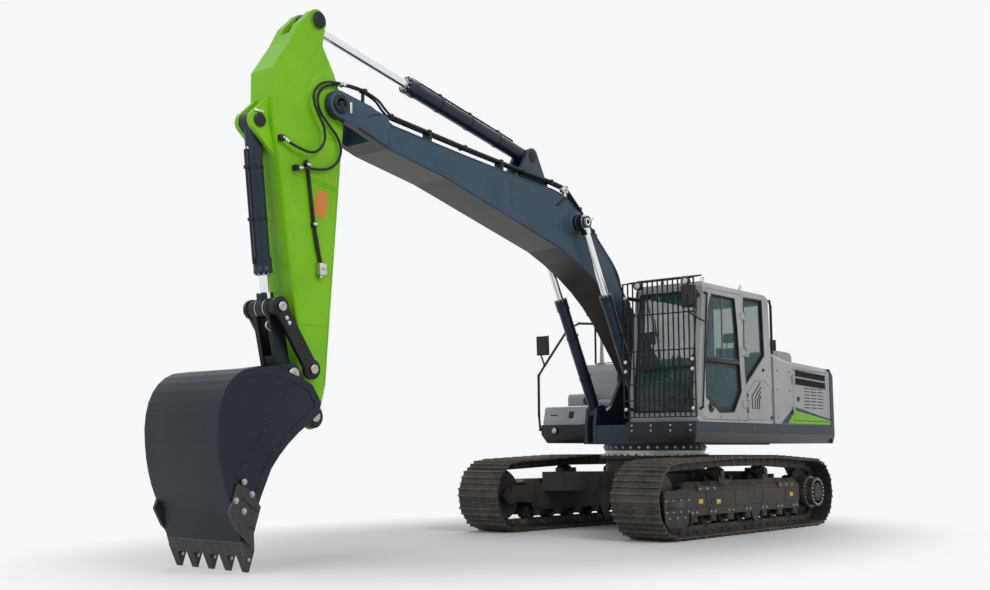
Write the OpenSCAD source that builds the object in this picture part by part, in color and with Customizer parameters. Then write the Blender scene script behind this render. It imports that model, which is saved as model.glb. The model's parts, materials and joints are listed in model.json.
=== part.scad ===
/* [Tracks] */
// Distance between the middles of the two tracks
gauge = 2200; // [2000:10:2400]
// Width of a track shoe
shoe_w = 600; // [500:10:700]
// Length of one shoe along the track, before it is fitted to the loop
shoe_pitch = 190; // [175:1:210]
// Height of a shoe's ribs over its plate
rib_h = 26; // [15:1:32]
// Thickness of a shoe's plate
shoe_t = 11; // [8:1:16]
// Depth of the chain between the shoes and the wheels' treads
chain_d = 95; // [85:1:110]
// Width of one rail of the chain
rail_w = 36; // [28:1:45]
// Gap between the two rails of the chain
rail_gap = 80; // [70:1:95]
// Radius of the tread of the idler and of the sprocket's root
tread_r = 298; // [270:1:320]
// From the slewing axis forward to the idler
idler_x = 1770; // [1650:5:1850]
// From the slewing axis back to the sprocket
sprocket_x = 1740; // [1650:5:1850]
// Radius of a carrier roller
carrier_r = 72; // [60:1:85]
// From the slewing axis to the front carrier roller
carrier_front_x = 450; // [350:5:850]
// From the slewing axis back to the rear carrier roller
carrier_rear_x = 640; // [500:5:800]
// Height of the carrier rollers' axles
carrier_z = 706; // [690:1:730]
// Radius of a bottom roller's tread
roller_r = 85; // [75:1:92]
// Number of bottom rollers under each side
roller_count = 7; // [5:1:8]
// Distance between the first and the last bottom roller
roller_span = 2500; // [2200:10:2600]
// Radius of the rollers' axles
axle_r = 32; // [25:1:40]

/* [Undercarriage] */
// Width of a track frame
frame_w = 360; // [300:5:400]
// Height of the underside of a track frame
frame_z = 335; // [325:1:350]
// Height of the top of a track frame
frame_top = 615; // [580:1:630]
// Thickness of the side plates that reach out to the idler
yoke_t = 36; // [25:1:45]
// Radius of the round middle of the carbody
carbody_r = 620; // [560:5:700]
// Height of the underside of the carbody
carbody_z = 470; // [430:5:500]
// Height of the carbody's top flange
carbody_top = 900; // [880:5:930]
// Outer radius of the slewing ring
ring_r = 640; // [560:5:700]
// Wall of the slewing ring
ring_wall = 120; // [90:5:150]
// Height of the fixed half of the slewing ring
ring_low_h = 66; // [50:1:80]
// Height of the turning half of the slewing ring
ring_up_h = 72; // [50:1:90]
// Running gap between the two halves of the slewing ring
ring_gap = 0.3; // [0.2:0.1:1]

/* [Upper frame] */
// Half width of the upper frame over its skirts
upper_half = 1355; // [1300:5:1400]
// From the slewing axis forward to the front of the cab side's deck
deck_front = 1280; // [1220:5:1330]
// From the slewing axis forward to the front of the toolbox side's deck
deck_front_right = 600; // [500:5:700]
// Height of the skirts' lower edge
skirt_z = 1055; // [1045:1:1080]
// Height of the decks
deck_z = 1290; // [1270:5:1320]
// Wall of the skirts and decks
skirt_t = 25; // [15:1:35]
// Radius in which the counterweight swings
tail_r = 2770; // [2650:5:2850]
// Depth of the counterweight on the centre line
tail_depth = 440; // [400:5:500]
// Height of the counterweight's top
tail_top = 2060; // [1950:5:2100]
// Thickness of the plates that carry the boom's foot
bracket_t = 45; // [35:1:60]

/* [Cab] */
// Outside width of the cab
cab_w = 905; // [860:5:930]
// Wall of the cab and thickness of its door
cab_wall = 50; // [40:1:60]
// Height of the cab's roof
cab_top = 2905; // [2850:5:2950]
// From the slewing axis back to the cab's rear wall
cab_back = 590; // [550:5:620]
// From the slewing axis forward to the foot of the cab's front
cab_front = 1215; // [1180:5:1240]
// Gap around the door and the lids
door_gap = 6; // [5:0.5:10]
// Thickness of the window glass
glass_t = 8; // [5:1:12]

/* [Engine bay] */
// From the slewing axis back to the front of the engine bay
bay_front = 690; // [660:5:720]
// Height of the engine bay's top
bay_top = 2090; // [2000:5:2150]
// Wall of the engine bay
bay_wall = 40; // [25:1:50]

/* [Boom] */
// The boom's foot pin, along and up from the slewing axis on the ground
foot_pin = [250, 1880]; // [200:1:7000]
// The pin at the boom's nose that carries the stick
nose_pin = [5651, 4135]; // [200:1:7000]
// Half width of the boom's box
boom_half = 225; // [200:1:232]
// Radius of the boom's foot boss
foot_boss_r = 150; // [130:1:170]
// Radius of the boom's nose boss
nose_boss_r = 135; // [120:1:150]
// Thickness of the boom's plates
boom_t = 14; // [10:1:20]
// Half length of the boss across the boom's foot
foot_boss_half = 240; // [236:1:250]

/* [Lift cylinders] */
// Foot pin of the lift cylinders
lift_foot = [820, 1420]; // [200:1:7000]
// Pin of the lift cylinders' rods on the boom
lift_eye = [1970, 3570]; // [200:1:7000]
// Outer radius of a lift cylinder
lift_r = 68; // [60:1:75]
// Radius of a lift cylinder's rod
lift_rod_r = 42; // [35:1:48]
// Length of a lift cylinder's barrel from its foot pin
lift_barrel = 1520; // [1400:5:1580]

/* [Reach cylinder] */
// Foot pin of the reach cylinder on the boom
reach_foot = [2627, 4258]; // [200:1:7000]
// Pin of the reach cylinder's rod on the stick
reach_eye = [5881, 4895]; // [200:1:7000]
// Outer radius of the reach cylinder
reach_r = 80; // [70:1:90]
// Radius of the reach cylinder's rod
reach_rod_r = 48; // [40:1:55]
// Length of the reach cylinder's barrel from its foot pin
reach_barrel = 1980; // [1900:5:2100]

/* [Stick] */
// Half width of the stick
stick_half = 150; // [135:1:165]
// Thickness of the stick's plates
stick_t = 12; // [8:1:18]
// Radius of the stick's top boss
top_boss_r = 105; // [90:1:120]
// Radius of the boss that the stick turns on
hub_r = 150; // [135:1:165]

/* [Bucket cylinder and links] */
// Foot pin of the bucket cylinder on the stick
curl_foot = [6484, 3825]; // [200:1:7000]
// Pin of the bucket cylinder's rod on the links
curl_eye = [6270, 2200]; // [200:1:7000]
// Lower pin of the side links on the stick
rocker_pin = [5897, 1677]; // [200:1:7000]
// Pin of the bucket link on the bucket
ear_pin = [6127, 1624]; // [200:1:7000]
// Pin at the stick's tip that carries the bucket
tip_pin = [5869, 1263]; // [200:1:7000]
// Outer radius of the bucket cylinder
curl_r = 72; // [62:1:80]
// Radius of the bucket cylinder's rod
curl_rod_r = 43; // [36:1:50]
// Length of the bucket cylinder's barrel from its foot pin
curl_barrel = 1330; // [1250:5:1400]
// Thickness of a side link
rocker_t = 40; // [30:1:50]

/* [Bucket] */
// Half width of the bucket's shell
bucket_half = 490; // [450:5:560]
// Thickness of the bucket's shell
bucket_t = 25; // [18:1:35]
// Thickness of the bucket's side plates
bucket_side_t = 30; // [20:1:40]
// Number of teeth
tooth_count = 5; // [3:1:6]
// Width of a tooth's root
tooth_w = 100; // [80:1:120]

/* [Pins] */
// Radius of the main pins
pin_r = 45; // [38:1:50]
// Radius of the pins' bosses on cylinders
eye_r = 92; // [80:1:100]
// Side gap between an eye and the ears that hold it
eye_gap = 0.3; // [0.2:0.1:1]

/* [Hidden] */
$fn = 48;
slate = [0.27, 0.33, 0.39];
silver = [0.72, 0.71, 0.71];
lime = [0.49, 0.74, 0.14];
black = [0.10, 0.11, 0.13];
steel = [0.75, 0.74, 0.70];
clear = [0.35, 0.50, 0.52, 0.5];

// Tracks: circles that the chain runs round, each as x, z and radius at the chain's pins
track_h = rib_h + shoe_t + chain_d;
wheel_z = track_h + tread_r;
pin_h = chain_d / 2;
belt = [
    [idler_x, wheel_z, tread_r + pin_h],
    [carrier_front_x, carrier_z, carrier_r + pin_h],
    [-carrier_rear_x, carrier_z, carrier_r + pin_h],
    [-sprocket_x, wheel_z, tread_r + pin_h]
];
belt_n = len(belt);
// The part's origin is under the middle of its box, so the slewing axis lies behind it
reach_max = ear_pin[0] + 985;
swing_x = -(reach_max - tail_r) / 2;
tail_front = tail_r - tail_depth;

// One step of the chain's route: the distance, slope and turn from circle i to the next
function leg(i) = let(a = belt[i], b = belt[(i + 1) % belt_n]) [b[0] - a[0], b[1] - a[1]];
function slope(i) = let(v = leg(i), dr = belt[i][2] - belt[(i + 1) % belt_n][2])
    atan2(v[1], v[0]) + asin(dr / norm(v));
function turn(i) = (slope(i) - slope((i + belt_n - 1) % belt_n) + 720) % 360;
function arc_len(i) = belt[i][2] * turn(i) * PI / 180;
function run_len(i) = let(dr = belt[i][2] - belt[(i + 1) % belt_n][2]) sqrt(pow(norm(leg(i)), 2) - dr * dr);
function from(i) = i == belt_n ? 0 : arc_len(i) + run_len(i) + from(i + 1);
// Point and heading at distance s along the chain: x, z, heading
function rim(i, a) = [belt[i][0] + belt[i][2] * sin(a), belt[i][1] - belt[i][2] * cos(a), a];
function along(s, i = 0) =
    let(i0 = i % belt_n, back = slope((i0 + belt_n - 1) % belt_n))
    s <= arc_len(i0) ? rim(i0, back + s / belt[i0][2] * 180 / PI)
    : s <= arc_len(i0) + run_len(i0)
        ? let(p = rim(i0, slope(i0)), d = s - arc_len(i0)) [p[0] + d * cos(p[2]), p[1] + d * sin(p[2]), p[2]]
        : along(s - arc_len(i0) - run_len(i0), i0 + 1);
loop_len = from(0);
shoe_count = round(loop_len / shoe_pitch);
pitch = loop_len / shoe_count;
joints = [for (k = [0 : shoe_count - 1]) along(k * pitch)];
// A shoe's outline, as a share of its length and a share of the rib's height
shoe_form = [[0.02, 0], [0.07, 1], [0.13, 1], [0.20, 0], [0.45, 0], [0.50, 0.85], [0.55, 0], [0.80, 0], [0.88, 0.9], [0.98, 0]];
function shoe_pt(k, u, h) = let(a = joints[k], b = joints[(k + 1) % shoe_count], t = [b[0] - a[0], b[1] - a[1]] / norm([b[0] - a[0], b[1] - a[1]]))
    [a[0], a[1]] + t * u * norm([b[0] - a[0], b[1] - a[1]]) + [t[1], -t[0]] * h;
shoe_line = [for (k = [0 : shoe_count - 1]) for (p = shoe_form) shoe_pt(k, p[0], pin_h + shoe_t + p[1] * rib_h)];
function ring_at(h) = [for (j = joints) [j[0] + h * sin(j[2]), j[1] - h * cos(j[2])]];

// Shared shapes
module both() {
    children();
    mirror([0, 1, 0]) children();
}
module slab(y0, y1) translate([0, y1, 0]) rotate([90, 0, 0]) linear_extrude(y1 - y0) children();
module rod_y(p, y0, y1, r) translate([p[0], y1, p[1]]) rotate([90, 0, 0]) cylinder(h = y1 - y0, r = r);
module box_at(x, y, z) translate([x[0], y[0], z[0]]) cube([x[1] - x[0], y[1] - y[0], z[1] - z[0]]);
module disc(p, r) translate(p) circle(r = r);
module bar(a, b, r) {
    v = b - a;
    translate(a) rotate([0, acos(v[2] / norm(v)), atan2(v[1], v[0])]) cylinder(h = norm(v), r = r, $fn = 24);
}
// A shape that lies from pin a towards pin b: its child is drawn along +X
function aim(a, b) = atan2(b[1] - a[1], b[0] - a[0]);
module aimed(a, b) translate([a[0], 0, a[1]]) rotate([0, -aim(a, b), 0]) children();
module round_x(x0, x1, r) translate([x0, 0, 0]) rotate([0, 90, 0]) cylinder(h = x1 - x0, r = r);
function bend(a, b, c, n) = [for (i = [0 : n]) let(t = i / n) a * (1 - t) * (1 - t) + b * 2 * t * (1 - t) + c * t * t];
module on_slew() translate([swing_x, 0, 0]) children();

// Undercarriage
frame_y = gauge / 2 - frame_w / 2;
module carbody() color(black) on_slew() {
    difference() {
        union() {
            translate([0, 0, carbody_z]) cylinder(h = carbody_top - carbody_z, r = carbody_r);
            translate([0, 0, carbody_top - 40]) cylinder(h = 40, r = ring_r + 50);
            for (sx = [0, 1], sy = [0, 1]) mirror([sx, 0, 0]) mirror([0, sy, 0]) translate([0, 0, carbody_z])
                linear_extrude(230) polygon([
                    [150, 200], [carbody_r - 100, 200], [1150, frame_y], [700, frame_y], [350, carbody_r], [150, carbody_r]
                ]);
        }
        translate([0, 0, carbody_z - 1]) cylinder(h = carbody_top, r = ring_r - ring_wall - 80);
    }
}
module frame_outline() polygon([
    [-sprocket_x + tread_r + 40, frame_z], [idler_x - tread_r - 20, frame_z], [idler_x - tread_r - 20, frame_top - 40],
    [idler_x - tread_r - 160, frame_top], [-sprocket_x + tread_r + 90, frame_top], [-sprocket_x + tread_r + 40, frame_top - 70]
]);
module track_frame() color(black) on_slew() {
    mid = gauge / 2;
    hub = [-sprocket_x, wheel_z];
    intersection() {
        slab(mid - frame_w / 2, mid + frame_w / 2) frame_outline();
        translate([-sprocket_x, 0, 0]) rotate([90, 0, 90]) linear_extrude(sprocket_x + idler_x) polygon([
            [mid - frame_w / 2, frame_z - 1], [mid + frame_w / 2, frame_z - 1], [mid + frame_w / 2, frame_top - frame_slope],
            [mid + frame_w / 2 - frame_slope, frame_top + 1], [mid - frame_w / 2 + frame_slope, frame_top + 1], [mid - frame_w / 2, frame_top - frame_slope]
        ]);
    }
    // side sheets over the bottom rollers, each with a lip along its lower edge and holes for the rollers' pins
    difference() {
        for (s = [-1, 1]) translate([0, mid + s * (frame_w / 2 - 10), 0]) {
            slab(-10, 10) polygon([
                [-sprocket_x + tread_r + 60, frame_z + 1], [-sprocket_x + tread_r + 60, skirt_low], [idler_x - tread_r - 150, skirt_low],
                [idler_x - tread_r - 110, frame_z + 1]
            ]);
            translate([0, s * 6, 0]) slab(-12, 12) polygon([
                [-sprocket_x + tread_r + 60, skirt_low + 26], [-sprocket_x + tread_r + 60, skirt_low], [idler_x - tread_r - 150, skirt_low],
                [idler_x - tread_r - 150, skirt_low + 26]
            ]);
        }
        for (x = roller_xs) rod_y([x, roller_z], mid - frame_w, mid + frame_w, axle_r + 0.3);
    }
    // cover over the idler's yoke, with two ribs and a guard below it
    translate([0, mid + frame_w / 2 - 1, 0]) {
        slab(0, 21) polygon([
            [idler_x - cover_back, wheel_z - 145], [idler_x + 118, wheel_z - 145], [idler_x + 130, wheel_z + 50], [idler_x + 96, wheel_z + 100],
            [idler_x - cover_back, wheel_z + 100]
        ]);
        for (z = [18, 70]) slab(20, 32) polygon([
            [idler_x - cover_back, wheel_z + z], [idler_x + 120, wheel_z + z], [idler_x + 120, wheel_z + z + 16], [idler_x - cover_back, wheel_z + z + 16]
        ]);
        slab(0, 12) polygon([
            [idler_x - cover_back, wheel_z - 144], [idler_x - cover_back + 10, wheel_z - 240], [idler_x - cover_back + 60, wheel_z - 300],
            [idler_x + 20, wheel_z - 300], [idler_x + 80, wheel_z - 250], [idler_x + 110, wheel_z - 144]
        ]);
    }
    // open brackets at the carrier rollers, with a post each
    for (x = [carrier_front_x, -carrier_rear_x]) translate([x - 20, 0, 0]) {
        slab(mid + 50, mid + 130) polygon([
            [-150, frame_top - frame_slope], [-150, frame_top + 60], [-125, frame_top + 60], [-125, frame_top + 14], [125, frame_top + 14],
            [125, frame_top + 60], [150, frame_top + 60], [150, frame_top - frame_slope]
        ]);
        slab(mid + rail_out + 6, mid + rail_out + 30) difference() {
            union() {
                polygon([[-55, frame_top], [75, frame_top], [50, carrier_z], [-10, carrier_z]]);
                disc([20, carrier_z], 48);
            }
            disc([20, carrier_z], axle_r + 0.3);
        }
    }
    // dark stops on the top edge near both ends
    for (x = [idler_x - tread_r - 500, -sprocket_x + tread_r + 440])
        box_at([x - 210, x + 210], [mid + frame_w / 2 - frame_slope, mid + frame_w / 2 + 12], [frame_top - frame_slope - 35, frame_top - frame_slope + 30]);
    // guide of the chain in the middle of the lower run
    for (s = [-1, 1]) translate([-roller_span / 12, mid + s * (frame_w / 2 - 15), 0]) slab(-14, 14)
        polygon([[-110, skirt_low + 5], [110, skirt_low + 5], [80, roller_z - 40], [30, roller_z - 95], [-30, roller_z - 95], [-80, roller_z - 40]]);
    // yoke plates that carry the idler
    for (s = [-1, 1]) translate([0, mid + s * (frame_w / 2 - yoke_t / 2), 0]) difference() {
        slab(-yoke_t / 2, yoke_t / 2) union() {
            polygon([
                [idler_x - tread_r - 60, frame_z + 5], [idler_x + 60, wheel_z - 80], [idler_x + 130, wheel_z],
                [idler_x + 60, wheel_z + 80], [idler_x - tread_r - 60, frame_top - 60]
            ]);
            disc([idler_x, wheel_z], 105);
        }
        rod_y([idler_x, wheel_z], -yoke_t, yoke_t, axle_r + 0.3);
    }
    // plate that carries the final drive
    slab(frame_y, frame_y + 60) difference() {
        union() {
            disc(hub, 210);
            polygon([
                [-sprocket_x, wheel_z - 205], [-sprocket_x + tread_r + 60, frame_z], [-sprocket_x + tread_r + 60, frame_top - 70],
                [-sprocket_x, wheel_z + 205]
            ]);
        }
        disc(hub, 150.3);
    }
    // posts of the carrier rollers
    for (x = [carrier_front_x, -carrier_rear_x]) difference() {
        box_at([x - 45, x + 45], [mid - frame_w / 2 + 20, mid - frame_w / 2 + 60], [frame_top - 1, carrier_z + 42]);
        rod_y([x, carrier_z], mid - frame_w / 2, mid, axle_r + 0.3);
    }
    // ears of the bottom rollers
    for (x = roller_xs, s = [-1, 1]) translate([0, mid + s * (frame_w / 2 - 22), 0]) difference() {
        box_at([x - 62, x + 62], [-20, 20 + (s > 0 ? 8 : 0)], [roller_z - 45, frame_z + 1]);
        rod_y([x, roller_z], -30, 40, axle_r + 0.3);
    }
}
frame_slope = 75;
skirt_low = 245;
cover_back = 400;
roller_z = track_h + roller_r;
roller_xs = [for (i = [0 : roller_count - 1]) -roller_span / 2 + i * roller_span / (roller_count - 1)];
module track() color(black) on_slew() translate([0, gauge / 2, 0]) {
    n = len(shoe_line);
    slab(-shoe_w / 2, shoe_w / 2) polygon(concat(shoe_line, ring_at(pin_h)), [
        [for (i = [0 : n - 1]) i], [for (i = [0 : shoe_count - 1]) n + i]
    ]);
    for (s = [-1, 1]) translate([0, s * (rail_gap + rail_w) / 2, 0]) slab(-rail_w / 2, rail_w / 2)
        polygon(concat(ring_at(pin_h + 2), ring_at(-pin_h)), [
            [for (i = [0 : shoe_count - 1]) i], [for (i = [0 : shoe_count - 1]) shoe_count + i]
        ]);
}
rail_out = rail_gap / 2 + rail_w;
chord_gap = 12;
module idlers() color(black) on_slew() both() translate([0, gauge / 2, 0]) {
    c = [idler_x, wheel_z];
    rod_y(c, -rail_out, rail_out, tread_r - chord_gap);
    rod_y(c, -rail_gap / 2 + 4, rail_gap / 2 - 4, tread_r + 14);
    rod_y(c, -frame_w / 2 + yoke_t + 4, frame_w / 2 - yoke_t - 4, 95);
    rod_y(c, -frame_w / 2, frame_w / 2 - 5, axle_r);
}
tooth_n = 21;
module sprockets() color(black) on_slew() both() translate([0, gauge / 2, 0]) {
    c = [-sprocket_x, wheel_z];
    translate([c[0], 0, c[1]]) rotate([90, 0, 0]) linear_extrude(rail_gap - 10, center = true) difference() {
        polygon([for (i = [0 : tooth_n - 1]) for (p = [[-0.42, -32], [-0.2, 22], [0.2, 22], [0.42, -32]])
            let(a = (i + p[0]) * 360 / tooth_n, r = tread_r + p[1]) [r * cos(a), r * sin(a)]]);
        circle(r = 120);
    }
    rod_y(c, -frame_w / 2, rail_gap / 2 + 60, 150);
    rod_y(c, rail_gap / 2 + 59, frame_w / 2 - 10, 205);
    rod_y(c, frame_w / 2 - 11, shoe_w / 2 - 38, 168);
    rod_y(c, shoe_w / 2 - 39, shoe_w / 2 - 26, 186);
}
module roller(c, r, half) {
    rod_y(c, -half, half, r);
    rod_y(c, -rail_gap / 2 + 5, rail_gap / 2 - 5, r + 14);
}
module bottom_rollers() color(black) on_slew() both() translate([0, gauge / 2, 0]) for (x = roller_xs) {
    roller([x, roller_z + 0.5], roller_r, rail_out);
    rod_y([x, roller_z], -frame_w / 2, frame_w / 2, axle_r);
}
module carrier_rollers() color(black) on_slew() both() translate([0, gauge / 2, 0])
    for (x = [carrier_front_x, -carrier_rear_x]) {
        roller([x, carrier_z], carrier_r - 3, rail_out);
        rod_y([x, carrier_z], -frame_w / 2 + 10, rail_out + 34, axle_r);
    }
module track_frame_left() track_frame();
module track_frame_right() mirror([0, 1, 0]) track_frame();
module track_left() track();
module track_right() mirror([0, 1, 0]) track();
module ring(z, h, r) translate([0, 0, z]) difference() {
    cylinder(h = h, r = r);
    translate([0, 0, -1]) cylinder(h = h + 2, r = r - ring_wall);
}
ring_top = carbody_top + ring_low_h + ring_gap + ring_up_h;
module slew_ring_lower() color(steel) on_slew() ring(carbody_top, ring_low_h, ring_r - 12);
module slew_ring_upper() color(slate) on_slew() ring(carbody_top + ring_low_h + ring_gap, ring_up_h, ring_r);

// Upper frame
mid_half = 420;
inner_y = foot_boss_half + eye_gap;
lug_t = 40;
lift_y = inner_y + bracket_t + eye_gap + 42;
lift_half = 42;
lug_y = lift_y + lift_half + eye_gap;
module bracket_outline() {
    polygon([
        [-tail_front, skirt_z], [lift_foot[0] + 130, skirt_z], [lift_foot[0] + 130, deck_z], [lift_foot[0] + 95, lift_foot[1]],
        [lift_foot[0] - 95, lift_foot[1] + 20], [lift_foot[0] - 220, lift_foot[1] + 90], [foot_pin[0] + 140, foot_pin[1] - 60],
        [foot_pin[0] - 140, foot_pin[1]], [-bay_front + 150, deck_z + 60], [-bay_front + 20, deck_z - 1], [-tail_front, deck_z - 1]
    ]);
    disc(foot_pin, foot_boss_r);
    disc(lift_foot, 105);
}
module platform() color(slate) on_slew() {
    difference() {
        translate([0, 0, ring_top]) union() {
            cylinder(h = skirt_z - ring_top, r = ring_r + 15);
            box_at([-tail_front, lift_foot[0] + 130], [-mid_half, mid_half], [0, skirt_z - ring_top]);
        }
        translate([0, 0, ring_top - 1]) cylinder(h = 60, r = 200);
    }
    difference() {
        union() {
            both() slab(inner_y, inner_y + bracket_t) bracket_outline();
            both() slab(lug_y, lug_y + lug_t) {
                polygon([
                    [lift_foot[0] - 260, skirt_z - 1], [lift_foot[0] + 130, skirt_z - 1], [lift_foot[0] + 130, deck_z],
                    [lift_foot[0] + 95, lift_foot[1]], [lift_foot[0] - 95, lift_foot[1]]
                ]);
                disc(lift_foot, 105);
            }
            both() rod_y(foot_pin, inner_y + bracket_t - 1, inner_y + bracket_t + 45, 95);
            for (x = [lift_foot[0] + 100, -bay_front + 100, -tail_front + 30])
                box_at([x, x + 25], [-inner_y - 1, inner_y + 1], [skirt_z - 1, deck_z - 20]);
            box_at([-bay_front + 100, lift_foot[0] + 125], [-inner_y - 1, inner_y + 1], [skirt_z - 1, skirt_z + 20]);
        }
        rod_y(foot_pin, -600, 600, pin_r + 0.05);
        rod_y(lift_foot, -600, 600, pin_r + 0.05);
    }
}
// Deck tray with its lower edge drawn in, over the plan from x0 to x1
module deck_form(x0, x1, y1, z0, z1, cut) intersection() {
    box_at([x0, x1], [mid_half, y1], [z0, z1]);
    slab(0, y1 + 1) polygon([[x0 - 1, z0], [x1 - cut, z0], [x1, z0 + 2 * cut], [x1, z1], [x0 - 1, z1]]);
    translate([x0 - 1, 0, 0]) rotate([90, 0, 90]) linear_extrude(x1 - x0 + 2)
        polygon([[0, z0], [y1 - cut, z0], [y1, z0 + 2 * cut], [y1, z1], [0, z1]]);
}
skirt_cut = 55;
module deck(x1) difference() {
    deck_form(-tail_front, x1, upper_half, skirt_z, deck_z, skirt_cut);
    translate([0, 0, -1]) difference() {
        deck_form(-tail_front + skirt_t, x1 - skirt_t, upper_half - skirt_t, skirt_z, deck_z - skirt_t, skirt_cut);
        box_at([-tail_front, x1], [0, mid_half + skirt_t], [0, deck_z]);
    }
}
module side_decks() color(slate) on_slew() {
    deck(deck_front);
    mirror([0, 1, 0]) deck(deck_front_right);
}
module counterweight() color(slate) on_slew() difference() {
    intersection() {
        rotate_extrude($fn = 96) polygon([
            [tail_front - 10, skirt_z], [tail_r - 60, skirt_z], [tail_r, skirt_z + 110], [tail_r, tail_top - 90],
            [tail_r - 90, tail_top], [tail_front - 10, tail_top]
        ]);
        box_at([-tail_r - 10, -tail_front], [-upper_half + 15, upper_half - 15], [0, tail_top + 10]);
    }
    // holes for the eyes that lift the counterweight
    both() translate([-tail_front - 130, 650, tail_top - 140]) cylinder(h = 200, r = 30);
}
module engine_block() color(black) on_slew() {
    box_at([-tail_front + 380, -tail_front + 1180], [-350, 450], [deck_z + 190, bay_rear_top - 85]);
    both() box_at([-tail_front + 430, -tail_front + 1130], [inner_y, inner_y + bracket_t], [deck_z - 1, deck_z + 191]);
}
// Engine bay: a shell with openings for the lid and the two doors
bay_rear_top = bay_top - 25;
bay_roof = [[-tail_front, bay_rear_top], [-bay_front - 480, bay_top + 15], [-bay_front, bay_top + 90]];
bay_bevel = 1.4 * bay_wall;
lid_x = [-tail_front + 90, -tail_front + 1090];
lid_y = [-880, 600];
louvre_x = [-tail_front + 60, -bay_front - 525];
pump_x = [-tail_front + 690, -bay_front - 70];
door_z = [deck_z + 50, bay_rear_top - bay_bevel - 9];
door_skin = 45;
// Its sections from the back to the front: each as the distance along and the roof's height
function bay_section(x, h, y, z0) = [
    [x, -y, z0], [x, -y, h - bay_bevel], [x, bay_bevel - y, h], [x, y - bay_bevel, h], [x, y, h - bay_bevel], [x, y, z0]
];
module bay_form(inset) {
    y = upper_half - 25 - inset;
    z0 = deck_z - (inset > 0 ? 1 : 0);
    polyhedron(concat(
        bay_section(-tail_front + inset, bay_roof[0][1] - inset, y, z0), bay_section(bay_roof[1][0], bay_roof[1][1] - inset, y, z0),
        bay_section(-bay_front - inset, bay_roof[2][1] - inset, y, z0)
    ), concat(
        [[for (i = [5 : -1 : 0]) i], [for (i = [0 : 5]) 12 + i]],
        [for (s = [0, 6], i = [0 : 5]) [s + i, s + (i + 1) % 6, s + 6 + (i + 1) % 6, s + 6 + i]]
    ));
}
module engine_bay() color(silver) on_slew() {
    difference() {
        bay_form(0);
        bay_form(bay_wall);
        box_at(lid_x, lid_y, [bay_rear_top - 150, bay_top + 200]);
        box_at(louvre_x, [upper_half - 25 - door_skin - 10, upper_half], door_z);
        box_at(pump_x, [-upper_half, -upper_half + 25 + door_skin + 10], door_z);
    }
    // hinge pins of the lid and the two doors, each between two ears
    for (y = [lid_y[0] + 150, lid_y[1] - 250]) {
        rod_y(hood_hinge, y - 12, y + 112, hinge_r);
        for (d = [-12, 102]) box_at([hood_hinge[0] - 14, hood_hinge[0] + 14], [y + d, y + d + 10], [bay_top - 40, hood_hinge[1] + 14]);
    }
    bay_pins(louvre_x[1]);
    mirror([0, 1, 0]) bay_pins(pump_x[1]);
    // raised cover over the air cleaner and the exhaust pipe
    slab(660, 1080) polygon([
        [lid_x[0] + 510, bay_top - 40], [lid_x[0] + 930, bay_top - 25], [lid_x[0] + 925, bay_top + 120], [lid_x[0] + 880, bay_top + 170],
        [lid_x[0] + 560, bay_top + 155], [lid_x[0] + 514, bay_top + 110]
    ]);
}
hinge_r = 9;
module engine_hood() color(silver) on_slew() {
    difference() {
        box_at([lid_x[0] + door_gap, lid_x[1] - door_gap], [lid_y[0] + door_gap, lid_y[1] - door_gap], [bay_rear_top + 2, bay_top + 45]);
        box_at([lid_x[0] + door_gap + 25, lid_x[1] - door_gap - 25], [lid_y[0] + door_gap + 25, lid_y[1] - door_gap - 25], [bay_rear_top, bay_top + 20]);
    }
    for (y = [lid_y[0] + 150, lid_y[1] - 250]) difference() {
        union() {
            rod_y(hood_hinge, y, y + 100, hinge_r + 9);
            box_at([lid_x[1] - 30, hood_hinge[0]], [y, y + 100], [hood_hinge[1] - 18, hood_hinge[1] - 4]);
        }
        rod_y(hood_hinge, y - 1, y + 101, hinge_r + 0.05);
    }
}
hood_hinge = [lid_x[1] + 32, bay_top + 62];
// Side door of the engine bay, drawn on the left, with its hinge at the front edge
module bay_door(x, slots) {
    y1 = upper_half - 25;
    difference() {
        box_at([x[0] + door_gap, x[1] - door_gap], [y1 - door_skin, y1], [door_z[0] + door_gap, door_z[1] - door_gap]);
        if (slots) for (c = [0 : 2], r = [0 : 6])
            box_at([x[0] + 150 + c * 205, x[0] + 310 + c * 205], [y1 - door_skin - 1, y1 + 1], [door_z[0] + 170 + r * 42, door_z[0] + 190 + r * 42]);
        // recesses of the two mesh grilles
        if (slots) for (g = [[-15, 65], [-115, 70]]) slab(y1 - 12, y1 + 1) polygon([
            [x[0] + 75, door_z[1] + g[0] - g[1] - 30], [x[1] - 85, door_z[1] + g[0] - g[1]], [x[1] - 85, door_z[1] + g[0]], [x[0] + 75, door_z[1] + g[0] - 30]
        ]);
    }
    for (z = [door_z[0] + 90, door_z[1] - 170]) translate([x[1] + 14, y1 + 14, z]) difference() {
        union() {
            cylinder(h = 80, r = hinge_r + 4);
            box_at([-60, 0], [-13, -6], [0, 80]);
            box_at([-60, -48], [-18, -10], [0, 80]);
        }
        translate([0, 0, -1]) cylinder(h = 82, r = hinge_r + 0.05);
    }
}
module bay_pins(x1) {
    y1 = upper_half - 25;
    for (z = [door_z[0] + 90, door_z[1] - 170]) {
        translate([x1 + 14, y1 + 14, z - 12]) cylinder(h = 104, r = hinge_r);
        for (d = [-12, 82]) box_at([x1 + 2, x1 + 26], [y1 - 1, y1 + 26], [z + d, z + d + 10]);
    }
}
module louvre_door() color(silver) on_slew() bay_door(louvre_x, true);
module pump_door() color(silver) on_slew() mirror([0, 1, 0]) bay_door(pump_x, false);
tank_x = [-bay_front, -340];
step_x = [-340, -150];
box_x = [60, deck_front_right - 12];
right_y = [-upper_half + 25, -mid_half - 30];
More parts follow.
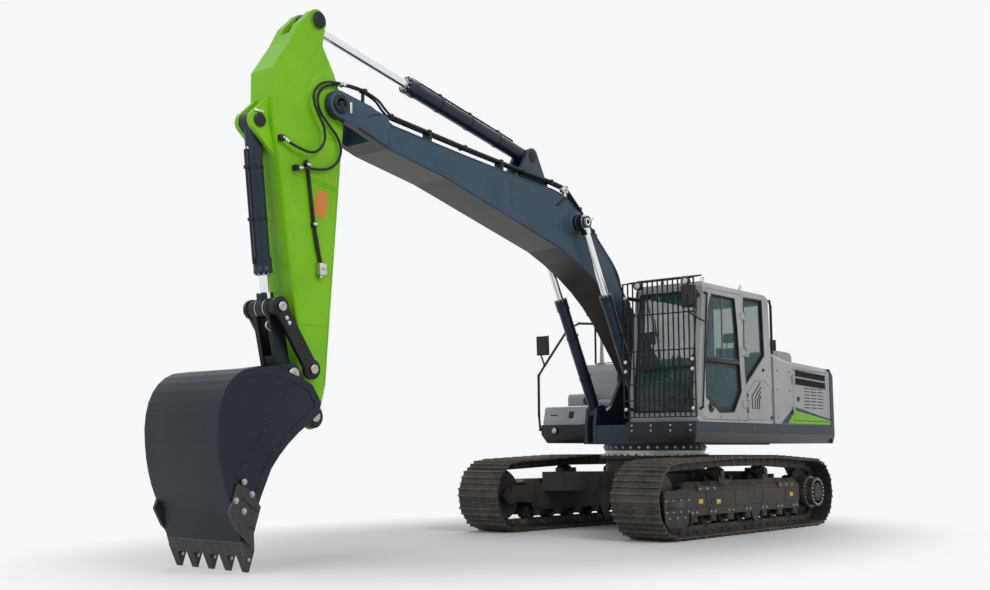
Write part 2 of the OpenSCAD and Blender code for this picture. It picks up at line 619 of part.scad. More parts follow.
module fuel_tank() color(silver) on_slew() {
    slab(right_y[0], right_y[1]) polygon([
        [tank_x[0], deck_z], [step_x[1], deck_z], [step_x[1], deck_z + 310], [step_x[1] - 40, deck_z + 350], [tank_x[1], deck_z + 350],
        [tank_x[1], bay_top - 60], [tank_x[1] - 40, bay_top + 35], [tank_x[1] - 90, bay_top + 50], [tank_x[0] + 60, bay_top + 50], [tank_x[0], bay_top + 20]
    ]);
    // rounded box beside it, with the filler's cap on its face
    slab(right_y[0], right_y[0] + 350) polygon([
        [step_x[1] - 1, deck_z], [box_x[0] - 20, deck_z], [box_x[0] - 20, deck_z + 375], [box_x[0] - 42, deck_z + 415],
        [box_x[0] - 85, deck_z + 430], [step_x[1] - 1, deck_z + 430]
    ]);
    translate([box_x[0] - 21, right_y[0] + 310, deck_z + 325]) rotate([0, 90, 0]) cylinder(h = 25, r = 42);
    // exhaust stub on the tank's top
    translate([tank_x[1] - 110, right_y[0] + 220, bay_top + 49]) {
        cylinder(h = 14, r = 62);
        cylinder(h = 380, r1 = 30, r2 = 18);
    }
}
box_wall = 15;
box_h = 215;
module toolbox() color(silver) on_slew() {
    difference() {
        slab(right_y[0], right_y[1]) polygon([
            [box_x[0], deck_z], [box_x[1], deck_z], [box_x[1], deck_z + 45], [box_x[1] - 25, deck_z + 45], [box_x[1] - 70, deck_z + box_h - 20],
            [box_x[1] - 100, deck_z + box_h], [box_x[0], deck_z + box_h]
        ]);
        box_at([box_x[0] + box_wall, box_x[1] - 40], [right_y[0] + box_wall, right_y[1] - box_wall], [deck_z + box_wall, deck_z + 300]);
    }
    for (y = [right_y[0] + 120, right_y[1] - 220]) {
        rod_y(box_hinge, y - 12, y + 112, hinge_r);
        for (d = [-12, 102]) box_at([box_x[0], box_x[0] + 30], [y + d, y + d + 10], [deck_z + box_h - 1, box_hinge[1] + 12]);
    }
}
box_hinge = [box_x[0] + 16, deck_z + box_h + 18];
module toolbox_lid() color(silver) on_slew() {
    slab(right_y[0], right_y[1]) polygon([
        [box_x[0] + 40, deck_z + box_h + 0.3], [box_x[1] - 99.7, deck_z + box_h + 0.3], [box_x[1] - 69.7, deck_z + box_h - 19.8],
        [box_x[1] - 24.7, deck_z + 45.3], [box_x[1], deck_z + 45.3], [box_x[1] - 42, deck_z + box_h - 10], [box_x[1] - 60, deck_z + box_h + 14],
        [box_x[1] - 90, deck_z + box_h + 25], [box_x[0] + 40, deck_z + box_h + 25]
    ]);
    for (y = [right_y[0] + 120, right_y[1] - 220]) difference() {
        union() {
            rod_y(box_hinge, y, y + 100, hinge_r + 6);
            box_at([box_hinge[0], box_x[0] + 41], [y, y + 100], [box_hinge[1] - 5, box_hinge[1] + 8]);
        }
        rod_y(box_hinge, y - 1, y + 101, hinge_r + 0.05);
    }
}

// Cab
cab_y = [upper_half - cab_w, upper_half];
seam = 0.5;
joint_zs = [deck_z + cab_wall + 6, cab_top - 116];
roof_drop = 60;
module cab_side(inset = 0) offset(delta = -inset) polygon([
    [-cab_back, deck_z], [cab_front, deck_z], [cab_front + 20, deck_z + 330], [cab_front - 145, cab_top - roof_drop],
    [cab_front - 205, cab_top], [-cab_back + 110, cab_top - 15], [-cab_back + 55, cab_top - roof_drop], [-cab_back + 20, cab_top - 700]
]);
module cab_form(inset = 0) intersection() {
    slab(cab_y[0] + inset, cab_y[1] - inset) cab_side(inset);
    translate([-cab_back - 50, 0, 0]) rotate([90, 0, 90]) linear_extrude(cab_back + cab_front + 200) offset(delta = -inset) polygon([
        [cab_y[0], deck_z], [cab_y[1], deck_z], [cab_y[1], cab_top - roof_drop - 20], [cab_y[1] - 20, cab_top - 25],
        [cab_y[1] - 70, cab_top + 1], [cab_y[0] + 70, cab_top + 1], [cab_y[0] + 20, cab_top - 25], [cab_y[0], cab_top - roof_drop - 20]
    ]);
}
// Outline of the door in the cab's left side, and of its two windows
module door_outline() polygon([
    [80, deck_z + 30], [cab_front - 85, deck_z + 30], [cab_front - 75, deck_z + 330], [cab_front - 225, cab_top - 85],
    [165, cab_top - 85], [150, cab_top - 700]
]);
module door_windows(inset = 0) {
    offset(delta = -inset) polygon([
        [245, cab_top - 890], [cab_front - 185, cab_top - 890], [cab_front - 275, cab_top - 300], [cab_front - 345, cab_top - 150],
        [330, cab_top - 150], [280, cab_top - 500]
    ]);
    offset(delta = -inset) polygon([
        [215, deck_z + 375], [245, cab_top - 925], [cab_front - 185, cab_top - 925], [cab_front - 180, deck_z + 280],
        [cab_front - 480, deck_z + 115], [400, deck_z + 130]
    ]);
}
module quarter_window(inset = 0) offset(delta = -inset) polygon([
    [75, cab_top - 1130], [110, cab_top - 700], [95, cab_top - 120], [-360, cab_top - 110], [-385, cab_top - 780]
]);
module side_window(inset = 0) offset(delta = -inset) polygon([
    [-420, cab_top - 120], [-440, cab_top - 800], [-300, cab_top - 1000], [cab_front - 260, cab_top - 1150],
    [cab_front - 190, cab_top - 1150], [cab_front - 280, cab_top - 130]
]);
module window_holes(grow) {
    slab(cab_y[1] - cab_wall - grow, cab_y[1] + grow) quarter_window();
    slab(cab_y[0] - grow, cab_y[0] + cab_wall + grow) side_window();
    // windscreen and rear window
    box_at([cab_front - 260, cab_front + 200], [cab_y[0] + 65, cab_y[1] - 65], [deck_z + 110, cab_top - 110]);
    box_at([-cab_back - 100, -cab_back + 130], [cab_y[0] + 110, cab_y[1] - 110], [cab_top - 760, cab_top - 130]);
}
door_hinge = [62, upper_half + 16];
hinge_zs = [deck_z + 180, deck_z + 800, cab_top - 380];
module cab_shell() color(silver) on_slew() {
    difference() {
        cab_form();
        cab_form(cab_wall);
        slab(cab_y[1] - cab_wall - 5, cab_y[1] + 5) offset(delta = door_gap) door_outline();
        window_holes(5);
        // joints between the floor, the roof and the four walls
        for (z = joint_zs) box_at([-cab_back - 99, cab_front + 99], [cab_y[0] - 9, cab_y[1] + 9], [z, z + seam]);
        for (y = [cab_y[0] + cab_wall + 19, cab_y[1] - cab_wall - 19 - seam])
            box_at([-cab_back - 99, cab_front + 99], [y, y + seam], [joint_zs[0], joint_zs[1] + seam]);
    }
    // hinge pins of the door, each between two ears
    for (z = hinge_zs) {
        translate([door_hinge[0], door_hinge[1], z - 12]) cylinder(h = 104, r = hinge_r);
        // the ears reach forward to the pillar beside the door, which leans forward
        reach = z > deck_z + 500 ? 66 : 14;
        for (dz = [-12, 82]) box_at([door_hinge[0] - 14, door_hinge[0] + reach], [upper_half - 1, door_hinge[1] + 14], [z + dz, z + dz + 10]);
    }
    // eyes on the roof for lifting the cab
    for (x = [-cab_back + 260, cab_front - 330]) difference() {
        union() {
            box_at([x - 30, x + 30], [cab_y[0] + 250, cab_y[0] + 266], [cab_top - 30, cab_top + 40]);
            translate([x, cab_y[0] + 266, cab_top + 40]) rotate([90, 0, 0]) cylinder(h = 16, r = 30);
        }
        translate([x, cab_y[0] + 270, cab_top + 40]) rotate([90, 0, 0]) cylinder(h = 24, r = 16);
    }
}
module pane_band() difference() {
    cab_form(cab_wall / 2 - glass_t / 2);
    cab_form(cab_wall / 2 + glass_t / 2);
}
module cab_glass() color(clear) on_slew() intersection() {
    pane_band();
    window_holes(0);
}
module cab_door() color(silver) on_slew() {
    difference() {
        slab(cab_y[1] - cab_wall, cab_y[1]) door_outline();
        slab(cab_y[1] - cab_wall - 1, cab_y[1] + 1) door_windows();
    }
    for (z = hinge_zs) difference() {
        translate([door_hinge[0], door_hinge[1], z]) union() {
            cylinder(h = 80, r = hinge_r + 6);
            box_at([0, 130], [-14, -5], [0, 80]);
            box_at([112, 130], [-20, -8], [0, 80]);
        }
        translate([door_hinge[0], door_hinge[1], z - 1]) cylinder(h = 82, r = hinge_r + 0.05);
    }
}
module door_glass() color(clear) on_slew()
    slab(cab_y[1] - cab_wall / 2 - glass_t / 2, cab_y[1] - cab_wall / 2 + glass_t / 2) door_windows();
seat_y = cab_y[0] + cab_w / 2;
floor_z = deck_z + cab_wall;
module seat() color(black) on_slew() translate([0, seat_y, floor_z]) {
    box_at([-180, 200], [-180, 180], [0, 330]);
    slab(-250, 250) polygon([[-250, 330], [270, 330], [300, 400], [270, 450], [-200, 440], [-280, 900], [-330, 1150], [-420, 1140], [-380, 860], [-300, 330]]);
    for (s = [-1, 1]) translate([0, s * 305, 0]) {
        slab(-50, 50) polygon([[-250, 329], [60, 329], [360, 420], [360, 500], [330, 560], [-250, 540]]);
        bar([320, 0, 540], [350, 0, 720], 16);
        translate([350, 0, 740]) sphere(r = 34);
    }
    box_at([-170, 190], [-350, 350], [300, 331]);
}
// Grille before the windscreen, with a slanted visor over the roof
guard_x = deck_front + 22;
guard_y = [cab_y[0] - 28, cab_y[1] + 20];
guard_z = [deck_z + 45, cab_top + 10];
guard_bar = 14;
guard_step = 68;
visor_back = 330;
visor_rise = 70;
guard_n = floor((guard_y[1] - guard_y[0]) / guard_step);
visor_in = 90;
module guard_bars(len_up, y1) {
    for (i = [0 : guard_n]) let(y = guard_y[0] + i * (y1 - guard_y[0]) / guard_n)
        translate([0, y - guard_bar / 2, 0]) cube([guard_bar, guard_bar, len_up]);
}
module front_guard() color(black) on_slew() {
    translate([guard_x, 0, guard_z[0]]) {
        guard_bars(guard_z[1] - guard_z[0], guard_y[1]);
        for (h = [0, 190, 380, 570, 760, 1180, guard_z[1] - guard_z[0] - guard_bar])
            box_at([2, guard_bar + 4], [guard_y[0] - guard_bar / 2, guard_y[1] + guard_bar / 2], [h, h + guard_bar]);
    }
    translate([guard_x, 0, guard_z[1] - guard_bar]) rotate([0, -90 + atan2(visor_rise, visor_back), 0]) {
        guard_bars(norm([visor_back, visor_rise]), guard_y[1] - visor_in);
        for (h = [150, norm([visor_back, visor_rise]) - guard_bar])
            box_at([2, guard_bar + 4], [guard_y[0] - guard_bar / 2, guard_y[1] - visor_in + guard_bar / 2], [h, h + guard_bar]);
    }
    difference() {
        for (z = [guard_z[0] + 80, cab_top - 190], y = [cab_y[0] + 30, cab_y[1] - 60])
            box_at([cab_front - 250, guard_x + 3], [y, y + 30], [z, z + 40]);
        cab_form();
    }
    // work lights under the visor
    for (y = [guard_y[0] + 238, guard_y[1] - 78]) box_at([guard_x + 2, guard_x + guard_bar + 1], [y - 10, y + 10], [guard_z[1] - 50, guard_z[1] - 5]);
    for (y = [guard_y[0] + 238, guard_y[1] - 78]) translate([guard_x + guard_bar, y, guard_z[1] - 50]) rotate([0, 90, 0]) {
        cylinder(h = 55, r = 48);
        translate([0, 0, -10]) cylinder(h = 12, r = 20);
    }
}
rail_r = 17;
// A bent rail through points: each stretch a little thinner than the last, with a ball at each bend
module bent(p, r) {
    for (i = [0 : len(p) - 2]) bar(p[i], p[i + 1], r - 2 * (i % 2));
    for (i = [1 : len(p) - 2]) translate(p[i]) sphere(r = r + 3, $fn = 24);
}
rail_x = deck_front_right - 45;
module handrails() color(black) on_slew() {
    difference() {
        union() {
            // behind the cab, from its rear corner down to the engine bay
            bent([
                [-cab_back + 70, upper_half - 130, cab_top - 70], [-bay_front - 150, upper_half - 130, cab_top - 50],
                [-bay_front - 180, upper_half - 130, cab_top - 120], [-bay_front - 180, upper_half - 130, bay_top + 20]
            ], rail_r);
            // along the cab's front corner, clear of the door's swing
            bent([
                [cab_front - 172, upper_half - 20, cab_top - 125], [cab_front - 175, upper_half + 36, cab_top - 160],
                [cab_front - 30, upper_half + 36, deck_z + 160], [cab_front - 22, upper_half - 20, deck_z + 130]
            ], 13);
        }
        cab_form(-0.3);
        bay_form(-0.3);
    }
    // beside the toolbox, up and back to the tank's top
    bent([
        [rail_x, -upper_half - 0.3, deck_z - 60], [rail_x, -upper_half - 52, deck_z - 60], [rail_x, -upper_half - 72, deck_z + 125],
        [rail_x, -upper_half - 76, cab_top - 965], [rail_x, right_y[0], cab_top - 835], [36, right_y[0], cab_top - 315],
        [-225, right_y[0], cab_top - 210], [-560, right_y[0] + 40, cab_top - 190], [-560, right_y[0] + 40, bay_top + 50.3]
    ], rail_r);
}
module mirrors() color(black) on_slew() {
    // left, on the cab's front corner
    slab(upper_half - 55, upper_half + 125) polygon([
        [guard_x + 120, cab_top - 350], [guard_x + 150, cab_top - 350], [guard_x + 165, cab_top - 110], [guard_x + 135, cab_top - 100]
    ]);
    bar([guard_x + 140, guard_y[1], cab_top - 230], [guard_x + guard_bar, guard_y[1], cab_top - 230], 12);
    // right, on its tube beside the toolbox
    a = [rail_x, right_y[0], cab_top - 835];
    b = [rail_x, right_y[0] - 70, cab_top - 660];
    difference() {
        bar(a, b, 12);
        bent([[rail_x, -upper_half - 76, cab_top - 965], a, [36, right_y[0], cab_top - 315]], rail_r + 2.3);
    }
    slab(right_y[0] - 125, right_y[0] + 60) polygon([
        [rail_x - 30, cab_top - 695], [rail_x + 5, cab_top - 695], [rail_x + 15, cab_top - 445], [rail_x - 18, cab_top - 435]
    ]);
}

// Boom: a welded box whose nose is a fork
fork_half = stick_half + 8;
fork_back = 440;
pin_cap = 24;
boom_low = concat(
    [foot_pin + [90, -118], foot_pin + [370, 210]],
    bend(foot_pin + [780, 640], foot_pin + [1250, 1090], lift_eye + [330, -330], 5),
    [nose_pin + [-1450, -435], nose_pin + [-620, -300], nose_pin + [-40, -128]]
);
boom_high = concat(
    [nose_pin + [-20, 133], nose_pin + [-400, 75], nose_pin + [-690, -45], nose_pin + [-1770, -135], lift_eye + [930, 360]],
    bend(lift_eye + [430, 335], lift_eye + [120, 310], lift_eye + [-170, 50], 4),
    [lift_eye + [-480, -170], lift_eye + [-760, -400], foot_pin + [790, 1000], foot_pin + [-95, 115]]
);
module boom_outline() {
    polygon(concat(boom_low, boom_high));
    disc(foot_pin, foot_boss_r - 10);
    disc(nose_pin, nose_boss_r);
}
module ears(y0, y1, p, r) both() slab(y0, y1) {
    children();
    disc(p, r);
}
module boom() color(slate) on_slew() {
    difference() {
        union() {
            slab(-boom_half, boom_half) boom_outline();
            rod_y(foot_pin, -foot_boss_half, foot_boss_half, foot_boss_r);
            rod_y(lift_eye, -lift_y + lift_half + eye_gap, lift_y - lift_half - eye_gap, 95);
            ears(eye_half + eye_gap, eye_half + eye_gap + 45, reach_foot, 95) polygon([
                reach_foot + [-330, -390], reach_foot + [330, -380], reach_foot + [80, 50], reach_foot + [-80, 50]
            ]);
        }
        // inside of the box
        slab(-boom_half + boom_t, boom_half - boom_t) difference() {
            intersection() {
                offset(delta = -boom_t) polygon(concat(boom_low, boom_high));
                translate([nose_pin[0] - fork_back - boom_t - 6000, 0]) square([6000, 6000]);
            }
            disc(foot_pin, foot_boss_r);
            disc(lift_eye, 95);
        }
        // slot between the fork's ears
        slab(-fork_half, fork_half) polygon([
            nose_pin + [-fork_back, -500], nose_pin + [300, -500], nose_pin + [300, 300], nose_pin + [-fork_back, 300]
        ]);
        rod_y(reach_foot, -200, 200, pin_r + 0.05);
    }
    rod_y(foot_pin, -foot_boss_half - 89, foot_boss_half + 89, pin_r);
    rod_y(nose_pin, -boom_half - pin_cap, boom_half + pin_cap, pin_r);
    both() rod_y(nose_pin, boom_half - 1, boom_half + pin_cap, nose_boss_r - 50);
}
eye_half = 62;
pipe_r = 19;
pipe_y = [-192, -145, 145, 192];
pipe_up = 92;
top_line = [lift_eye + [-480, -170], lift_eye + [-170, 50], lift_eye + [930, 360], nose_pin + [-1770, -135], nose_pin + [-690, -45]];
pipe_path = concat(
    [lift_eye + [-420, -80], lift_eye + [-120, 190], lift_eye + [150, 395], lift_eye + [430, 425]],
    [for (i = [2 : 4]) top_line[i] + [0, pipe_up]]
);
// Clamps: which stretch of the boom's top line, how far along it, height
clamp_rows = [[0, 0.3, 88], [2, 0.4, pipe_up + 24], [3, 0.5, pipe_up + 24]];
module boom_pipes() color(black) on_slew() for (y = pipe_y) {
    for (i = [0 : len(pipe_path) - 2]) let(a = pipe_path[i], b = pipe_path[i + 1]) bar([a[0], y, a[1]], [b[0], y, b[1]], pipe_r);
    for (p = pipe_path) rod_y(p, y - pipe_r - 3, y + pipe_r + 3, pipe_r + 6);
    for (c = clamp_rows) let(a = top_line[c[0]], b = top_line[c[0] + 1], p = a + (b - a) * c[1], u = (b - a) / norm(b - a) * 20)
        slab(y - pipe_r - 5, y + pipe_r + 5) polygon([p - u, p + u, p + u + [0, c[2]], p - u + [0, c[2]]]);
}
// A cylinder's barrel: its eye, its tube and its gland, drawn from the foot pin along +X
module barrel(r, rod, len, half, eye, neck = 170) {
    gland = 130;
    difference() {
        union() {
            rod_y([0, 0], -half, half, eye);
            intersection() {
                round_x(0, neck, r);
                box_at([0, neck], [-half, half], [-r, r]);
            }
            round_x(neck - 50, len, r);
            round_x(len - gland, len, r + 9);
            round_x(len - 1, len + 22, rod + 16);
        }
        round_x(100, len + 30, rod + 0.05);
    }
}
// A cylinder's rod with its eye, drawn from the eye's pin back along -X
module rod(rod, len, half, eye) {
    rod_y([0, 0], -half, half, eye);
    round_x(-len, -eye - 30, rod);
    intersection() {
        round_x(-eye - 50, -20, rod + 14);
        box_at([-eye - 50, -20], [-half, half], [-rod - 20, rod + 20]);
    }
}
lift_rod_len = 1480;
module lift_barrels() color(black) on_slew() both() translate([0, lift_y, 0]) aimed(lift_foot, lift_eye) {
    barrel(lift_r, lift_rod_r, lift_barrel, lift_half, eye_r);
    rod_y([0, 0], -lift_half - bracket_t, lift_half + lug_t, pin_r);
}
module lift_rods() color(steel) on_slew() both() translate([0, lift_y, 0]) translate([lift_eye[0], 0, lift_eye[1]])
    rotate([0, -aim(lift_foot, lift_eye), 0]) {
        rod(lift_rod_r, lift_rod_len, lift_half, eye_r);
        rod_y([0, 0], lift_half - 1, lift_half + 30, 70);
    }
reach_rod_len = 2000;
module reach_barrel() color(black) on_slew() aimed(reach_foot, reach_eye) {
    barrel(reach_r, reach_rod_r, reach_barrel, eye_half, eye_r);
    rod_y([0, 0], -eye_half - 50, eye_half + 50, pin_r);
}
module reach_rod() color(steel) on_slew() translate([reach_eye[0], 0, reach_eye[1]])
    rotate([0, -aim(reach_foot, reach_eye), 0]) rod(reach_rod_r, reach_rod_len, eye_half, eye_r);

// Stick
stick_back = [
    reach_eye + [-92, -50], reach_eye + [-65, -225], nose_pin + [20, 305], nose_pin + [-61, 135], nose_pin + [-111, -175],
    nose_pin + [-81, -555], rocker_pin + [-237, 523], tip_pin + [-169, 287], tip_pin + [-88, -35]
];
stick_front = [
    tip_pin + [88, 35], tip_pin + [121, 327], rocker_pin + [123, 283], rocker_pin + [213, 703], curl_foot + [-174, -235],
    curl_foot + [-104, 55], curl_foot + [-94, 495], reach_eye + [309, -265], reach_eye + [219, -85], reach_eye + [60, 85]
];
module stick() color(lime) on_slew() difference() {
    union() {
        slab(-stick_half, stick_half) {
            polygon(concat(stick_back, stick_front));
            disc(reach_eye, top_boss_r);
            disc(tip_pin, 95);
        }
        rod_y(nose_pin, -fork_half + eye_gap, fork_half - eye_gap, hub_r);
        rod_y(rocker_pin, -link_y + eye_gap, link_y - eye_gap, 85);
        rod_y(tip_pin, -link_y + eye_gap, link_y - eye_gap, 95);
        both() rod_y(reach_eye, stick_half - 1, stick_half + 22, 75);
        ears(eye_half + eye_gap, eye_half + eye_gap + 45, curl_foot, 100) polygon([
            curl_foot + [-150, 290], curl_foot + [75, 65], curl_foot + [75, -65], curl_foot + [-200, -300]
        ]);
    }
    // inside of the box
    slab(-stick_half + stick_t, stick_half - stick_t) difference() {
        offset(delta = -stick_t) polygon(concat(stick_back, stick_front));
        disc(nose_pin, hub_r);
        disc(rocker_pin, 85);
        disc(tip_pin, 120);
        translate([0, reach_eye[1] - 190]) square([9000, 500]);
    }
    // slot for the eye of the reach cylinder's rod
    slab(-eye_half - eye_gap, eye_half + eye_gap) translate([reach_eye[0] - 500, reach_eye[1] - 165]) square([1000, 600]);
    for (p = [nose_pin, rocker_pin, tip_pin, curl_foot]) rod_y(p, -250, 250, pin_r + 0.05);
}
link_y = stick_half + 15;
module stick_pipes() color(black) on_slew() {
    y = stick_half + 20;
    path = [nose_pin + [330, -620], nose_pin + [240, -1150], nose_pin + [150, -1500]];
    for (i = [0, 1]) bar([path[i][0], y, path[i][1]], [path[i + 1][0], y, path[i + 1][1]], 16);
    translate([path[1][0], y, path[1][1]]) sphere(r = 20, $fn = 24);
    for (p = [path[0], path[1]]) box_at([p[0] - 20, p[0] + 20], [stick_half, y + 22], [p[1] - 25, p[1] + 15]);
    box_at([path[2][0] - 40, path[2][0] + 40], [stick_half, y + 40], [path[2][1] - 110, path[2][1]]);
}
curl_rod_len = 1450;
module curl_barrel() color(black) on_slew() aimed(curl_foot, curl_eye) {
    barrel(curl_r, curl_rod_r, curl_barrel, eye_half, eye_r, 400);
    rod_y([0, 0], -eye_half - 55, eye_half + 55, pin_r);
}
module curl_rod() color(steel) on_slew() translate([curl_eye[0], 0, curl_eye[1]])
    rotate([0, -aim(curl_foot, curl_eye), 0]) rod(curl_rod_r, curl_rod_len, eye_half - 6, eye_r - 6);
module link_plate(a, b, ra, rb) {
    l = norm(b - a);
    aimed(a, b) slab(-rocker_t / 2, rocker_t / 2) {
        circle(r = ra);
        translate([l, 0]) circle(r = rb);
        polygon([[0, ra - 22], [l, rb - 22], [l, -rb + 22], [0, -ra + 22]]);
    }
}
module side_links() color(black) on_slew() {
    both() translate([0, link_y + rocker_t / 2, 0]) link_plate(rocker_pin, curl_eye, 88, 88);
    rod_y(rocker_pin, -link_y - rocker_t - pin_cap, link_y + rocker_t + pin_cap, pin_r);
    both() rod_y(curl_eye, eye_half + eye_gap, link_y + rocker_t + pin_cap, pin_r);
}
module bucket_link() color(black) on_slew() {
    l = norm(ear_pin - curl_eye);
    difference() {
        union() {
            aimed(curl_eye, ear_pin) both() slab(eye_half + eye_gap, eye_half + eye_gap + 50) {
                circle(r = 86);
                translate([l, 0]) circle(r = 80);
                polygon([[0, 70], [l, 70], [l, -70], [0, -70]]);
            }
            both() rod_y(curl_eye, eye_half + eye_gap, link_y - eye_gap, 80);
            rod_y(ear_pin, -link_y + eye_gap, link_y - eye_gap, 78);
            aimed(curl_eye, ear_pin) box_at([l - 180, l], [-eye_half - 1, eye_half + 1], [-60, 60]);
        }
        rod_y(curl_eye, -300, 300, pin_r + 0.05);
    }
}

// Bucket, its outline given from the pin at the stick's tip
bucket_back = concat(
    bend([281, 257], [631, 437], [981, 357], 5), bend([981, 357], [1241, 260], [1241, -113], 6),
    bend([1241, -113], [1221, -513], [1061, -763], 6), [[985, -1010]]
);
bucket_mouth = concat(bend([925, -1000], [830, -720], [700, -440], 3), bend([700, -440], [560, -230], [300, -60], 4), [[200, 20], [180, 110]]);
module bucket_outline() translate(tip_pin) polygon(concat(bucket_back, bucket_mouth));
mouth_out = [-0.74, -0.67];
module bucket() color(black) on_slew() {
    difference() {
        slab(-bucket_half, bucket_half) bucket_outline();
        slab(-bucket_half + bucket_side_t, bucket_half - bucket_side_t) for (s = [0, 60, 120])
            translate(mouth_out * s) offset(delta = -bucket_t) bucket_outline();
        box_at([tip_pin[0] - 300, tip_pin[0] + 900], [-link_y + 1, link_y - 1], [tip_pin[1] - 600, tip_pin[1] + 200]);
    }
    both() slab(link_y, link_y + rocker_t) {
        disc(tip_pin, 100);
        disc(ear_pin, 92);
        polygon([
            tip_pin + [-70, 70], ear_pin + [-82, 42], ear_pin + [20, 90], tip_pin + [640, 395], tip_pin + [900, 350],
            tip_pin + [560, 300], tip_pin + [300, 90], tip_pin + [60, -80]
        ]);
    }
    rod_y(tip_pin, -link_y - rocker_t - pin_cap, link_y + rocker_t + pin_cap, pin_r);
    both() rod_y(ear_pin, link_y, link_y + rocker_t + pin_cap, pin_r + 15);
    // raised borders of the side plates
    both() slab(bucket_half - 1, bucket_half + 8) difference() {
        bucket_outline();
        offset(delta = -65) bucket_outline();
        offset(delta = 0.3) cutter_outline();
        translate(lip_end + [-200, -200]) square([500, 290]);
    }
}
module cutter_outline() polygon([
    lip_end + [135, 510], lip_end + [-15, 430], lip_end + [-95, 320], lip_end + [-5, 20], lip_end + [135, 150], lip_end + [215, 290]
]);
lip_end = tip_pin + [905, -1060];
tip_at = [tip_pin[0] + 885, 15];
module tooth() intersection() {
    slab(-tooth_w, tooth_w) polygon([
        lip_end + [-48, 175], lip_end + [78, 190], lip_end + [62, -10], tip_at + [8, 0], tip_at + [-8, 0], lip_end + [-62, -20]
    ]);
    translate([lip_end[0] - 300, 0, 0]) rotate([90, 0, 90]) linear_extrude(600) polygon([
        [-tooth_w / 2, lip_end[1] + 200], [tooth_w / 2, lip_end[1] + 200], [tooth_w / 2, lip_end[1] - 20], [tooth_w / 3.2, tip_at[1]],
        [-tooth_w / 3.2, tip_at[1]], [-tooth_w / 2, lip_end[1] - 20]
    ]);
}
module bucket_teeth() color(black) on_slew() difference() {
    union() {
        slab(-bucket_half, bucket_half) polygon([
            lip_end + [10, 60], lip_end + [80, 50], lip_end + [40, -60], lip_end + [-20, -60]
        ]);
        for (i = [0 : tooth_count - 1]) translate([0, (i / (tooth_count - 1) - 0.5) * (2 * bucket_half - tooth_w), 0]) tooth();
        both() slab(bucket_half, bucket_half + 25) cutter_outline();
    }
    difference() {
        slab(-bucket_half, bucket_half) bucket_outline();
        slab(-bucket_half + bucket_side_t, bucket_half - bucket_side_t) for (s = [0, 60, 120])
            translate(mouth_out * s) offset(delta = -bucket_t) bucket_outline();
    }
}

carbody();
track_frame_left();
track_frame_right();
track_left();
track_right();
idlers();
sprockets();
bottom_rollers();
carrier_rollers();
slew_ring_lower();
slew_ring_upper();
platform();
side_decks();
counterweight();
engine_block();
engine_bay();
engine_hood();
louvre_door();
pump_door();
fuel_tank();
toolbox();
toolbox_lid();
cab_shell();
cab_glass();
cab_door();
door_glass();
seat();
front_guard();
handrails();
mirrors();
boom();
boom_pipes();
lift_barrels();
lift_rods();
reach_barrel();
reach_rod();
stick();
stick_pipes();
curl_barrel();
curl_rod();
side_links();
bucket_link();
bucket();
bucket_teeth();
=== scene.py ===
"""Crawler excavator: its looks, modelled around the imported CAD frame."""

import json
import logging
import math
from dataclasses import dataclass, field
from enum import Enum
from typing import Iterable, Optional, Sequence, Union

import bpy
from mathutils import Matrix, Vector

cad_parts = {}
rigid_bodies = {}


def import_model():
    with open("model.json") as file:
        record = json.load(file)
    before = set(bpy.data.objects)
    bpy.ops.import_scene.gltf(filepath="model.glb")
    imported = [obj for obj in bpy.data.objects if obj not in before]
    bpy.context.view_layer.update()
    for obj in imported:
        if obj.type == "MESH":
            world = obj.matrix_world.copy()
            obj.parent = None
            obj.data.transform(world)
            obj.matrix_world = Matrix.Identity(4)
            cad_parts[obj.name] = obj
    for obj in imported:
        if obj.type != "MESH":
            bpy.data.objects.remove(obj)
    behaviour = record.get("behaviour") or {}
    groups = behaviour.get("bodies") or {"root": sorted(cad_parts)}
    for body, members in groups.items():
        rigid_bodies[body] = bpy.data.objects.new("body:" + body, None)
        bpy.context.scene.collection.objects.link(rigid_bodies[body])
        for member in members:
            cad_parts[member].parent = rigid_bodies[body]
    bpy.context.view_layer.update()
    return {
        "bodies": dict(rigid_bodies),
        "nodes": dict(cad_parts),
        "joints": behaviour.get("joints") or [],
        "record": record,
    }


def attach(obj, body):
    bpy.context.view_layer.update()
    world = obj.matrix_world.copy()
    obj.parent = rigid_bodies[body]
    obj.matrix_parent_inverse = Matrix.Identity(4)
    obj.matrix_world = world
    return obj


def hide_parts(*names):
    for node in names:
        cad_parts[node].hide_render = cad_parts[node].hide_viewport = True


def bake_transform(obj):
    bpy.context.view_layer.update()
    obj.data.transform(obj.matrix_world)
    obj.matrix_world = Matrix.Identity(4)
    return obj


LOG = logging.getLogger("excavator")

# The machine's own frame has its origin under the slewing axis, which lies this far behind the part's origin
SLEW_X = -2.171

Number = Union[int, float]
Point = Sequence[float]


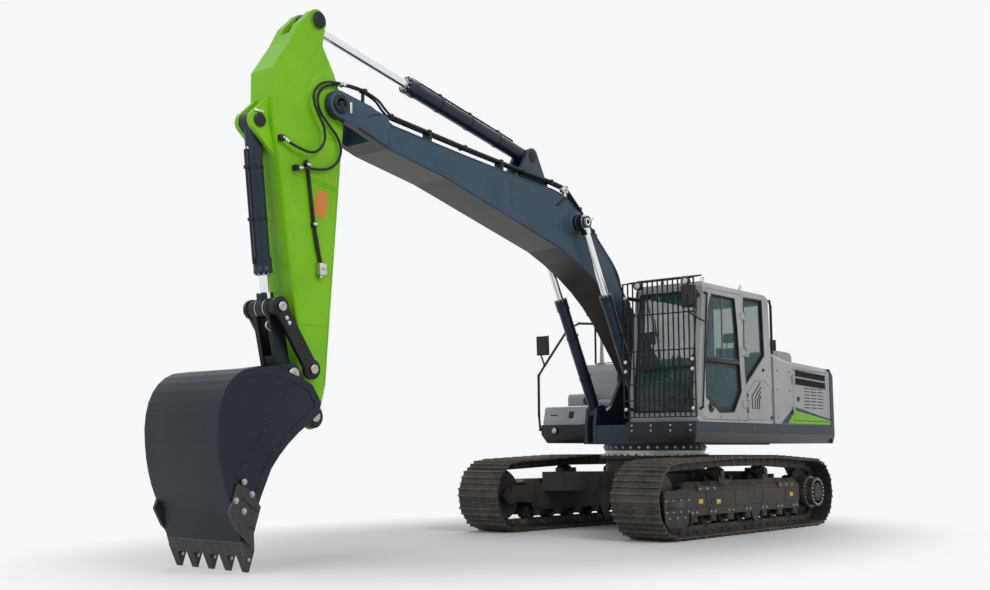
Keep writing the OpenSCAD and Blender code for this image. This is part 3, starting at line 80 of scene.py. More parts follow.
# Shader maths
class Wire:
    """A shader socket that the usual operators work on."""

    def __init__(self, bench: "ShaderBench", socket: bpy.types.NodeSocket) -> None:
        """Keep the socket and the bench that makes its nodes.

        Args:
            bench: The bench that holds the material's nodes.
            socket: The output socket to wrap.
        """
        self.bench = bench
        self.socket = socket

    def _math(self, operation: str, *values: Union["Wire", Number]) -> "Wire":
        """Return the result of one Math node.

        Args:
            operation: The Math node's operation.
            values: Its inputs, in order.

        Returns:
            The node's output.
        """
        return self.bench.node("ShaderNodeMath", {"operation": operation}, dict(enumerate(values)))

    def __add__(self, other: Union["Wire", Number]) -> "Wire":
        """Return self + other."""
        return self._math("ADD", self, other)

    __radd__ = __add__

    def __sub__(self, other: Union["Wire", Number]) -> "Wire":
        """Return self - other."""
        return self._math("SUBTRACT", self, other)

    def __rsub__(self, other: Union["Wire", Number]) -> "Wire":
        """Return other - self."""
        return self._math("SUBTRACT", other, self)

    def __mul__(self, other: Union["Wire", Number]) -> "Wire":
        """Return self * other."""
        return self._math("MULTIPLY", self, other)

    __rmul__ = __mul__

    def __truediv__(self, other: Union["Wire", Number]) -> "Wire":
        """Return self / other."""
        return self._math("DIVIDE", self, other)

    def power(self, exponent: Number) -> "Wire":
        """Return self raised to a power."""
        return self._math("POWER", self, exponent)

    def wave(self, frequency: Number) -> "Wire":
        """Return the sine of self times a frequency."""
        return self._math("SINE", self * frequency)

    def size(self) -> "Wire":
        """Return the absolute value."""
        return self._math("ABSOLUTE", self)

    def least(self, other: Union["Wire", Number]) -> "Wire":
        """Return the smaller of two values."""
        return self._math("MINIMUM", self, other)

    def ramp(self, low: Number, high: Number) -> "Wire":
        """Return 0 below low, 1 above high and a smooth rise between them.

        Args:
            low: The value that gives 0.
            high: The value that gives 1.

        Returns:
            The eased share.
        """
        return self.bench.node("ShaderNodeMapRange", {"interpolation_type": "SMOOTHSTEP"},
            {0: self, 1: low, 2: high})


class ShaderBench:
    """One material and the nodes that make it."""

    def __init__(self, name: str) -> None:
        """Start a material that has only its shader and its output.

        Args:
            name: The material's name.
        """
        self.material = bpy.data.materials.new(f"look_{name}")
        self.material.use_nodes = True
        self.tree = self.material.node_tree
        self.tree.nodes.clear()
        self.shader = self.tree.nodes.new("ShaderNodeBsdfPrincipled")
        output = self.tree.nodes.new("ShaderNodeOutputMaterial")
        self.tree.links.new(self.shader.outputs[0], output.inputs[0])

    def feed(self, socket: bpy.types.NodeSocket, value: Union[Wire, Number, Sequence[float]]) -> None:
        """Link a wire to a socket, or set a plain value there.

        Args:
            socket: The input socket.
            value: A wire, a number, a colour or a vector.
        """
        if isinstance(value, Wire):
            self.tree.links.new(value.socket, socket)
        elif isinstance(value, (int, float)):
            socket.default_value = value
        else:
            size = len(socket.default_value)
            socket.default_value = (tuple(value) + (1.0,))[:size]

    def node(self, kind: str, settings: Optional[dict] = None, sockets: Optional[dict] = None,
            out: Union[int, str] = 0) -> Wire:
        """Make a node, set it up and return one of its outputs.

        Args:
            kind: The node's type.
            settings: Its properties, set before its sockets.
            sockets: Values or wires by socket number or name.
            out: The output to return.

        Returns:
            The chosen output.
        """
        made = self.tree.nodes.new(kind)
        for key, value in (settings or {}).items():
            setattr(made, key, value)
        for key, value in (sockets or {}).items():
            self.feed(made.inputs[key], value)
        return Wire(self, made.outputs[out])

    def place(self) -> Wire:
        """Return the point's object coordinates."""
        return self.node("ShaderNodeTexCoord", out="Object")

    def axis(self, name: str) -> Wire:
        """Return one of the point's object coordinates.

        Args:
            name: X, Y or Z.

        Returns:
            That coordinate, in metres.
        """
        return self.node("ShaderNodeSeparateXYZ", sockets={0: self.place()}, out=name)

    def stretched(self, scale: Point) -> Wire:
        """Return object coordinates scaled by an amount along each axis."""
        return self.node("ShaderNodeMapping", sockets={"Vector": self.place(), "Scale": scale})

    def noise(self, scale: float, detail: float = 4.0, rough: float = 0.55,
            coords: Optional[Wire] = None) -> Wire:
        """Return a noise from 0 to 1.

        Args:
            scale: Its scale, in cycles per metre.
            detail: How many finer layers it has.
            rough: How strong the finer layers are.
            coords: Where it reads, or the object coordinates.

        Returns:
            The noise.
        """
        sockets = {"Vector": coords or self.place(), "Scale": scale, "Detail": detail, "Roughness": rough}
        return self.node("ShaderNodeTexNoise", sockets=sockets)

    def blend(self, share: Union[Wire, Number], low: Union[Wire, Point], high: Union[Wire, Point]) -> Wire:
        """Return a colour between two colours."""
        settings = {"data_type": "RGBA", "clamp_factor": True}
        return self.node("ShaderNodeMix", settings, {0: share, 6: low, 7: high}, out=2)

    def rounded_edges(self, radius: float) -> Wire:
        """Return a normal that rounds the sharp edges off."""
        return self.node("ShaderNodeBevel", {"samples": 4}, {"Radius": radius})

    def edge_mask(self, radius: float) -> Wire:
        """Return 1 on sharp edges and 0 on flat faces.

        Args:
            radius: How far the mask reaches from an edge.

        Returns:
            The mask.
        """
        soft = self.rounded_edges(radius)
        flat = self.node("ShaderNodeNewGeometry", out="Normal")
        dot = self.node("ShaderNodeVectorMath", {"operation": "DOT_PRODUCT"}, {0: soft, 1: flat},
            out="Value")
        return (1 - dot).ramp(0.01, 0.12)

    def upward(self) -> Wire:
        """Return how far the surface faces up, from 0 to 1."""
        flat = self.node("ShaderNodeNewGeometry", out="Normal")
        return self.node("ShaderNodeSeparateXYZ", sockets={0: flat}, out="Z").ramp(0.2, 0.95)

    def downward(self) -> Wire:
        """Return how far the surface faces down, from 0 to 1."""
        flat = self.node("ShaderNodeNewGeometry", out="Normal")
        return (self.node("ShaderNodeSeparateXYZ", sockets={0: flat}, out="Z") * -1).ramp(0.12, 0.6)

    def bump(self, height: Wire, distance: float, strength: float = 1.0,
            normal: Optional[Wire] = None) -> Wire:
        """Return a normal that a height moves.

        Args:
            height: The height, from 0 to 1.
            distance: What a height of 1 is, in metres.
            strength: The share of it that shows.
            normal: The normal that it starts from.

        Returns:
            The new normal.
        """
        sockets = {"Height": height, "Distance": distance, "Strength": strength}
        if normal is not None:
            sockets["Normal"] = normal
        return self.node("ShaderNodeBump", sockets=sockets)

    def finish(self, **sockets: Union[Wire, Number, Sequence[float]]) -> bpy.types.Material:
        """Feed the shader and return the material.

        Args:
            sockets: Values or wires by socket name, with _ for a space.

        Returns:
            The finished material.
        """
        for key, value in sockets.items():
            self.feed(self.shader.inputs[key.replace("_", " ")], value)
        return self.material


def linear(red: int, green: int, blue: int) -> tuple:
    """Return a colour of a picture, from 0 to 255, as the shader's own values.

    Args:
        red: The red part.
        green: The green part.
        blue: The blue part.

    Returns:
        The three values, from 0 to 1.
    """

    def channel(value: float) -> float:
        """Return one channel."""
        return value / 12.92 if value <= 0.04045 else ((value + 0.055) / 1.055) ** 2.4

    return tuple(channel(part / 255) for part in (red, green, blue))


# Finishes
@dataclass(frozen=True)
class Paint:
    """Sprayed paint with dust, soft edges, a little wear and, where set, painted shade on faces that look
    down.
    """

    name: str
    colour: tuple
    roughness: float = 0.38
    coat: float = 0.25
    dust: float = 0.25
    dust_colour: tuple = (0.19, 0.15, 0.11)
    chips: float = 0.5
    bare: tuple = (0.16, 0.15, 0.14)
    edge: float = 0.006
    lower: Optional[tuple] = None
    split: float = 0.0
    # painted shade: how far faces that look down are darkened
    underside_shade: float = 0.0

    def make(self) -> bpy.types.Material:
        """Return the paint's material.

        Returns:
            The material.
        """
        bench = ShaderBench(self.name)
        cloud = bench.noise(1.3, 5, 0.6)
        streak = bench.noise(5.0, 5, 0.65, bench.stretched((1.0, 1.0, 0.22)))
        grain = bench.noise(90.0, 3, 0.6)
        chips = bench.edge_mask(self.edge) * bench.noise(22.0, 5, 0.7).ramp(0.5, 0.64) * self.chips
        low = (1 - bench.axis("Z").ramp(0.3, 2.6)) * 0.6 + bench.upward() * 0.4
        dust = (cloud.ramp(0.32, 0.72) * 0.6 + streak.ramp(0.42, 0.75) * 0.7) * (low + 0.18) * self.dust
        shade = tuple(part * 0.86 for part in self.colour)
        light = tuple(min(1.0, part * 1.07 + 0.004) for part in self.colour)
        body = bench.blend(cloud.ramp(0.3, 0.7), shade, light)
        if self.lower is not None:
            body = bench.blend(bench.axis("Z").ramp(self.split - 0.002, self.split + 0.002), self.lower,
                body)
        # Painted shade: faces that look down are darkened towards a near-black brown made from the dust
        # colour, standing in for the shade under the part.
        if self.underside_shade:
            body = bench.blend(bench.downward() * self.underside_shade, body,
                tuple(part * 0.2 for part in self.dust_colour))
        dusty = bench.blend(dust, body, self.dust_colour)
        worn = bench.blend(chips, dusty, self.bare)
        rough = dust * 0.5 + chips * 0.12 + streak * 0.08 + (self.roughness - 0.04)
        height = grain * 0.35 + cloud * 0.65
        normal = bench.bump(height, 0.0006, 0.5, bench.rounded_edges(self.edge))
        return bench.finish(
            Base_Color=worn, Roughness=rough.least(0.95), Coat_Weight=(1 - dust.least(1.0)) * self.coat,
            Normal=normal, Coat_Roughness=0.12, Specular_IOR_Level=0.22,
        )


@dataclass(frozen=True)
class TrackSteel:
    """Cast and rolled steel that runs in soil: dark, with dry soil and bare ribs."""

    name: str
    colour: tuple = (0.012, 0.012, 0.013)
    soil: tuple = (0.17, 0.12, 0.08)
    bare: tuple = (0.30, 0.25, 0.19)
    soil_share: float = 0.5
    bare_share: float = 0.8
    edge: float = 0.006

    def make(self) -> bpy.types.Material:
        """Return the steel's material.

        Returns:
            The material.
        """
        bench = ShaderBench(self.name)
        cloud = bench.noise(3.2, 6, 0.62)
        fine = bench.noise(34.0, 5, 0.65)
        speck = bench.noise(120.0, 3, 0.6)
        soil = (cloud.ramp(0.42, 0.68) * 0.7 + fine.ramp(0.5, 0.72) * 0.5) * self.soil_share
        rub = bench.edge_mask(self.edge) * (fine.ramp(0.32, 0.6) * 0.7 + 0.3) * self.bare_share
        dark = bench.blend(fine.ramp(0.3, 0.7), self.colour,
            tuple(part * 1.9 + 0.006 for part in self.colour))
        soiled = bench.blend(soil.least(1.0), dark, self.soil)
        colour = bench.blend(rub, soiled, self.bare)
        rough = soil * 0.35 + speck * 0.1 + (0.5 - rub * 0.14)
        normal = bench.bump(fine * 0.6 + speck * 0.4, 0.0022, 0.7, bench.rounded_edges(self.edge))
        return bench.finish(Base_Color=colour, Roughness=rough.least(0.95), Metallic=rub * 0.6,
            Normal=normal)


@dataclass(frozen=True)
class BareMetal:
    """Machined or plated metal."""

    name: str
    colour: tuple
    roughness: float = 0.25
    grain: tuple = (1.0, 1.0, 1.0)
    film: float = 0.3
    edge: float = 0.003

    def make(self) -> bpy.types.Material:
        """Return the metal's material.

        Returns:
            The material.
        """
        bench = ShaderBench(self.name)
        lines = bench.noise(160.0, 2, 0.5, bench.stretched(self.grain))
        stain = bench.noise(4.0, 5, 0.65).ramp(0.45, 0.8) * self.film
        dark = tuple(part * 0.45 for part in self.colour)
        colour = bench.blend(stain, self.colour, dark)
        normal = bench.bump(lines, 0.0003, 0.35, bench.rounded_edges(self.edge))
        rough = lines * 0.08 + stain * 0.3 + (self.roughness - 0.04)
        return bench.finish(Base_Color=colour, Roughness=rough, Metallic=1.0, Normal=normal)


@dataclass(frozen=True)
class Rubber:
    """Rubber or soft dark plastic."""

    name: str
    colour: tuple = (0.012, 0.012, 0.013)
    roughness: float = 0.55

    def make(self) -> bpy.types.Material:
        """Return the rubber's material.

        Returns:
            The material.
        """
        bench = ShaderBench(self.name)
        cloud = bench.noise(9.0, 4, 0.6)
        fine = bench.noise(260.0, 3, 0.6)
        pale = tuple(part * 2.2 + 0.006 for part in self.colour)
        colour = bench.blend(cloud.ramp(0.35, 0.75), self.colour, pale)
        normal = bench.bump(fine, 0.0005, 0.5, bench.rounded_edges(0.002))
        return bench.finish(Base_Color=colour, Roughness=cloud * 0.14 + (self.roughness - 0.07),
            Normal=normal, Specular_IOR_Level=0.25)


@dataclass(frozen=True)
class Cloth:
    """Woven seat cloth."""

    name: str
    colour: tuple
    thread: float = 900.0

    def make(self) -> bpy.types.Material:
        """Return the cloth's material.

        Returns:
            The material.
        """
        bench = ShaderBench(self.name)
        along = bench.axis("Y").wave(self.thread)
        across = (bench.axis("X") + bench.axis("Z")).wave(self.thread)
        weave = (along * across) * 0.5 + 0.5
        fade = bench.noise(7.0, 4, 0.6).ramp(0.3, 0.75)
        dark = tuple(part * 0.6 for part in self.colour)
        colour = bench.blend(weave * 0.5 + fade * 0.5, dark, self.colour)
        normal = bench.bump(weave, 0.0012, 0.6)
        return bench.finish(Base_Color=colour, Roughness=0.92 - weave * 0.1, Normal=normal,
            Sheen_Weight=0.25)


@dataclass(frozen=True)
class Pane:
    """Tinted window glass."""

    name: str
    colour: tuple = (0.02, 0.11, 0.12)
    alpha: float = 0.3

    def make(self) -> bpy.types.Material:
        """Return the glass's material.

        Returns:
            The material.
        """
        bench = ShaderBench(self.name)
        film = bench.noise(2.6, 5, 0.65, bench.stretched((1.0, 1.0, 0.4))).ramp(0.4, 0.8)
        pale = tuple(part * 1.5 + 0.02 for part in self.colour)
        colour = bench.blend(film * 0.5, self.colour, pale)
        return bench.finish(Base_Color=colour, Roughness=film * 0.05 + 0.03, Alpha=film * 0.1 + self.alpha,
            IOR=1.5)


@dataclass(frozen=True)
class Lens:
    """Ribbed lamp glass over a bright reflector."""

    name: str
    colour: tuple = (0.62, 0.66, 0.68)

    def make(self) -> bpy.types.Material:
        """Return the lens's material.

        Returns:
            The material.
        """
        bench = ShaderBench(self.name)
        ribs = bench.axis("Y").wave(420.0) * 0.5 + 0.5
        shade = tuple(part * 0.55 for part in self.colour)
        colour = bench.blend(ribs.ramp(0.2, 0.9), shade, self.colour)
        normal = bench.bump(ribs, 0.0015, 0.8)
        return bench.finish(Base_Color=colour, Roughness=0.12 + ribs * 0.08, Metallic=0.35, Normal=normal)


@dataclass(frozen=True)
class Label:
    """Blank film label, faded by the weather."""

    name: str
    colour: tuple

    def make(self) -> bpy.types.Material:
        """Return the label's material.

        Returns:
            The material.
        """
        bench = ShaderBench(self.name)
        fade = bench.noise(30.0, 5, 0.65).ramp(0.4, 0.75)
        worn = tuple(part * 0.7 + 0.05 for part in self.colour)
        colour = bench.blend(fade * 0.6, self.colour, worn)
        return bench.finish(Base_Color=colour, Roughness=fade * 0.2 + 0.4, Normal=bench.rounded_edges(0.001))


class Finish(Enum):
    """Every finish on the machine."""

    SLATE = Paint("slate_paint", linear(36, 54, 68), dust=0.1, chips=0.3, coat=0.08)
    # The boom's faces that look down get painted shade.
    BOOM = Paint("boom_paint", linear(52, 75, 92), dust=0.08, chips=0.2, coat=0.08, underside_shade=0.9)
    DECK = Paint("deck_paint", linear(24, 40, 54), dust=0.1, chips=0.3, coat=0.08, lower=linear(60, 63, 64),
        split=1.176)
    SLATE_DARK = Paint("dark_slate_paint", linear(24, 36, 48), dust=0.12, chips=0.3, coat=0.08)
    SILVER = Paint("silver_paint", linear(174, 175, 176), dust=0.06, chips=0.12, coat=0.15)
    LIME = Paint("lime_paint", linear(128, 196, 12), dust=0.03, chips=0.2, coat=0.12)
    BLACK = Paint("black_paint", linear(16, 22, 28), dust=0.1, chips=0.35, roughness=0.42, coat=0.1)
    NAVY = Paint("cylinder_paint", linear(18, 36, 52), dust=0.06, chips=0.25, roughness=0.32, coat=0.18)
    BUCKET = Paint("bucket_paint", linear(12, 27, 40), dust=0.08, chips=0.7, roughness=0.44, coat=0.08,
        bare=(0.2, 0.19, 0.18))
    FRAME = Paint("frame_paint", linear(33, 33, 35), dust=0.5, chips=0.5, roughness=0.5, coat=0.1)
    RED = Paint("red_paint", linear(170, 30, 24), dust=0.1, chips=0.2)
    TRACK = TrackSteel("track_steel")
    RIB = TrackSteel("rib_steel", soil_share=0.9, bare_share=1.0, bare=(0.42, 0.33, 0.24))
    TOOTH = TrackSteel("tooth_steel", soil_share=0.25, bare_share=1.0, bare=(0.30, 0.28, 0.26))
    STEEL = BareMetal("machined_steel", (0.42, 0.41, 0.39), 0.34)
    CHROME = BareMetal("rod_chrome", (0.80, 0.81, 0.82), 0.12, film=0.1)
    FITTING = BareMetal("zinc_fittings", (0.60, 0.59, 0.55), 0.3, film=0.35)
    HOSE = Rubber("hose_rubber")
    SEAL = Rubber("window_seal", roughness=0.45)
    PLASTIC = Rubber("moulded_plastic", colour=(0.02, 0.02, 0.022), roughness=0.5)
    GREY_PLASTIC = Rubber("grey_plastic", colour=(0.09, 0.09, 0.09), roughness=0.55)
    SEAT = Cloth("seat_cloth", linear(52, 62, 50))
    GLASS = Pane("tinted_glass")
    LENS = Lens("lamp_lens")
    YELLOW_LABEL = Label("yellow_label", linear(226, 190, 40))
    ORANGE_LABEL = Label("orange_label", linear(222, 130, 40))

    @property
    def material(self) -> bpy.types.Material:
        """The finish's material, made when it is first asked for."""
        found = bpy.data.materials.get(f"look_{self.value.name}")
        return found if found is not None else self.value.make()


# Workshop
class Axis(Enum):
    """The axis that a flat outline is drawn across, and how its two numbers are read."""

    X = "outline is y, z"
    Y = "outline is x, z"
    Z = "outline is x, y"

    def point(self, first: float, second: float, depth: float) -> Vector:
        """Return the point at an outline's two numbers and a depth along the axis.

        Args:
            first: The outline's first number.
            second: Its second number.
            depth: The place along the axis.

        Returns:
            The point.
        """
        if self is Axis.X:
            return Vector((depth, first, second))
        if self is Axis.Y:
            return Vector((first, depth, second))
        return Vector((first, second, depth))


class Workshop:
    """Tools that model a piece from primitives, in the machine's own frame."""

    def __init__(self, frame: dict) -> None:
        """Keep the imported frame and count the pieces.
        """
        self.frame = frame
        self.count = 0

    @staticmethod
    def pick(*objects: bpy.types.Object) -> None:
        """Select only these objects, the first one active.

        Args:
            objects: The objects.
        """
        bpy.ops.object.select_all(action="DESELECT")
        for one in objects:
            one.select_set(True)
        bpy.context.view_layer.objects.active = objects[0]

    def settle(self, name: str) -> bpy.types.Object:
        """Name the object that was just added and put its place into its mesh.

        Args:
            name: Its name.

        Returns:
            The piece.
        """
        piece = bpy.context.active_object
        piece.name = name
        piece.data.name = name
        bpy.ops.object.transform_apply(location=True, rotation=True, scale=True)
        return piece

    def bevel(self, piece: bpy.types.Object, width: float, segments: int = 2,
            angle: float = 30.0) -> bpy.types.Object:
        """Round a piece's edges with a modifier that is applied.

        Args:
            piece: The piece.
            width: The bevel's width.
            segments: How many faces it has.
            angle: The least angle between two faces that gets it, in degrees.

        Returns:
            The piece.
        """
        if width <= 0:
            return piece
        self.pick(piece)
        made = piece.modifiers.new("round", "BEVEL")
        made.width = width
        made.segments = segments
        made.limit_method = "ANGLE"
        made.angle_limit = math.radians(angle)
        made.harden_normals = False
        bpy.ops.object.modifier_apply(modifier=made.name)
        return piece

    def block(self, name: str, low: Point, high: Point, bevel: float = 0.004) -> bpy.types.Object:
        """Model a rounded block from one corner to the other.

        Args:
            name: Its name.
            low: Its lowest corner.
            high: Its highest corner.
            bevel: How far its edges are rounded.

        Returns:
            The block.
        """
        low, high = Vector(low), Vector(high)
        bpy.ops.object.select_all(action="DESELECT")
        bpy.ops.mesh.primitive_cube_add(size=1, location=(low + high) / 2)
        bpy.context.active_object.scale = high - low
        return self.bevel(self.settle(name), bevel)

    def plate(self, name: str, outline: Sequence[Point], axis: Axis, start: float, end: float,
            bevel: float = 0.003) -> bpy.types.Object:
        """Model a plate from its outline.

        Args:
            name: Its name.
            outline: Its corners, in order.
            axis: The axis across the plate.
            start: Where the plate begins on that axis.
            end: Where it ends.
            bevel: How far its edges are rounded.

        Returns:
            The plate.
        """
        bpy.ops.object.select_all(action="DESELECT")
        bpy.ops.mesh.primitive_circle_add(vertices=len(outline), fill_type="NGON")
        piece = self.settle(name)
        for vertex, corner in zip(piece.data.vertices, outline):
            vertex.co = axis.point(corner[0], corner[1], start)
        bpy.ops.object.mode_set(mode="EDIT")
        bpy.ops.mesh.select_all(action="SELECT")
        travel = axis.point(0, 0, end - start)
        bpy.ops.mesh.extrude_region_move(TRANSFORM_OT_translate={"value": travel})
        bpy.ops.mesh.select_all(action="SELECT")
        bpy.ops.mesh.normals_make_consistent(inside=False)
        bpy.ops.object.mode_set(mode="OBJECT")
        return self.bevel(piece, bevel)

    def rod(self, name: str, start: Point, end: Point, radius: float, sides: int = 24,
            bevel: float = 0.0) -> bpy.types.Object:
        """Model a round bar between two points.

        Args:
            name: Its name.
            start: The middle of one end.
            end: The middle of the other.
            radius: Its radius.
            sides: How many sides it has.
            bevel: How far its ends are rounded.

        Returns:
            The bar.
        """
        start, end = Vector(start), Vector(end)
        turn = (end - start).to_track_quat("Z", "Y").to_euler()
        bpy.ops.object.select_all(action="DESELECT")
        bpy.ops.mesh.primitive_cylinder_add(vertices=sides, radius=radius, depth=(end - start).length,
            location=(start + end) / 2, rotation=turn)
        return self.bevel(self.settle(name), bevel, angle=50)

    def turned(self, name: str, start: Point, end: Point, profile: Sequence[Point],
            sides: int = 32) -> bpy.types.Object:
        """Model a turned piece by wrapping a grid round an axis.

        Args:
            name: Its name.
            start: Where the axis starts.
            end: Where it points to.
            profile: Distances along the axis and radii, in order, from 0 radius to 0 radius for closed ends.
            sides: How many sides it has.

        Returns:
            The turned piece.
        """
        start = Vector(start)
        turn = (Vector(end) - start).to_track_quat("Z", "Y").to_matrix()
        rows = len(profile) - 1
        bpy.ops.object.select_all(action="DESELECT")
        bpy.ops.mesh.primitive_grid_add(x_subdivisions=rows, y_subdivisions=sides, size=1)
        piece = self.settle(name)
        for vertex in piece.data.vertices:
            row = round((vertex.co.x + 0.5) * rows)
            angle = (vertex.co.y + 0.5) * math.tau
            along, radius = profile[row]
            vertex.co = start + turn @ Vector((radius * math.cos(angle), radius * math.sin(angle), along))
        bpy.ops.object.mode_set(mode="EDIT")
        bpy.ops.mesh.select_all(action="SELECT")
        bpy.ops.mesh.remove_doubles(threshold=1e-5)
        bpy.ops.mesh.normals_make_consistent(inside=False)
        bpy.ops.object.mode_set(mode="OBJECT")
        return piece

    def on_pin(self, name: str, pin: Point, start: float, profile: Sequence[Point],
            sides: int = 32) -> bpy.types.Object:
        """Model a turned piece about an axis across the machine, pointed away from its middle.

        Args:
            name: Its name.
            pin: The axis, as x and z.
            start: Where the profile starts across the machine.
            profile: Distances along the axis and radii, in order.
            sides: How many sides it has.

        Returns:
            The turned piece.
        """
        x, z = pin
        return self.turned(name, (x, start, z), (x, math.copysign(2, start), z), profile, sides)

    def tube(self, name: str, route: Sequence[Point], radius: float, smooth: bool = True,
            sides: int = 3) -> bpy.types.Object:
        """Model a bent tube or a hose along a route.

        Args:
            name: Its name.
            route: The points that it runs through.
            radius: Its radius.
            smooth: True for a hose's curve, and False for straight runs.
            sides: The curve's bevel resolution.

        Returns:
            The tube, as a mesh.
        """
        bpy.ops.object.select_all(action="DESELECT")
        bpy.ops.curve.primitive_bezier_curve_add()
        curve = bpy.context.active_object
        curve.data.splines.clear()
        spline = curve.data.splines.new("NURBS" if smooth else "POLY")
        spline.points.add(len(route) - 1)
        for point, place in zip(spline.points, route):
            point.co = (*place, 1.0)
        if smooth:
            spline.order_u = min(4, len(route))
            spline.use_endpoint_u = True
            spline.resolution_u = 10
        curve.data.dimensions = "3D"
        curve.data.bevel_depth = radius
        curve.data.bevel_resolution = sides
        curve.data.use_fill_caps = True
        bpy.ops.object.convert(target="MESH")
        return self.settle(name)

    def spun(self, name: str, middle: Point, across: Point, radius: float, thick: float,
            sides: int = 40) -> bpy.types.Object:
        """Model a round ring.

        Args:
            name: Its name.
            middle: Its middle.
            across: A vector along its axis.
            radius: From its axis to the middle of its section.
            thick: The radius of its section.
            sides: How many segments it has.

        Returns:
            The ring.
        """
        turn = Vector(across).to_track_quat("Z", "Y").to_euler()
        bpy.ops.object.select_all(action="DESELECT")
        bpy.ops.mesh.primitive_torus_add(major_radius=radius, minor_radius=thick, major_segments=sides,
            minor_segments=10, location=middle, rotation=turn)
        return self.settle(name)

    def cut(self, piece: bpy.types.Object, *tools: bpy.types.Object) -> bpy.types.Object:
        """Cut tools out of a piece and remove the tools.

        Args:
            piece: The piece.
            tools: The shapes that are cut out.

        Returns:
            The piece.
        """
        for tool in tools:
            self.pick(piece)
            made = piece.modifiers.new("cut", "BOOLEAN")
            made.operation = "DIFFERENCE"
            made.solver = "EXACT"
            made.object = tool
            bpy.ops.object.modifier_apply(modifier=made.name)
            bpy.data.objects.remove(tool)
        return piece

    def join(self, name: str, parts: Sequence[bpy.types.Object]) -> bpy.types.Object:
        """Join parts into one piece.

        Args:
            name: Its name.
            parts: The parts.

        Returns:
            The piece.
        """
        self.pick(*parts)
        if len(parts) > 1:
            bpy.ops.object.join()
        piece = bpy.context.active_object
        piece.name = name
        piece.data.name = name
        return piece

    def repeat(self, name: str, pattern: bpy.types.Object, places: Iterable[Matrix]) -> bpy.types.Object:
        """Copy a pattern to each place and join the copies.

        Args:
            name: The joined piece's name.
            pattern: The shape, modelled about the origin. It is removed.
            places: A matrix for each copy.

        Returns:
            The joined piece.
        """
        copies = []
        for place in places:
            twin = pattern.copy()
            twin.data = pattern.data.copy()
            twin.data.transform(place)
            bpy.context.scene.collection.objects.link(twin)
            copies.append(twin)
        bpy.data.objects.remove(pattern)
        return self.join(name, copies)

    def mirrored(self, piece: bpy.types.Object) -> bpy.types.Object:
        """Return a copy of a piece on the machine's other side.

        Args:
            piece: The piece.

        Returns:
            The piece.
        """
        twin = piece.copy()
        twin.data = piece.data.copy()
        bpy.context.scene.collection.objects.link(twin)
        twin.data.transform(Matrix.Scale(-1, 4, (0, 1, 0)))
        twin.data.flip_normals()
        return twin

    def bolt(self, name: str = "bolt", radius: float = 0.014, height: float = 0.010) -> bpy.types.Object:
        """Model a hexagon bolt head on its washer, standing up along +Z from the origin.

        Args:
            name: Its name.
            radius: The head's outer radius.
            height: The head's height.

        Returns:
            The bolt head.
        """
        washer = self.rod(name, (0, 0, -0.002), (0, 0, height * 0.3), radius * 1.35, 12)
        head = self.rod("head", (0, 0, height * 0.3), (0, 0, height * 1.3), radius, 6, radius * 0.12)
        return self.join(name, [washer, head])

    def bolts(self, radius: float, height: float, places: Iterable[Matrix],
            finish: Finish) -> bpy.types.Object:
        """Model one kind of bolt head at each place.

        Args:
            radius: The heads' outer radius.
            height: The heads' height.
            places: A matrix for each bolt.
            finish: Their finish.

        Returns:
            The joined bolts.
        """
        return self.dress(self.repeat("bolts", self.bolt(radius=radius, height=height), places), finish)

    @staticmethod
    def dress(piece: bpy.types.Object, finish: Finish) -> bpy.types.Object:
        """Give a whole shape one finish.

        Args:
            piece: The piece.
            finish: The finish.

        Returns:
            The piece.
        """
        piece.data.materials.clear()
        piece.data.materials.append(finish.material)
        return piece

    def ready(self, piece: bpy.types.Object, finish: Optional[Finish] = None,
            smooth: float = 35.0) -> bpy.types.Object:
        """Move a finished piece into the part's frame.

        Args:
            piece: The piece, in the machine's own frame.
            finish: Its finish, where it doesn't have one yet.
            smooth: The largest angle between faces that are shaded as one, in degrees.

        Returns:
            The piece.
        """
        if finish is not None:
            self.dress(piece, finish)
        piece.data.transform(Matrix.Translation((SLEW_X, 0, 0)))
        self.pick(piece)
        bpy.ops.object.shade_smooth_by_angle(angle=math.radians(smooth))
        self.count += 1
        LOG.info("piece %d: %s", self.count, piece.name)
        return piece

    def place(self, piece: bpy.types.Object, body: str, slot: str, finish: Optional[Finish] = None,
            smooth: float = 35.0) -> bpy.types.Object:
        """Move a finished piece into the part's frame and let it ride on a body.

        Args:
            piece: The piece, in the machine's own frame.
            body: The body that it moves with.
            slot: Not used.
            finish: Its finish, where it doesn't have one yet.
            smooth: The largest angle between faces that are shaded as one, in degrees.

        Returns:
            The piece.
        """
        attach(self.ready(piece, finish, smooth), body)
        LOG.info("piece %s rides on %s with %d faces", piece.name, body, len(piece.data.polygons))
        return piece

    def dress_nodes(self, finish: Finish, *names: str) -> None:
        """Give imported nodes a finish.

        Args:
            finish: The finish.
            names: The nodes.
        """
        for name in names:
            self.dress(self.frame["nodes"][name], finish)


def facing(place: Point, direction: Point, spin: float = 0.0) -> Matrix:
    """Return a matrix that stands a shape up along a direction at a place.

    Args:
        place: Where its origin goes.
        direction: Where its +Z points.
        spin: A turn about that direction, in radians.

    Returns:
        The matrix.
    """
    turn = Vector(direction).to_track_quat("Z", "Y").to_matrix().to_4x4()
    return Matrix.Translation(place) @ turn @ Matrix.Rotation(spin, 4, "Z")


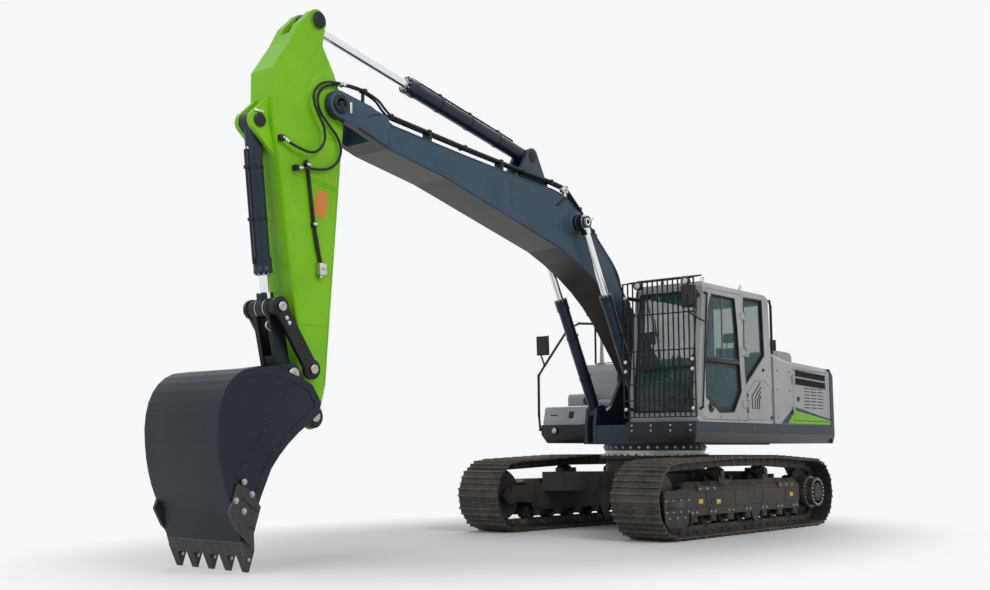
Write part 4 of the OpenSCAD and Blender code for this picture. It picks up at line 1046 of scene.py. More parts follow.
@dataclass
class Coats:
    """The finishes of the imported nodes."""

    coats: tuple = ((Finish.FRAME, ("carbody", "track_frame_left", "track_frame_right")),
        (Finish.TRACK, ("track_left", "track_right", "idlers", "sprockets", "bottom_rollers",
        "carrier_rollers")), (Finish.STEEL, ("slew_ring_lower",)),
        (Finish.SLATE, ("slew_ring_upper", "platform", "counterweight")), (Finish.DECK, ("side_decks",)),
        (Finish.BOOM, ("boom",)), (Finish.BLACK,
        ("engine_block", "front_guard", "handrails", "mirrors", "side_links", "bucket_link", "boom_pipes",
        "stick_pipes")), (Finish.SILVER, ("engine_bay", "engine_hood", "louvre_door", "pump_door",
        "fuel_tank", "toolbox", "toolbox_lid", "cab_shell", "cab_door")),
        (Finish.NAVY, ("lift_barrels", "reach_barrel", "curl_barrel")),
        (Finish.CHROME, ("lift_rods", "reach_rod", "curl_rod")), (Finish.LIME, ("stick",)),
        (Finish.BUCKET, ("bucket",)), (Finish.TOOTH, ("bucket_teeth",)), (Finish.SEAT, ("seat",)),
        (Finish.GLASS, ("cab_glass", "door_glass")),)

    def build(self, shop: Workshop) -> None:
        """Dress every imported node.

        Args:
            shop: The workshop.
        """
        for finish, nodes in self.coats:
            shop.dress_nodes(finish, *nodes)


# Outlines
def across(sign: int, near: float, far: float) -> list:
    """Return two distances on one side of the machine, the lower number first."""
    return sorted((sign * near, sign * far))


def clipped(outline: Sequence[Point], low: Point, high: Point) -> list:
    """Return the part of a convex outline that lies in a rectangle.

    Args:
        outline: The outline's corners.
        low: The rectangle's lowest corner.
        high: Its highest corner.

    Returns:
        The corners of what is left.
    """
    kept = [tuple(corner) for corner in outline]
    for axis, limit, sign in ((0, low[0], 1), (0, high[0], -1), (1, low[1], 1), (1, high[1], -1)):
        result = []
        for here, there in zip(kept, kept[1:] + kept[:1]):
            inside, after = (here[axis] - limit) * sign, (there[axis] - limit) * sign
            if inside >= 0:
                result.append(here)
            if (inside > 0 > after) or (inside < 0 < after):
                share = inside / (inside - after)
                result.append(tuple(a + (b - a) * share for a, b in zip(here, there)))
        kept = result
    return kept


def grown(outline: Sequence[Point], amount: float) -> list:
    """Return an outline whose sides are all moved outward.

    Args:
        outline: The corners, in either order.
        amount: How far the sides move, or inward below 0.

    Returns:
        The new corners.
    """
    corners = [Vector(corner) for corner in outline]
    area = sum(a.x * b.y - b.x * a.y for a, b in zip(corners, corners[1:] + corners[:1]))
    amount = amount if area > 0 else -amount
    moved = []
    for before, here, after in zip(corners[-1:] + corners[:-1], corners, corners[1:] + corners[:1]):
        first, second = (here - before).normalized(), (after - here).normalized()
        out_first, out_second = Vector((first.y, -first.x)), Vector((second.y, -second.x))
        middle = (out_first + out_second).normalized()
        moved.append(tuple(here + middle * amount / max(0.35, middle.dot(out_first))))
    return moved


def frame_round(shop: Workshop, name: str, outline: Sequence[Point], axis: Axis, start: float, end: float,
        out: float, inner: float) -> bpy.types.Object:
    """Model a flat frame round an opening.

    Args:
        shop: The workshop.
        name: The frame's name.
        outline: The opening's corners.
        axis: The axis across the frame.
        start: Where the frame begins on that axis.
        end: Where it ends.
        out: How far the frame reaches out from the opening's edge.
        inner: How far it reaches in.

    Returns:
        The frame.
    """
    piece = shop.plate(name, grown(outline, out), axis, start, end, 0)
    reach = max(0.01, (end - start) * 2)
    tool = shop.plate("opening", grown(outline, -inner), axis, start - reach, end + reach, 0)
    return shop.bevel(shop.cut(piece, tool), min(0.0025, abs(end - start) * 0.35), 2, 40)


# Undercarriage
@dataclass
class TrackLoop:
    """The route that the chain's pins take round the wheels, as the part's source has it."""

    circles: tuple = ((1.770, 0.430, 0.3455), (0.450, 0.706, 0.1195), (-0.640, 0.706, 0.1195),
        (-1.740, 0.430, 0.3455))
    pitch: float = 0.190

    def _leg(self, index: int) -> tuple:
        """Return the run from one circle to the next: its length and its heading.

        Args:
            index: The number of the circle that the run leaves.

        Returns:
            The length, and the heading in radians.
        """
        here, there = self.circles[index], self.circles[(index + 1) % 4]
        along, up, less = there[0] - here[0], there[1] - here[1], here[2] - there[2]
        reach = math.hypot(along, up)
        return math.sqrt(reach * reach - less * less), math.atan2(up, along) + math.asin(less / reach)

    def _arc(self, index: int) -> float:
        """Return how far the chain turns on one circle, in radians."""
        return (self._leg(index)[1] - self._leg((index + 3) % 4)[1]) % math.tau

    def pins(self) -> list:
        """Return the pins of the chain, each as x and z.

        Returns:
            The pins, in order.
        """
        lengths = []
        for index in range(4):
            lengths += [self.circles[index][2] * self._arc(index), self._leg(index)[0]]
        total = sum(lengths)
        count = round(total / self.pitch)
        return [self._at(step * total / count, lengths) for step in range(count)]

    def _at(self, distance: float, lengths: list) -> tuple:
        """Return the point at a distance along the loop.

        Args:
            distance: The distance from the first circle's start.
            lengths: The lengths of the arcs and runs, in order.

        Returns:
            The point, as x and z.
        """
        for index, length in enumerate(lengths):
            if distance <= length:
                break
            distance -= length
        x, z, radius = self.circles[index // 2]
        heading = self._leg((index // 2 + 3) % 4)[1]
        if index % 2:
            heading = self._leg(index // 2)[1]
            return (x + radius * math.sin(heading) + distance * math.cos(heading),
                    z - radius * math.cos(heading) + distance * math.sin(heading))
        heading += distance / radius
        return (x + radius * math.sin(heading), z - radius * math.cos(heading))

    def links(self, side: float) -> list:
        """Return a matrix for each link: +X along it, +Z away from the wheels.

        Args:
            side: The track's middle across the machine.

        Returns:
            The matrices, each scaled so that the link is one pitch long.
        """
        pins = self.pins()
        places = []
        for here, there in zip(pins, pins[1:] + pins[:1]):
            along = Vector((there[0] - here[0], 0, there[1] - here[1]))
            stretch = along.length / self.pitch
            along.normalize()
            away = Vector((along.z, 0, -along.x))
            turn = Matrix((along, (0, -1, 0), away)).transposed().to_4x4()
            scale = Matrix.Diagonal((stretch, 1, 1, 1))
            places.append(Matrix.Translation((here[0], side, here[1])) @ turn @ scale)
        return places


@dataclass
class Undercarriage:
    """The crawler tracks, the track frames and the carbody."""

    gauge: float = 2.200
    shoe_width: float = 0.600
    rib_height: float = 0.026
    plate_out: float = 0.0585
    frame_face: float = 1.280
    roller_z: float = 0.217
    roller_xs: tuple = tuple(-1.25 + 2.5 * step / 6 for step in range(7))
    drive: tuple = (-1.740, 0.430)
    loop: TrackLoop = field(default_factory=TrackLoop)
    ribs: tuple = (
        ((0.045, 0.5), (0.07, 1.03), (0.13, 1.03), (0.165, 0.5)),
        ((0.479, 0.5), (0.494, 0.88), (0.506, 0.88), (0.521, 0.5)),
        ((0.844, 0.5), (0.875, 0.93), (0.887, 0.93), (0.93, 0.5)),
    )

    def shoe_ribs(self, shop: Workshop) -> bpy.types.Object:
        """Return the worn caps of one shoe's three ribs.

        Args:
            shop: The workshop.

        Returns:
            The piece.
        """
        half = self.shoe_width / 2 - 0.003
        caps = []
        for rib in self.ribs:
            outline = [(u * self.loop.pitch, self.plate_out + share * self.rib_height) for u, share in rib]
            caps.append(shop.plate("rib", outline, Axis.Y, -half, half, 0.0012))
        return shop.join("shoe_ribs", caps)

    def shoe_bolts(self, shop: Workshop) -> bpy.types.Object:
        """Return the four bolts that hold one shoe.

        Args:
            shop: The workshop.

        Returns:
            The piece.
        """
        pattern = shop.bolt("shoe_bolt", 0.0125, 0.009)
        places = [Matrix.Translation((u * self.loop.pitch, side * 0.058, self.plate_out))
                  for u in (0.31, 0.68) for side in (-1, 1)]
        return shop.repeat("shoe_bolts", pattern, places)

    def link_bosses(self, shop: Workshop) -> bpy.types.Object:
        """Return the bosses and pin ends on both faces of one link.

        Args:
            shop: The workshop.

        Returns:
            The piece.
        """
        parts = []
        for side in (-1, 1):
            boss = shop.turned("boss", (0, side * 0.074, 0), (0, side * 0.2, 0),
                ((0, 0), (0, 0.045), (0.012, 0.043), (0.016, 0.038), (0.016, 0.024), (0.012, 0.022),
                (0.022, 0.018), (0.022, 0)), 18)
            web = shop.plate("web", ((0.03, -0.040), (0.160, -0.034), (0.160, 0.030), (0.03, 0.036)), Axis.Y,
                             *across(side, 0.075, 0.081), 0.002)
            parts += [boss, web]
        return shop.join("link_bosses", parts)

    def tracks(self, shop: Workshop) -> None:
        """Build what repeats along both chains.

        Args:
            shop: The workshop.
        """
        for name, side in (("left", 1), ("right", -1)):
            links = self.loop.links(side * self.gauge / 2)
            ribs = shop.repeat("shoe_ribs_" + name, self.shoe_ribs(shop), links)
            shop.place(ribs, "undercarriage", "machined_steel", Finish.RIB)
            bolts = shop.repeat("shoe_bolts_" + name, self.shoe_bolts(shop), links)
            shop.place(bolts, "undercarriage", "machined_steel", Finish.TRACK)
            bosses = shop.repeat("link_bosses_" + name, self.link_bosses(shop), links)
            shop.place(bosses, "undercarriage", "undercarriage_paint", Finish.TRACK)

    def ring_of(self, shop: Workshop, pattern: bpy.types.Object, name: str, centre: Point, radius: float,
            count: int, turn: float = 0.0) -> bpy.types.Object:
        """Stand a pattern in a ring on a face that looks to the machine's left.

        Args:
            shop: The workshop.
            pattern: The shape, standing along +Z.
            name: The joined piece's name.
            centre: The ring's middle, with the face's Y.
            radius: The ring's radius.
            count: How many copies there are.
            turn: Where the first one is, in radians.

        Returns:
            The joined ring.
        """
        places = []
        for step in range(count):
            angle = turn + math.tau * step / count
            place = (centre[0] + radius * math.cos(angle), centre[1], centre[2] + radius * math.sin(angle))
            places.append(facing(place, (0, 1, 0), angle))
        return shop.repeat(name, pattern, places)

    def final_drive(self, shop: Workshop) -> list:
        """Return the rings, the plugs and the bolts on the left final drive.

        Args:
            shop: The workshop.

        Returns:
            The parts.
        """
        x, z = self.drive
        rim = shop.on_pin("rim", (x, z), 1.372,
            ((0, 0.186), (0.004, 0.184), (0.006, 0.178), (0.006, 0.150), (0.002, 0.144), (0.002, 0.118),
            (0.006, 0.112), (0.008, 0.100), (0.008, 0)), 48)
        flange = shop.on_pin("flange", (x, z), 1.269, (
            (0, 0.166), (0, 0.203), (0.010, 0.203), (0.014, 0.199), (0.014, 0.166)), 48)
        bolts = self.ring_of(shop, shop.bolt("cover_bolt", 0.009, 0.008), "bolts", (x, 1.378, z), 0.164, 20)
        big = self.ring_of(shop, shop.bolt("flange_bolt", 0.011, 0.010), "big", (x, 1.283, z), 0.185, 24,
            0.13)
        plug = self.ring_of(shop, shop.rod("plug", (0, 0, 0), (0, 0, 0.010), 0.022, 20, 0.002), "plugs",
            (x, 1.376, z), 0.075, 3, 0.5)
        shop.dress(rim, Finish.FRAME)
        shop.dress(flange, Finish.FRAME)
        shop.dress(bolts, Finish.STEEL)
        shop.dress(big, Finish.STEEL)
        shop.dress(plug, Finish.FRAME)
        heads = self.ring_of(shop, shop.bolt("red_head", 0.012, 0.009), "heads", (x, 1.3796, z), 0.090, 3,
            math.pi / 2)
        shop.dress(heads, Finish.RED)
        return [rim, flange, bolts, big, plug, heads]

    def frame_details(self, shop: Workshop) -> list:
        """Return the small parts on the left track frame's outer side.

        Args:
            shop: The workshop.

        Returns:
            The parts.
        """
        parts = []
        face = self.frame_face
        for x in self.roller_xs:
            cap = shop.on_pin("cap", (x, self.roller_z), face + 0.004, (
                (0, 0.040), (0.006, 0.040), (0.010, 0.036), (0.010, 0.026), (0.006, 0.024), (0.006, 0)), 22)
            parts.append(shop.dress(cap, Finish.FRAME))
            parts.append(shop.bolts(0.012, 0.010,
                [facing((x + side * 0.048, face + 0.006, self.roller_z + 0.062), (0, 1, 0))
                for side in (-1, 1)], Finish.STEEL))
        # blank plates and the adjuster's cover
        for x, z in ((1.091, 0.399), (0.690, 0.385), (-1.174, 0.416)):
            plate = shop.block("plate", (x - 0.045, face - 0.001, z - 0.024),
                (x + 0.045, face + 0.0025, z + 0.024), 0.001)
            parts.append(shop.dress(plate, Finish.YELLOW_LABEL))
        lid = shop.on_pin("lid", (0.817, 0.389), face - 0.002, (
            (0, 0.036), (0.006, 0.036), (0.008, 0.033), (0.004, 0.026), (0.004, 0)), 24)
        parts.append(shop.dress(lid, Finish.FRAME))
        name_plate = shop.block("blank", (1.50, 1.2995, 0.325), (1.83, 1.3025, 0.410), 0.001)
        parts.append(shop.dress(name_plate, Finish.SLATE_DARK))
        seams = []
        for low, high in (((-1.30, 0.335), (1.44, 0.335)), ((-1.30, 0.522), (1.40, 0.522))):
            seams.append(shop.tube("seam", [(low[0], face + 0.001, low[1]),
                (high[0], face + 0.001, high[1])], 0.0045, False, 2))
        for x in (-1.02, -0.40, 0.30, 0.96):
            seams.append(shop.tube("seam", [(x, face + 0.001, 0.338), (x, face + 0.001, 0.520)], 0.0035,
                False, 2))
        parts.append(shop.dress(shop.join("seams", seams), Finish.FRAME))
        rows = [facing((x, 1.3005, z), (0, 1, 0)) for x in (1.40, 1.56, 1.72, 1.86) for z in (0.300, 0.425)]
        parts.append(shop.bolts(0.010, 0.009, rows, Finish.STEEL))
        parts.append(shop.bolts(0.010, 0.009, [
            facing((x, 1.2915, 0.235), (0, 1, 0)) for x in (1.46, 1.62, 1.78)], Finish.STEEL))
        for x in (0.972, -1.002):
            parts.append(shop.bolts(0.012, 0.010, [
                facing((x + step, 1.2925, 0.538), (0, 1, 0)) for step in (-0.16, 0.0, 0.16)], Finish.STEEL))
        return parts

    def frames(self, shop: Workshop) -> None:
        """Build both track frames' details, the right one as the left one's mirror image.

        Args:
            shop: The workshop.
        """
        left = shop.join("frame_details_left", self.frame_details(shop) + self.final_drive(shop))
        right = shop.mirrored(left)
        right.name = "frame_details_right"
        shop.place(left, "undercarriage", "undercarriage_paint")
        shop.place(right, "undercarriage", "undercarriage_paint")

    def slewing_ring(self, shop: Workshop) -> None:
        """Build the two rows of bolts on the slewing ring, and its seal.

        Args:
            shop: The workshop.
        """
        lower = [facing((0.660 * math.cos(a), 0.660 * math.sin(a), 0.900), (0, 0, 1), a)
                 for a in (math.tau * step / 36 for step in range(36))]
        piece = shop.repeat("ring_bolts_lower", shop.bolt("ring_bolt", 0.017, 0.018), lower)
        shop.place(piece, "undercarriage", "machined_steel", Finish.FITTING)
        upper = [facing((0.640 * math.cos(a), 0.640 * math.sin(a), 1.003), (math.cos(a), math.sin(a), 0))
                 for a in (math.tau * (step + 0.5) / 36 for step in range(36))]
        piece = shop.repeat("ring_bolts_upper", shop.bolt("side_bolt", 0.013, 0.010), upper)
        shop.place(piece, "house", "machined_steel", Finish.FITTING)
        seal = shop.spun("ring_seal", (0, 0, 0.968), (0, 0, 1), 0.634, 0.006, 72)
        shop.place(seal, "undercarriage", "black_paint", Finish.SEAL)

    def carbody(self, shop: Workshop) -> None:
        """Build the covers, their bolts and the seams on the carbody.

        Args:
            shop: The workshop.
        """
        parts = []
        for sign in (1, -1):
            cover = shop.plate("cover", ((-0.13, 0.52), (0.13, 0.52), (0.13, 0.72), (0.09, 0.76),
                (-0.09, 0.76), (-0.13, 0.72)), Axis.X, *across(sign, 0.612, 0.632), 0.004)
            parts.append(shop.dress(cover, Finish.FRAME))
            parts.append(shop.bolts(0.011, 0.009,
                [facing((sign * 0.631, y, z), (sign, 0, 0)) for y in (-0.105, 0.105)
                for z in (0.545, 0.700)], Finish.STEEL))
        seams = []
        for z in (0.700, 0.860):
            seams.append(shop.spun("seam", (0, 0, z), (0, 0, 1), 0.6205, 0.006, 64))
        parts.append(shop.dress(shop.join("seams", seams), Finish.FRAME))
        shop.place(shop.join("carbody_details", parts), "undercarriage", "undercarriage_paint")

    def build(self, shop: Workshop) -> None:
        """Build the undercarriage's details.

        Args:
            shop: The workshop.
        """
        self.tracks(shop)
        self.frames(shop)
        self.slewing_ring(shop)
        self.carbody(shop)


# Upper frame
@dataclass
class EngineBay:
    """The hood, its doors, its grilles and the stripe along its lower edge."""

    face: float = 1.330
    shell: tuple = ((-2.330, 1.290), (-0.690, 1.340))
    ahead: tuple = ((-1.215, 1.340), (-0.690, 1.620))
    behind: tuple = ((-2.330, 1.340), (-2.270, 1.620))
    door: tuple = ((-2.264, 1.346), (-1.221, 1.620))
    border: tuple = ((-0.862, 1.299), (-1.236, 1.519), (-2.341, 1.378), (-2.353, 1.292))
    stripe: tuple = ((-1.044, 1.300), (-1.250, 1.475), (-2.345, 1.356), (-2.350, 1.300))
    grilles: tuple = (((-2.195, 1.955), (-1.300, 1.985), 0.065), ((-2.195, 1.855), (-1.300, 1.885), 0.070))
    latch: tuple = (-1.362, 1.622)

    def stripes(self, shop: Workshop) -> None:
        """Build the dark wedge and the lime stripe on it, on the shell and on the door.

        Args:
            shop: The workshop.
        """
        for name, outline, proud, finish in (("stripe_border", self.border, 0.0012, Finish.SLATE_DARK),
                                             ("lime_stripe", self.stripe, 0.0022, Finish.LIME)):
            films = []
            for low, high in (self.shell, self.ahead, self.behind):
                part = clipped(outline, low, high)
                if len(part) > 2:
                    films.append(shop.plate("film", part, Axis.Y, self.face - 0.001, self.face + proud, 0))
            shop.place(shop.join(name + "_shell", films), "house", "lime_paint", finish)
            film = shop.plate(name + "_door", clipped(outline, *self.door), Axis.Y, self.face - 0.001,
                self.face + proud, 0)
            shop.place(film, "louvre_door", "lime_paint", finish)

    def mesh(self, shop: Workshop) -> bpy.types.Object:
        """Return the woven wire in both recesses of the louvre door.

        Args:
            shop: The workshop.

        Returns:
            The piece.
        """
        wires = []
        for rear, front, high in self.grilles:
            rise = (front[1] - rear[1]) / (front[0] - rear[0])
            steps = 60
            for step in range(1, steps):
                x = rear[0] + (front[0] - rear[0]) * step / steps
                top = rear[1] + (x - rear[0]) * rise
                wires.append(shop.rod("wire", (x, self.face - 0.007, top - high),
                    (x, self.face - 0.007, top), 0.0022, 6))
            for row in range(1, 5):
                drop = high * row / 5
                wires.append(shop.rod("wire", (rear[0], self.face - 0.005, rear[1] - drop),
                                      (front[0], self.face - 0.005, front[1] - drop), 0.0022, 6))
        return shop.dress(shop.join("grille_wire", wires), Finish.BLACK)

    def recess_backs(self, shop: Workshop) -> bpy.types.Object:
        """Return the black screens behind the wire, painted shade that stands in for the dark behind the
        grille, and the rims round them.

        Args:
            shop: The workshop.

        Returns:
            The piece.
        """
        parts = []
        for rear, front, high in self.grilles:
            outline = (rear, front, (front[0], front[1] - high), (rear[0], rear[1] - high))
            # Painted shade: a black screen at the back of each recess stands in for the shade behind the
            # grille.
            parts.append(shop.plate("screen", grown(outline, -0.001), Axis.Y, self.face - 0.0118,
                self.face - 0.0098, 0))
            parts.append(frame_round(shop, "rim", outline, Axis.Y, self.face - 0.001, self.face + 0.003,
                0.009, 0.001))
        return shop.dress(shop.join("grille_shade_screens", parts), Finish.BLACK)

    def louvres(self, shop: Workshop) -> bpy.types.Object:
        """Return the pressed hoods over the louvre door's slots.

        Args:
            shop: The workshop.

        Returns:
            The piece.
        """
        hoods = []
        for column in range(3):
            for row in range(7):
                x, z = -2.270 + 0.150 + column * 0.205, 1.340 + 0.170 + row * 0.042
                outline = ((self.face - 0.012, z + 0.026), (self.face, z + 0.027),
                    (self.face + 0.007, z + 0.012), (self.face + 0.006, z + 0.009),
                    (self.face - 0.002, z + 0.019), (self.face - 0.012, z + 0.019))
                hoods.append(shop.plate("hood", outline, Axis.X, x - 0.004, x + 0.164, 0.001))
        return shop.dress(shop.join("louvre_hoods", hoods), Finish.SILVER)

    def latches(self, shop: Workshop) -> bpy.types.Object:
        """Return the louvre door's round latch.

        Args:
            shop: The workshop.

        Returns:
            The piece.
        """
        x, z = self.latch
        ring = shop.on_pin("latch", (x, z), self.face - 0.001, (
            (0, 0.034), (0.006, 0.033), (0.009, 0.029), (0.006, 0.024), (0.004, 0.022), (0.004, 0)), 28)
        key = shop.block("key", (x - 0.016, self.face + 0.002, z - 0.006),
            (x + 0.016, self.face + 0.0085, z + 0.006), 0.003)
        return shop.dress(shop.join("door_latch", [ring, key]), Finish.PLASTIC)

    def hood_top(self, shop: Workshop) -> bpy.types.Object:
        """Return the ribs, the slots painted as black strips for their shade, and the handle on the engine
        hood.

        Args:
            shop: The workshop.

        Returns:
            The piece.
        """
        parts = []
        for y in (-0.70, -0.42, -0.14, 0.14, 0.42):
            rib = shop.block("rib", (-2.16, y - 0.022, 2.133), (-1.34, y + 0.022, 2.1435), 0.006)
            parts.append(shop.dress(rib, Finish.SILVER))
        # Painted shade: the hood's vent slots are black strips on the surface, standing in for the shade
        # inside them.
        for y in (-0.56, 0.28):
            slots = []
            for step in range(9):
                x = -2.10 + step * 0.085
                slots.append(shop.block("slot", (x, y - 0.085, 2.134), (x + 0.035, y + 0.085, 2.1378),
                    0.003))
            parts.append(shop.dress(shop.join("slots", slots), Finish.BLACK))
        handle = shop.tube("handle", ((-2.19, -0.24, 2.134), (-2.19, -0.24, 2.168), (-2.19, -0.22, 2.178),
            (-2.19, -0.06, 2.178), (-2.19, -0.04, 2.168), (-2.19, -0.04, 2.134)), 0.007, False)
        parts.append(shop.dress(handle, Finish.BLACK))
        return shop.join("engine_hood_details", parts)

    def shell_details(self, shop: Workshop) -> bpy.types.Object:
        """Return the bolts, the cap, the outlet and the non-slip strips on the bay.

        Args:
            shop: The workshop.

        Returns:
            The piece.
        """
        parts = []
        for sign, xs, middle in ((1, (-0.78, -1.12), 1.72), (-1, (-1.72, -2.25), 1.70)):
            rows = [facing((x, self.face * sign, z), (0, sign, 0)) for x in xs for z in (1.37, middle, 1.96)]
            parts.append(shop.bolts(0.008, 0.005, rows, Finish.BLACK))
        top = shop.block("cap", (-1.69, 0.70, 2.245), (-1.36, 1.04, 2.265), 0.006)
        parts.append(shop.dress(top, Finish.SILVER))
        outlet = shop.turned("outlet", (-1.45, 0.95, 2.255), (-1.45, 0.95, 3),
            ((0, 0.058), (0.010, 0.058), (0.012, 0.045), (0.150, 0.045), (0.158, 0.047), (0.160, 0.044),
            (0.160, 0.038), (0.05, 0.038), (0.05, 0)), 28)
        parts.append(shop.dress(outlet, Finish.BLACK))
        # non-slip strips beside the hood
        pads = []
        for x in (-2.20, -2.00):
            rise = (x + 2.20) * 0.0345
            pads.append(shop.block("pad", (x, 1.07, 2.066 + rise), (x + 0.16, 1.19, 2.0775 + rise), 0.002))
        parts.append(shop.dress(shop.join("pads", pads), Finish.PLASTIC))
        return shop.join("engine_bay_details", parts)

    def right_door(self, shop: Workshop) -> bpy.types.Object:
        """Return the slots' hoods and the latch on the pump door.

        Args:
            shop: The workshop.

        Returns:
            The piece.
        """
        parts = []
        hoods = []
        for column in range(3):
            for row in range(8):
                x, z = -1.56 + column * 0.235, 1.44 + row * 0.044
                outline = ((-self.face - 0.007, z + 0.010), (-self.face + 0.001, z + 0.030),
                    (-self.face + 0.001, z + 0.002))
                hoods.append(shop.plate("hood", outline, Axis.X, x, x + 0.19, 0.001))
        parts.append(shop.dress(shop.join("hoods", hoods), Finish.SILVER))
        ring = shop.on_pin("latch", (-1.58, 1.70), -self.face + 0.001, (
            (0, 0.034), (0.006, 0.033), (0.009, 0.029), (0.006, 0.024), (0.004, 0.022), (0.004, 0)), 28)
        parts.append(shop.dress(ring, Finish.PLASTIC))
        return shop.join("pump_door_details", parts)

    def build(self, shop: Workshop) -> None:
        """Build the engine bay's details.

        Args:
            shop: The workshop.
        """
        self.stripes(shop)
        door = shop.join("louvre_door_details",
            [self.mesh(shop), self.recess_backs(shop), self.louvres(shop), self.latches(shop)])
        shop.place(door, "louvre_door", "black_paint")
        shop.place(self.hood_top(shop), "engine_hood", "silver_paint")
        shop.place(self.shell_details(shop), "house", "silver_paint")
        shop.place(self.right_door(shop), "pump_door", "silver_paint")


@dataclass
class UpperFrame:
    """The decks, the counterweight, the tank, the toolbox and the swing drive."""

    half: float = 1.355
    tail: float = 2.770
    right: float = 1.330

    def decks(self, shop: Workshop) -> None:
        """Build the dark front faces, the bolts, the red reflector, the seam and the slots.

        Args:
            shop: The workshop.
        """
        parts = []
        corners = ((0.45, 1.085), (1.27, 1.085), (1.325, 1.170), (1.325, 1.275), (0.45, 1.275))
        for sign, x in ((1, 1.2795), (-1, 0.5995)):
            outline = [(sign * y, z) for y, z in corners]
            parts.append(shop.dress(shop.plate("front", outline, Axis.X, x, x + 0.004, 0.002), Finish.BLACK))
        rows = [facing((1.283, y, z), (1, 0, 0)) for y in (0.50, 0.76, 1.02, 1.28) for z in (1.19, 1.25)]
        parts.append(shop.bolts(0.009, 0.007, rows, Finish.STEEL))
        dot = shop.on_pin("dot", (-0.076, 1.220), self.half - 0.001, (
            (0, 0.020), (0.004, 0.020), (0.006, 0.017), (0.006, 0)), 24)
        parts.append(shop.dress(dot, Finish.RED))
        seam = shop.tube("seam", ((-2.32, self.half + 0.0005, 1.176), (1.20, self.half + 0.0005, 1.176)),
            0.0035, False, 2)
        parts.append(shop.dress(seam, Finish.SLATE_DARK))
        # Painted shade: the deck's slots are dark strips on the surface, standing in for the shade inside
        # them.
        slots = [shop.block("slot", (x, self.half - 0.001, 1.200), (x + 0.085, self.half + 0.0015, 1.212),
            0.002) for x in (-1.98, -1.50, 0.30)]
        parts.append(shop.dress(shop.join("slots", slots), Finish.SLATE_DARK))
        shop.place(shop.join("deck_details", parts), "house", "slate_paint")

    def counterweight(self, shop: Workshop) -> None:
        """Build the rear lamps, the seams and the lifting loops of the counterweight.

        Args:
            shop: The workshop.
        """
        parts = []
        for sign in (1, -1):
            angle = math.atan2(0.80 * sign, -math.sqrt(self.tail ** 2 - 0.64))
            out = Vector((math.cos(angle), math.sin(angle), 0))
            turn = Matrix.Translation(out * (self.tail - 0.004)) @ Matrix.Rotation(angle, 4, "Z")
            body = shop.block("lamp", (-0.004, -0.090, 1.700), (0.006, 0.090, 1.785), 0.003)
            lens = shop.block("lens", (0.004, -0.076, 1.714), (0.0075, 0.076, 1.771), 0.002)
            body.data.transform(turn)
            lens.data.transform(turn)
            parts += [shop.dress(body, Finish.PLASTIC), shop.dress(lens, Finish.RED)]
            loop = shop.tube("loop", ((-2.46, sign * 0.650 - 0.020, 1.955),
                (-2.46, sign * 0.650 - 0.020, 2.020), (-2.46, sign * 0.650, 2.045),
                (-2.46, sign * 0.650 + 0.020, 2.020), (-2.46, sign * 0.650 + 0.020, 1.955)), 0.008, True)
            parts.append(shop.dress(loop, Finish.STEEL))
        seams = []
        for z in (1.30, 1.90):
            points = []
            for step in range(33):
                angle = math.pi + (step - 16) / 16 * math.asin(1.325 / self.tail)
                points.append((self.tail * math.cos(angle), self.tail * math.sin(angle), z))
            seams.append(shop.tube("seam", points, 0.005, False, 2))
        parts.append(shop.dress(shop.join("seams", seams), Finish.SLATE_DARK))
        shop.place(shop.join("counterweight_details", parts), "house", "slate_paint")

    def tank(self, shop: Workshop) -> None:
        """Build the tank's filler, seams and steps, and the box's cap beside it.

        Args:
            shop: The workshop.
        """
        parts = []
        filler = shop.turned("filler", (-0.54, -0.70, 2.139), (-0.54, -0.70, 3), (
            (0, 0.075), (0.012, 0.075), (0.014, 0.058), (0.05, 0.058), (0.056, 0.052), (0.056, 0)), 32)
        parts.append(shop.dress(filler, Finish.BLACK))
        cap = shop.turned("cap", (0.063, -1.020, 1.615), (1, -1.020, 1.615), (
            (0, 0.046), (0.002, 0.046), (0.0035, 0.043), (0.0035, 0.030), (0.002, 0.027), (0.002, 0)), 30)
        parts.append(shop.dress(cap, Finish.BLACK))
        side = -self.right - 0.0005
        seams = [shop.tube("seam", ((-0.515, side, 1.31), (-0.515, side, 2.11)), 0.003, False, 2),
                 shop.tube("seam", ((-0.336, -0.46, 1.66), (-0.336, -1.32, 1.66)), 0.003, False, 2)]
        parts.append(shop.dress(shop.join("seams", seams), Finish.SILVER))
        for low, high in (((-0.325, -1.30, 1.6395), (-0.205, -1.02, 1.645)),
                ((-0.135, -1.29, 1.7195), (-0.06, -1.02, 1.7235))):
            grip = shop.block("grip", low, high, 0.002)
            parts.append(shop.dress(grip, Finish.PLASTIC))
        gauge = shop.block("gauge", (-0.3405, -0.62, 1.74), (-0.333, -0.585, 1.98), 0.003)
        parts.append(shop.dress(gauge, Finish.PLASTIC))
        rows = [facing((-0.339, y, z), (1, 0, 0)) for y in (-0.52, -1.27) for z in (1.70, 2.04)]
        parts.append(shop.bolts(0.010, 0.007, rows, Finish.BLACK))
        shop.place(shop.join("tank_details", parts), "house", "silver_paint")

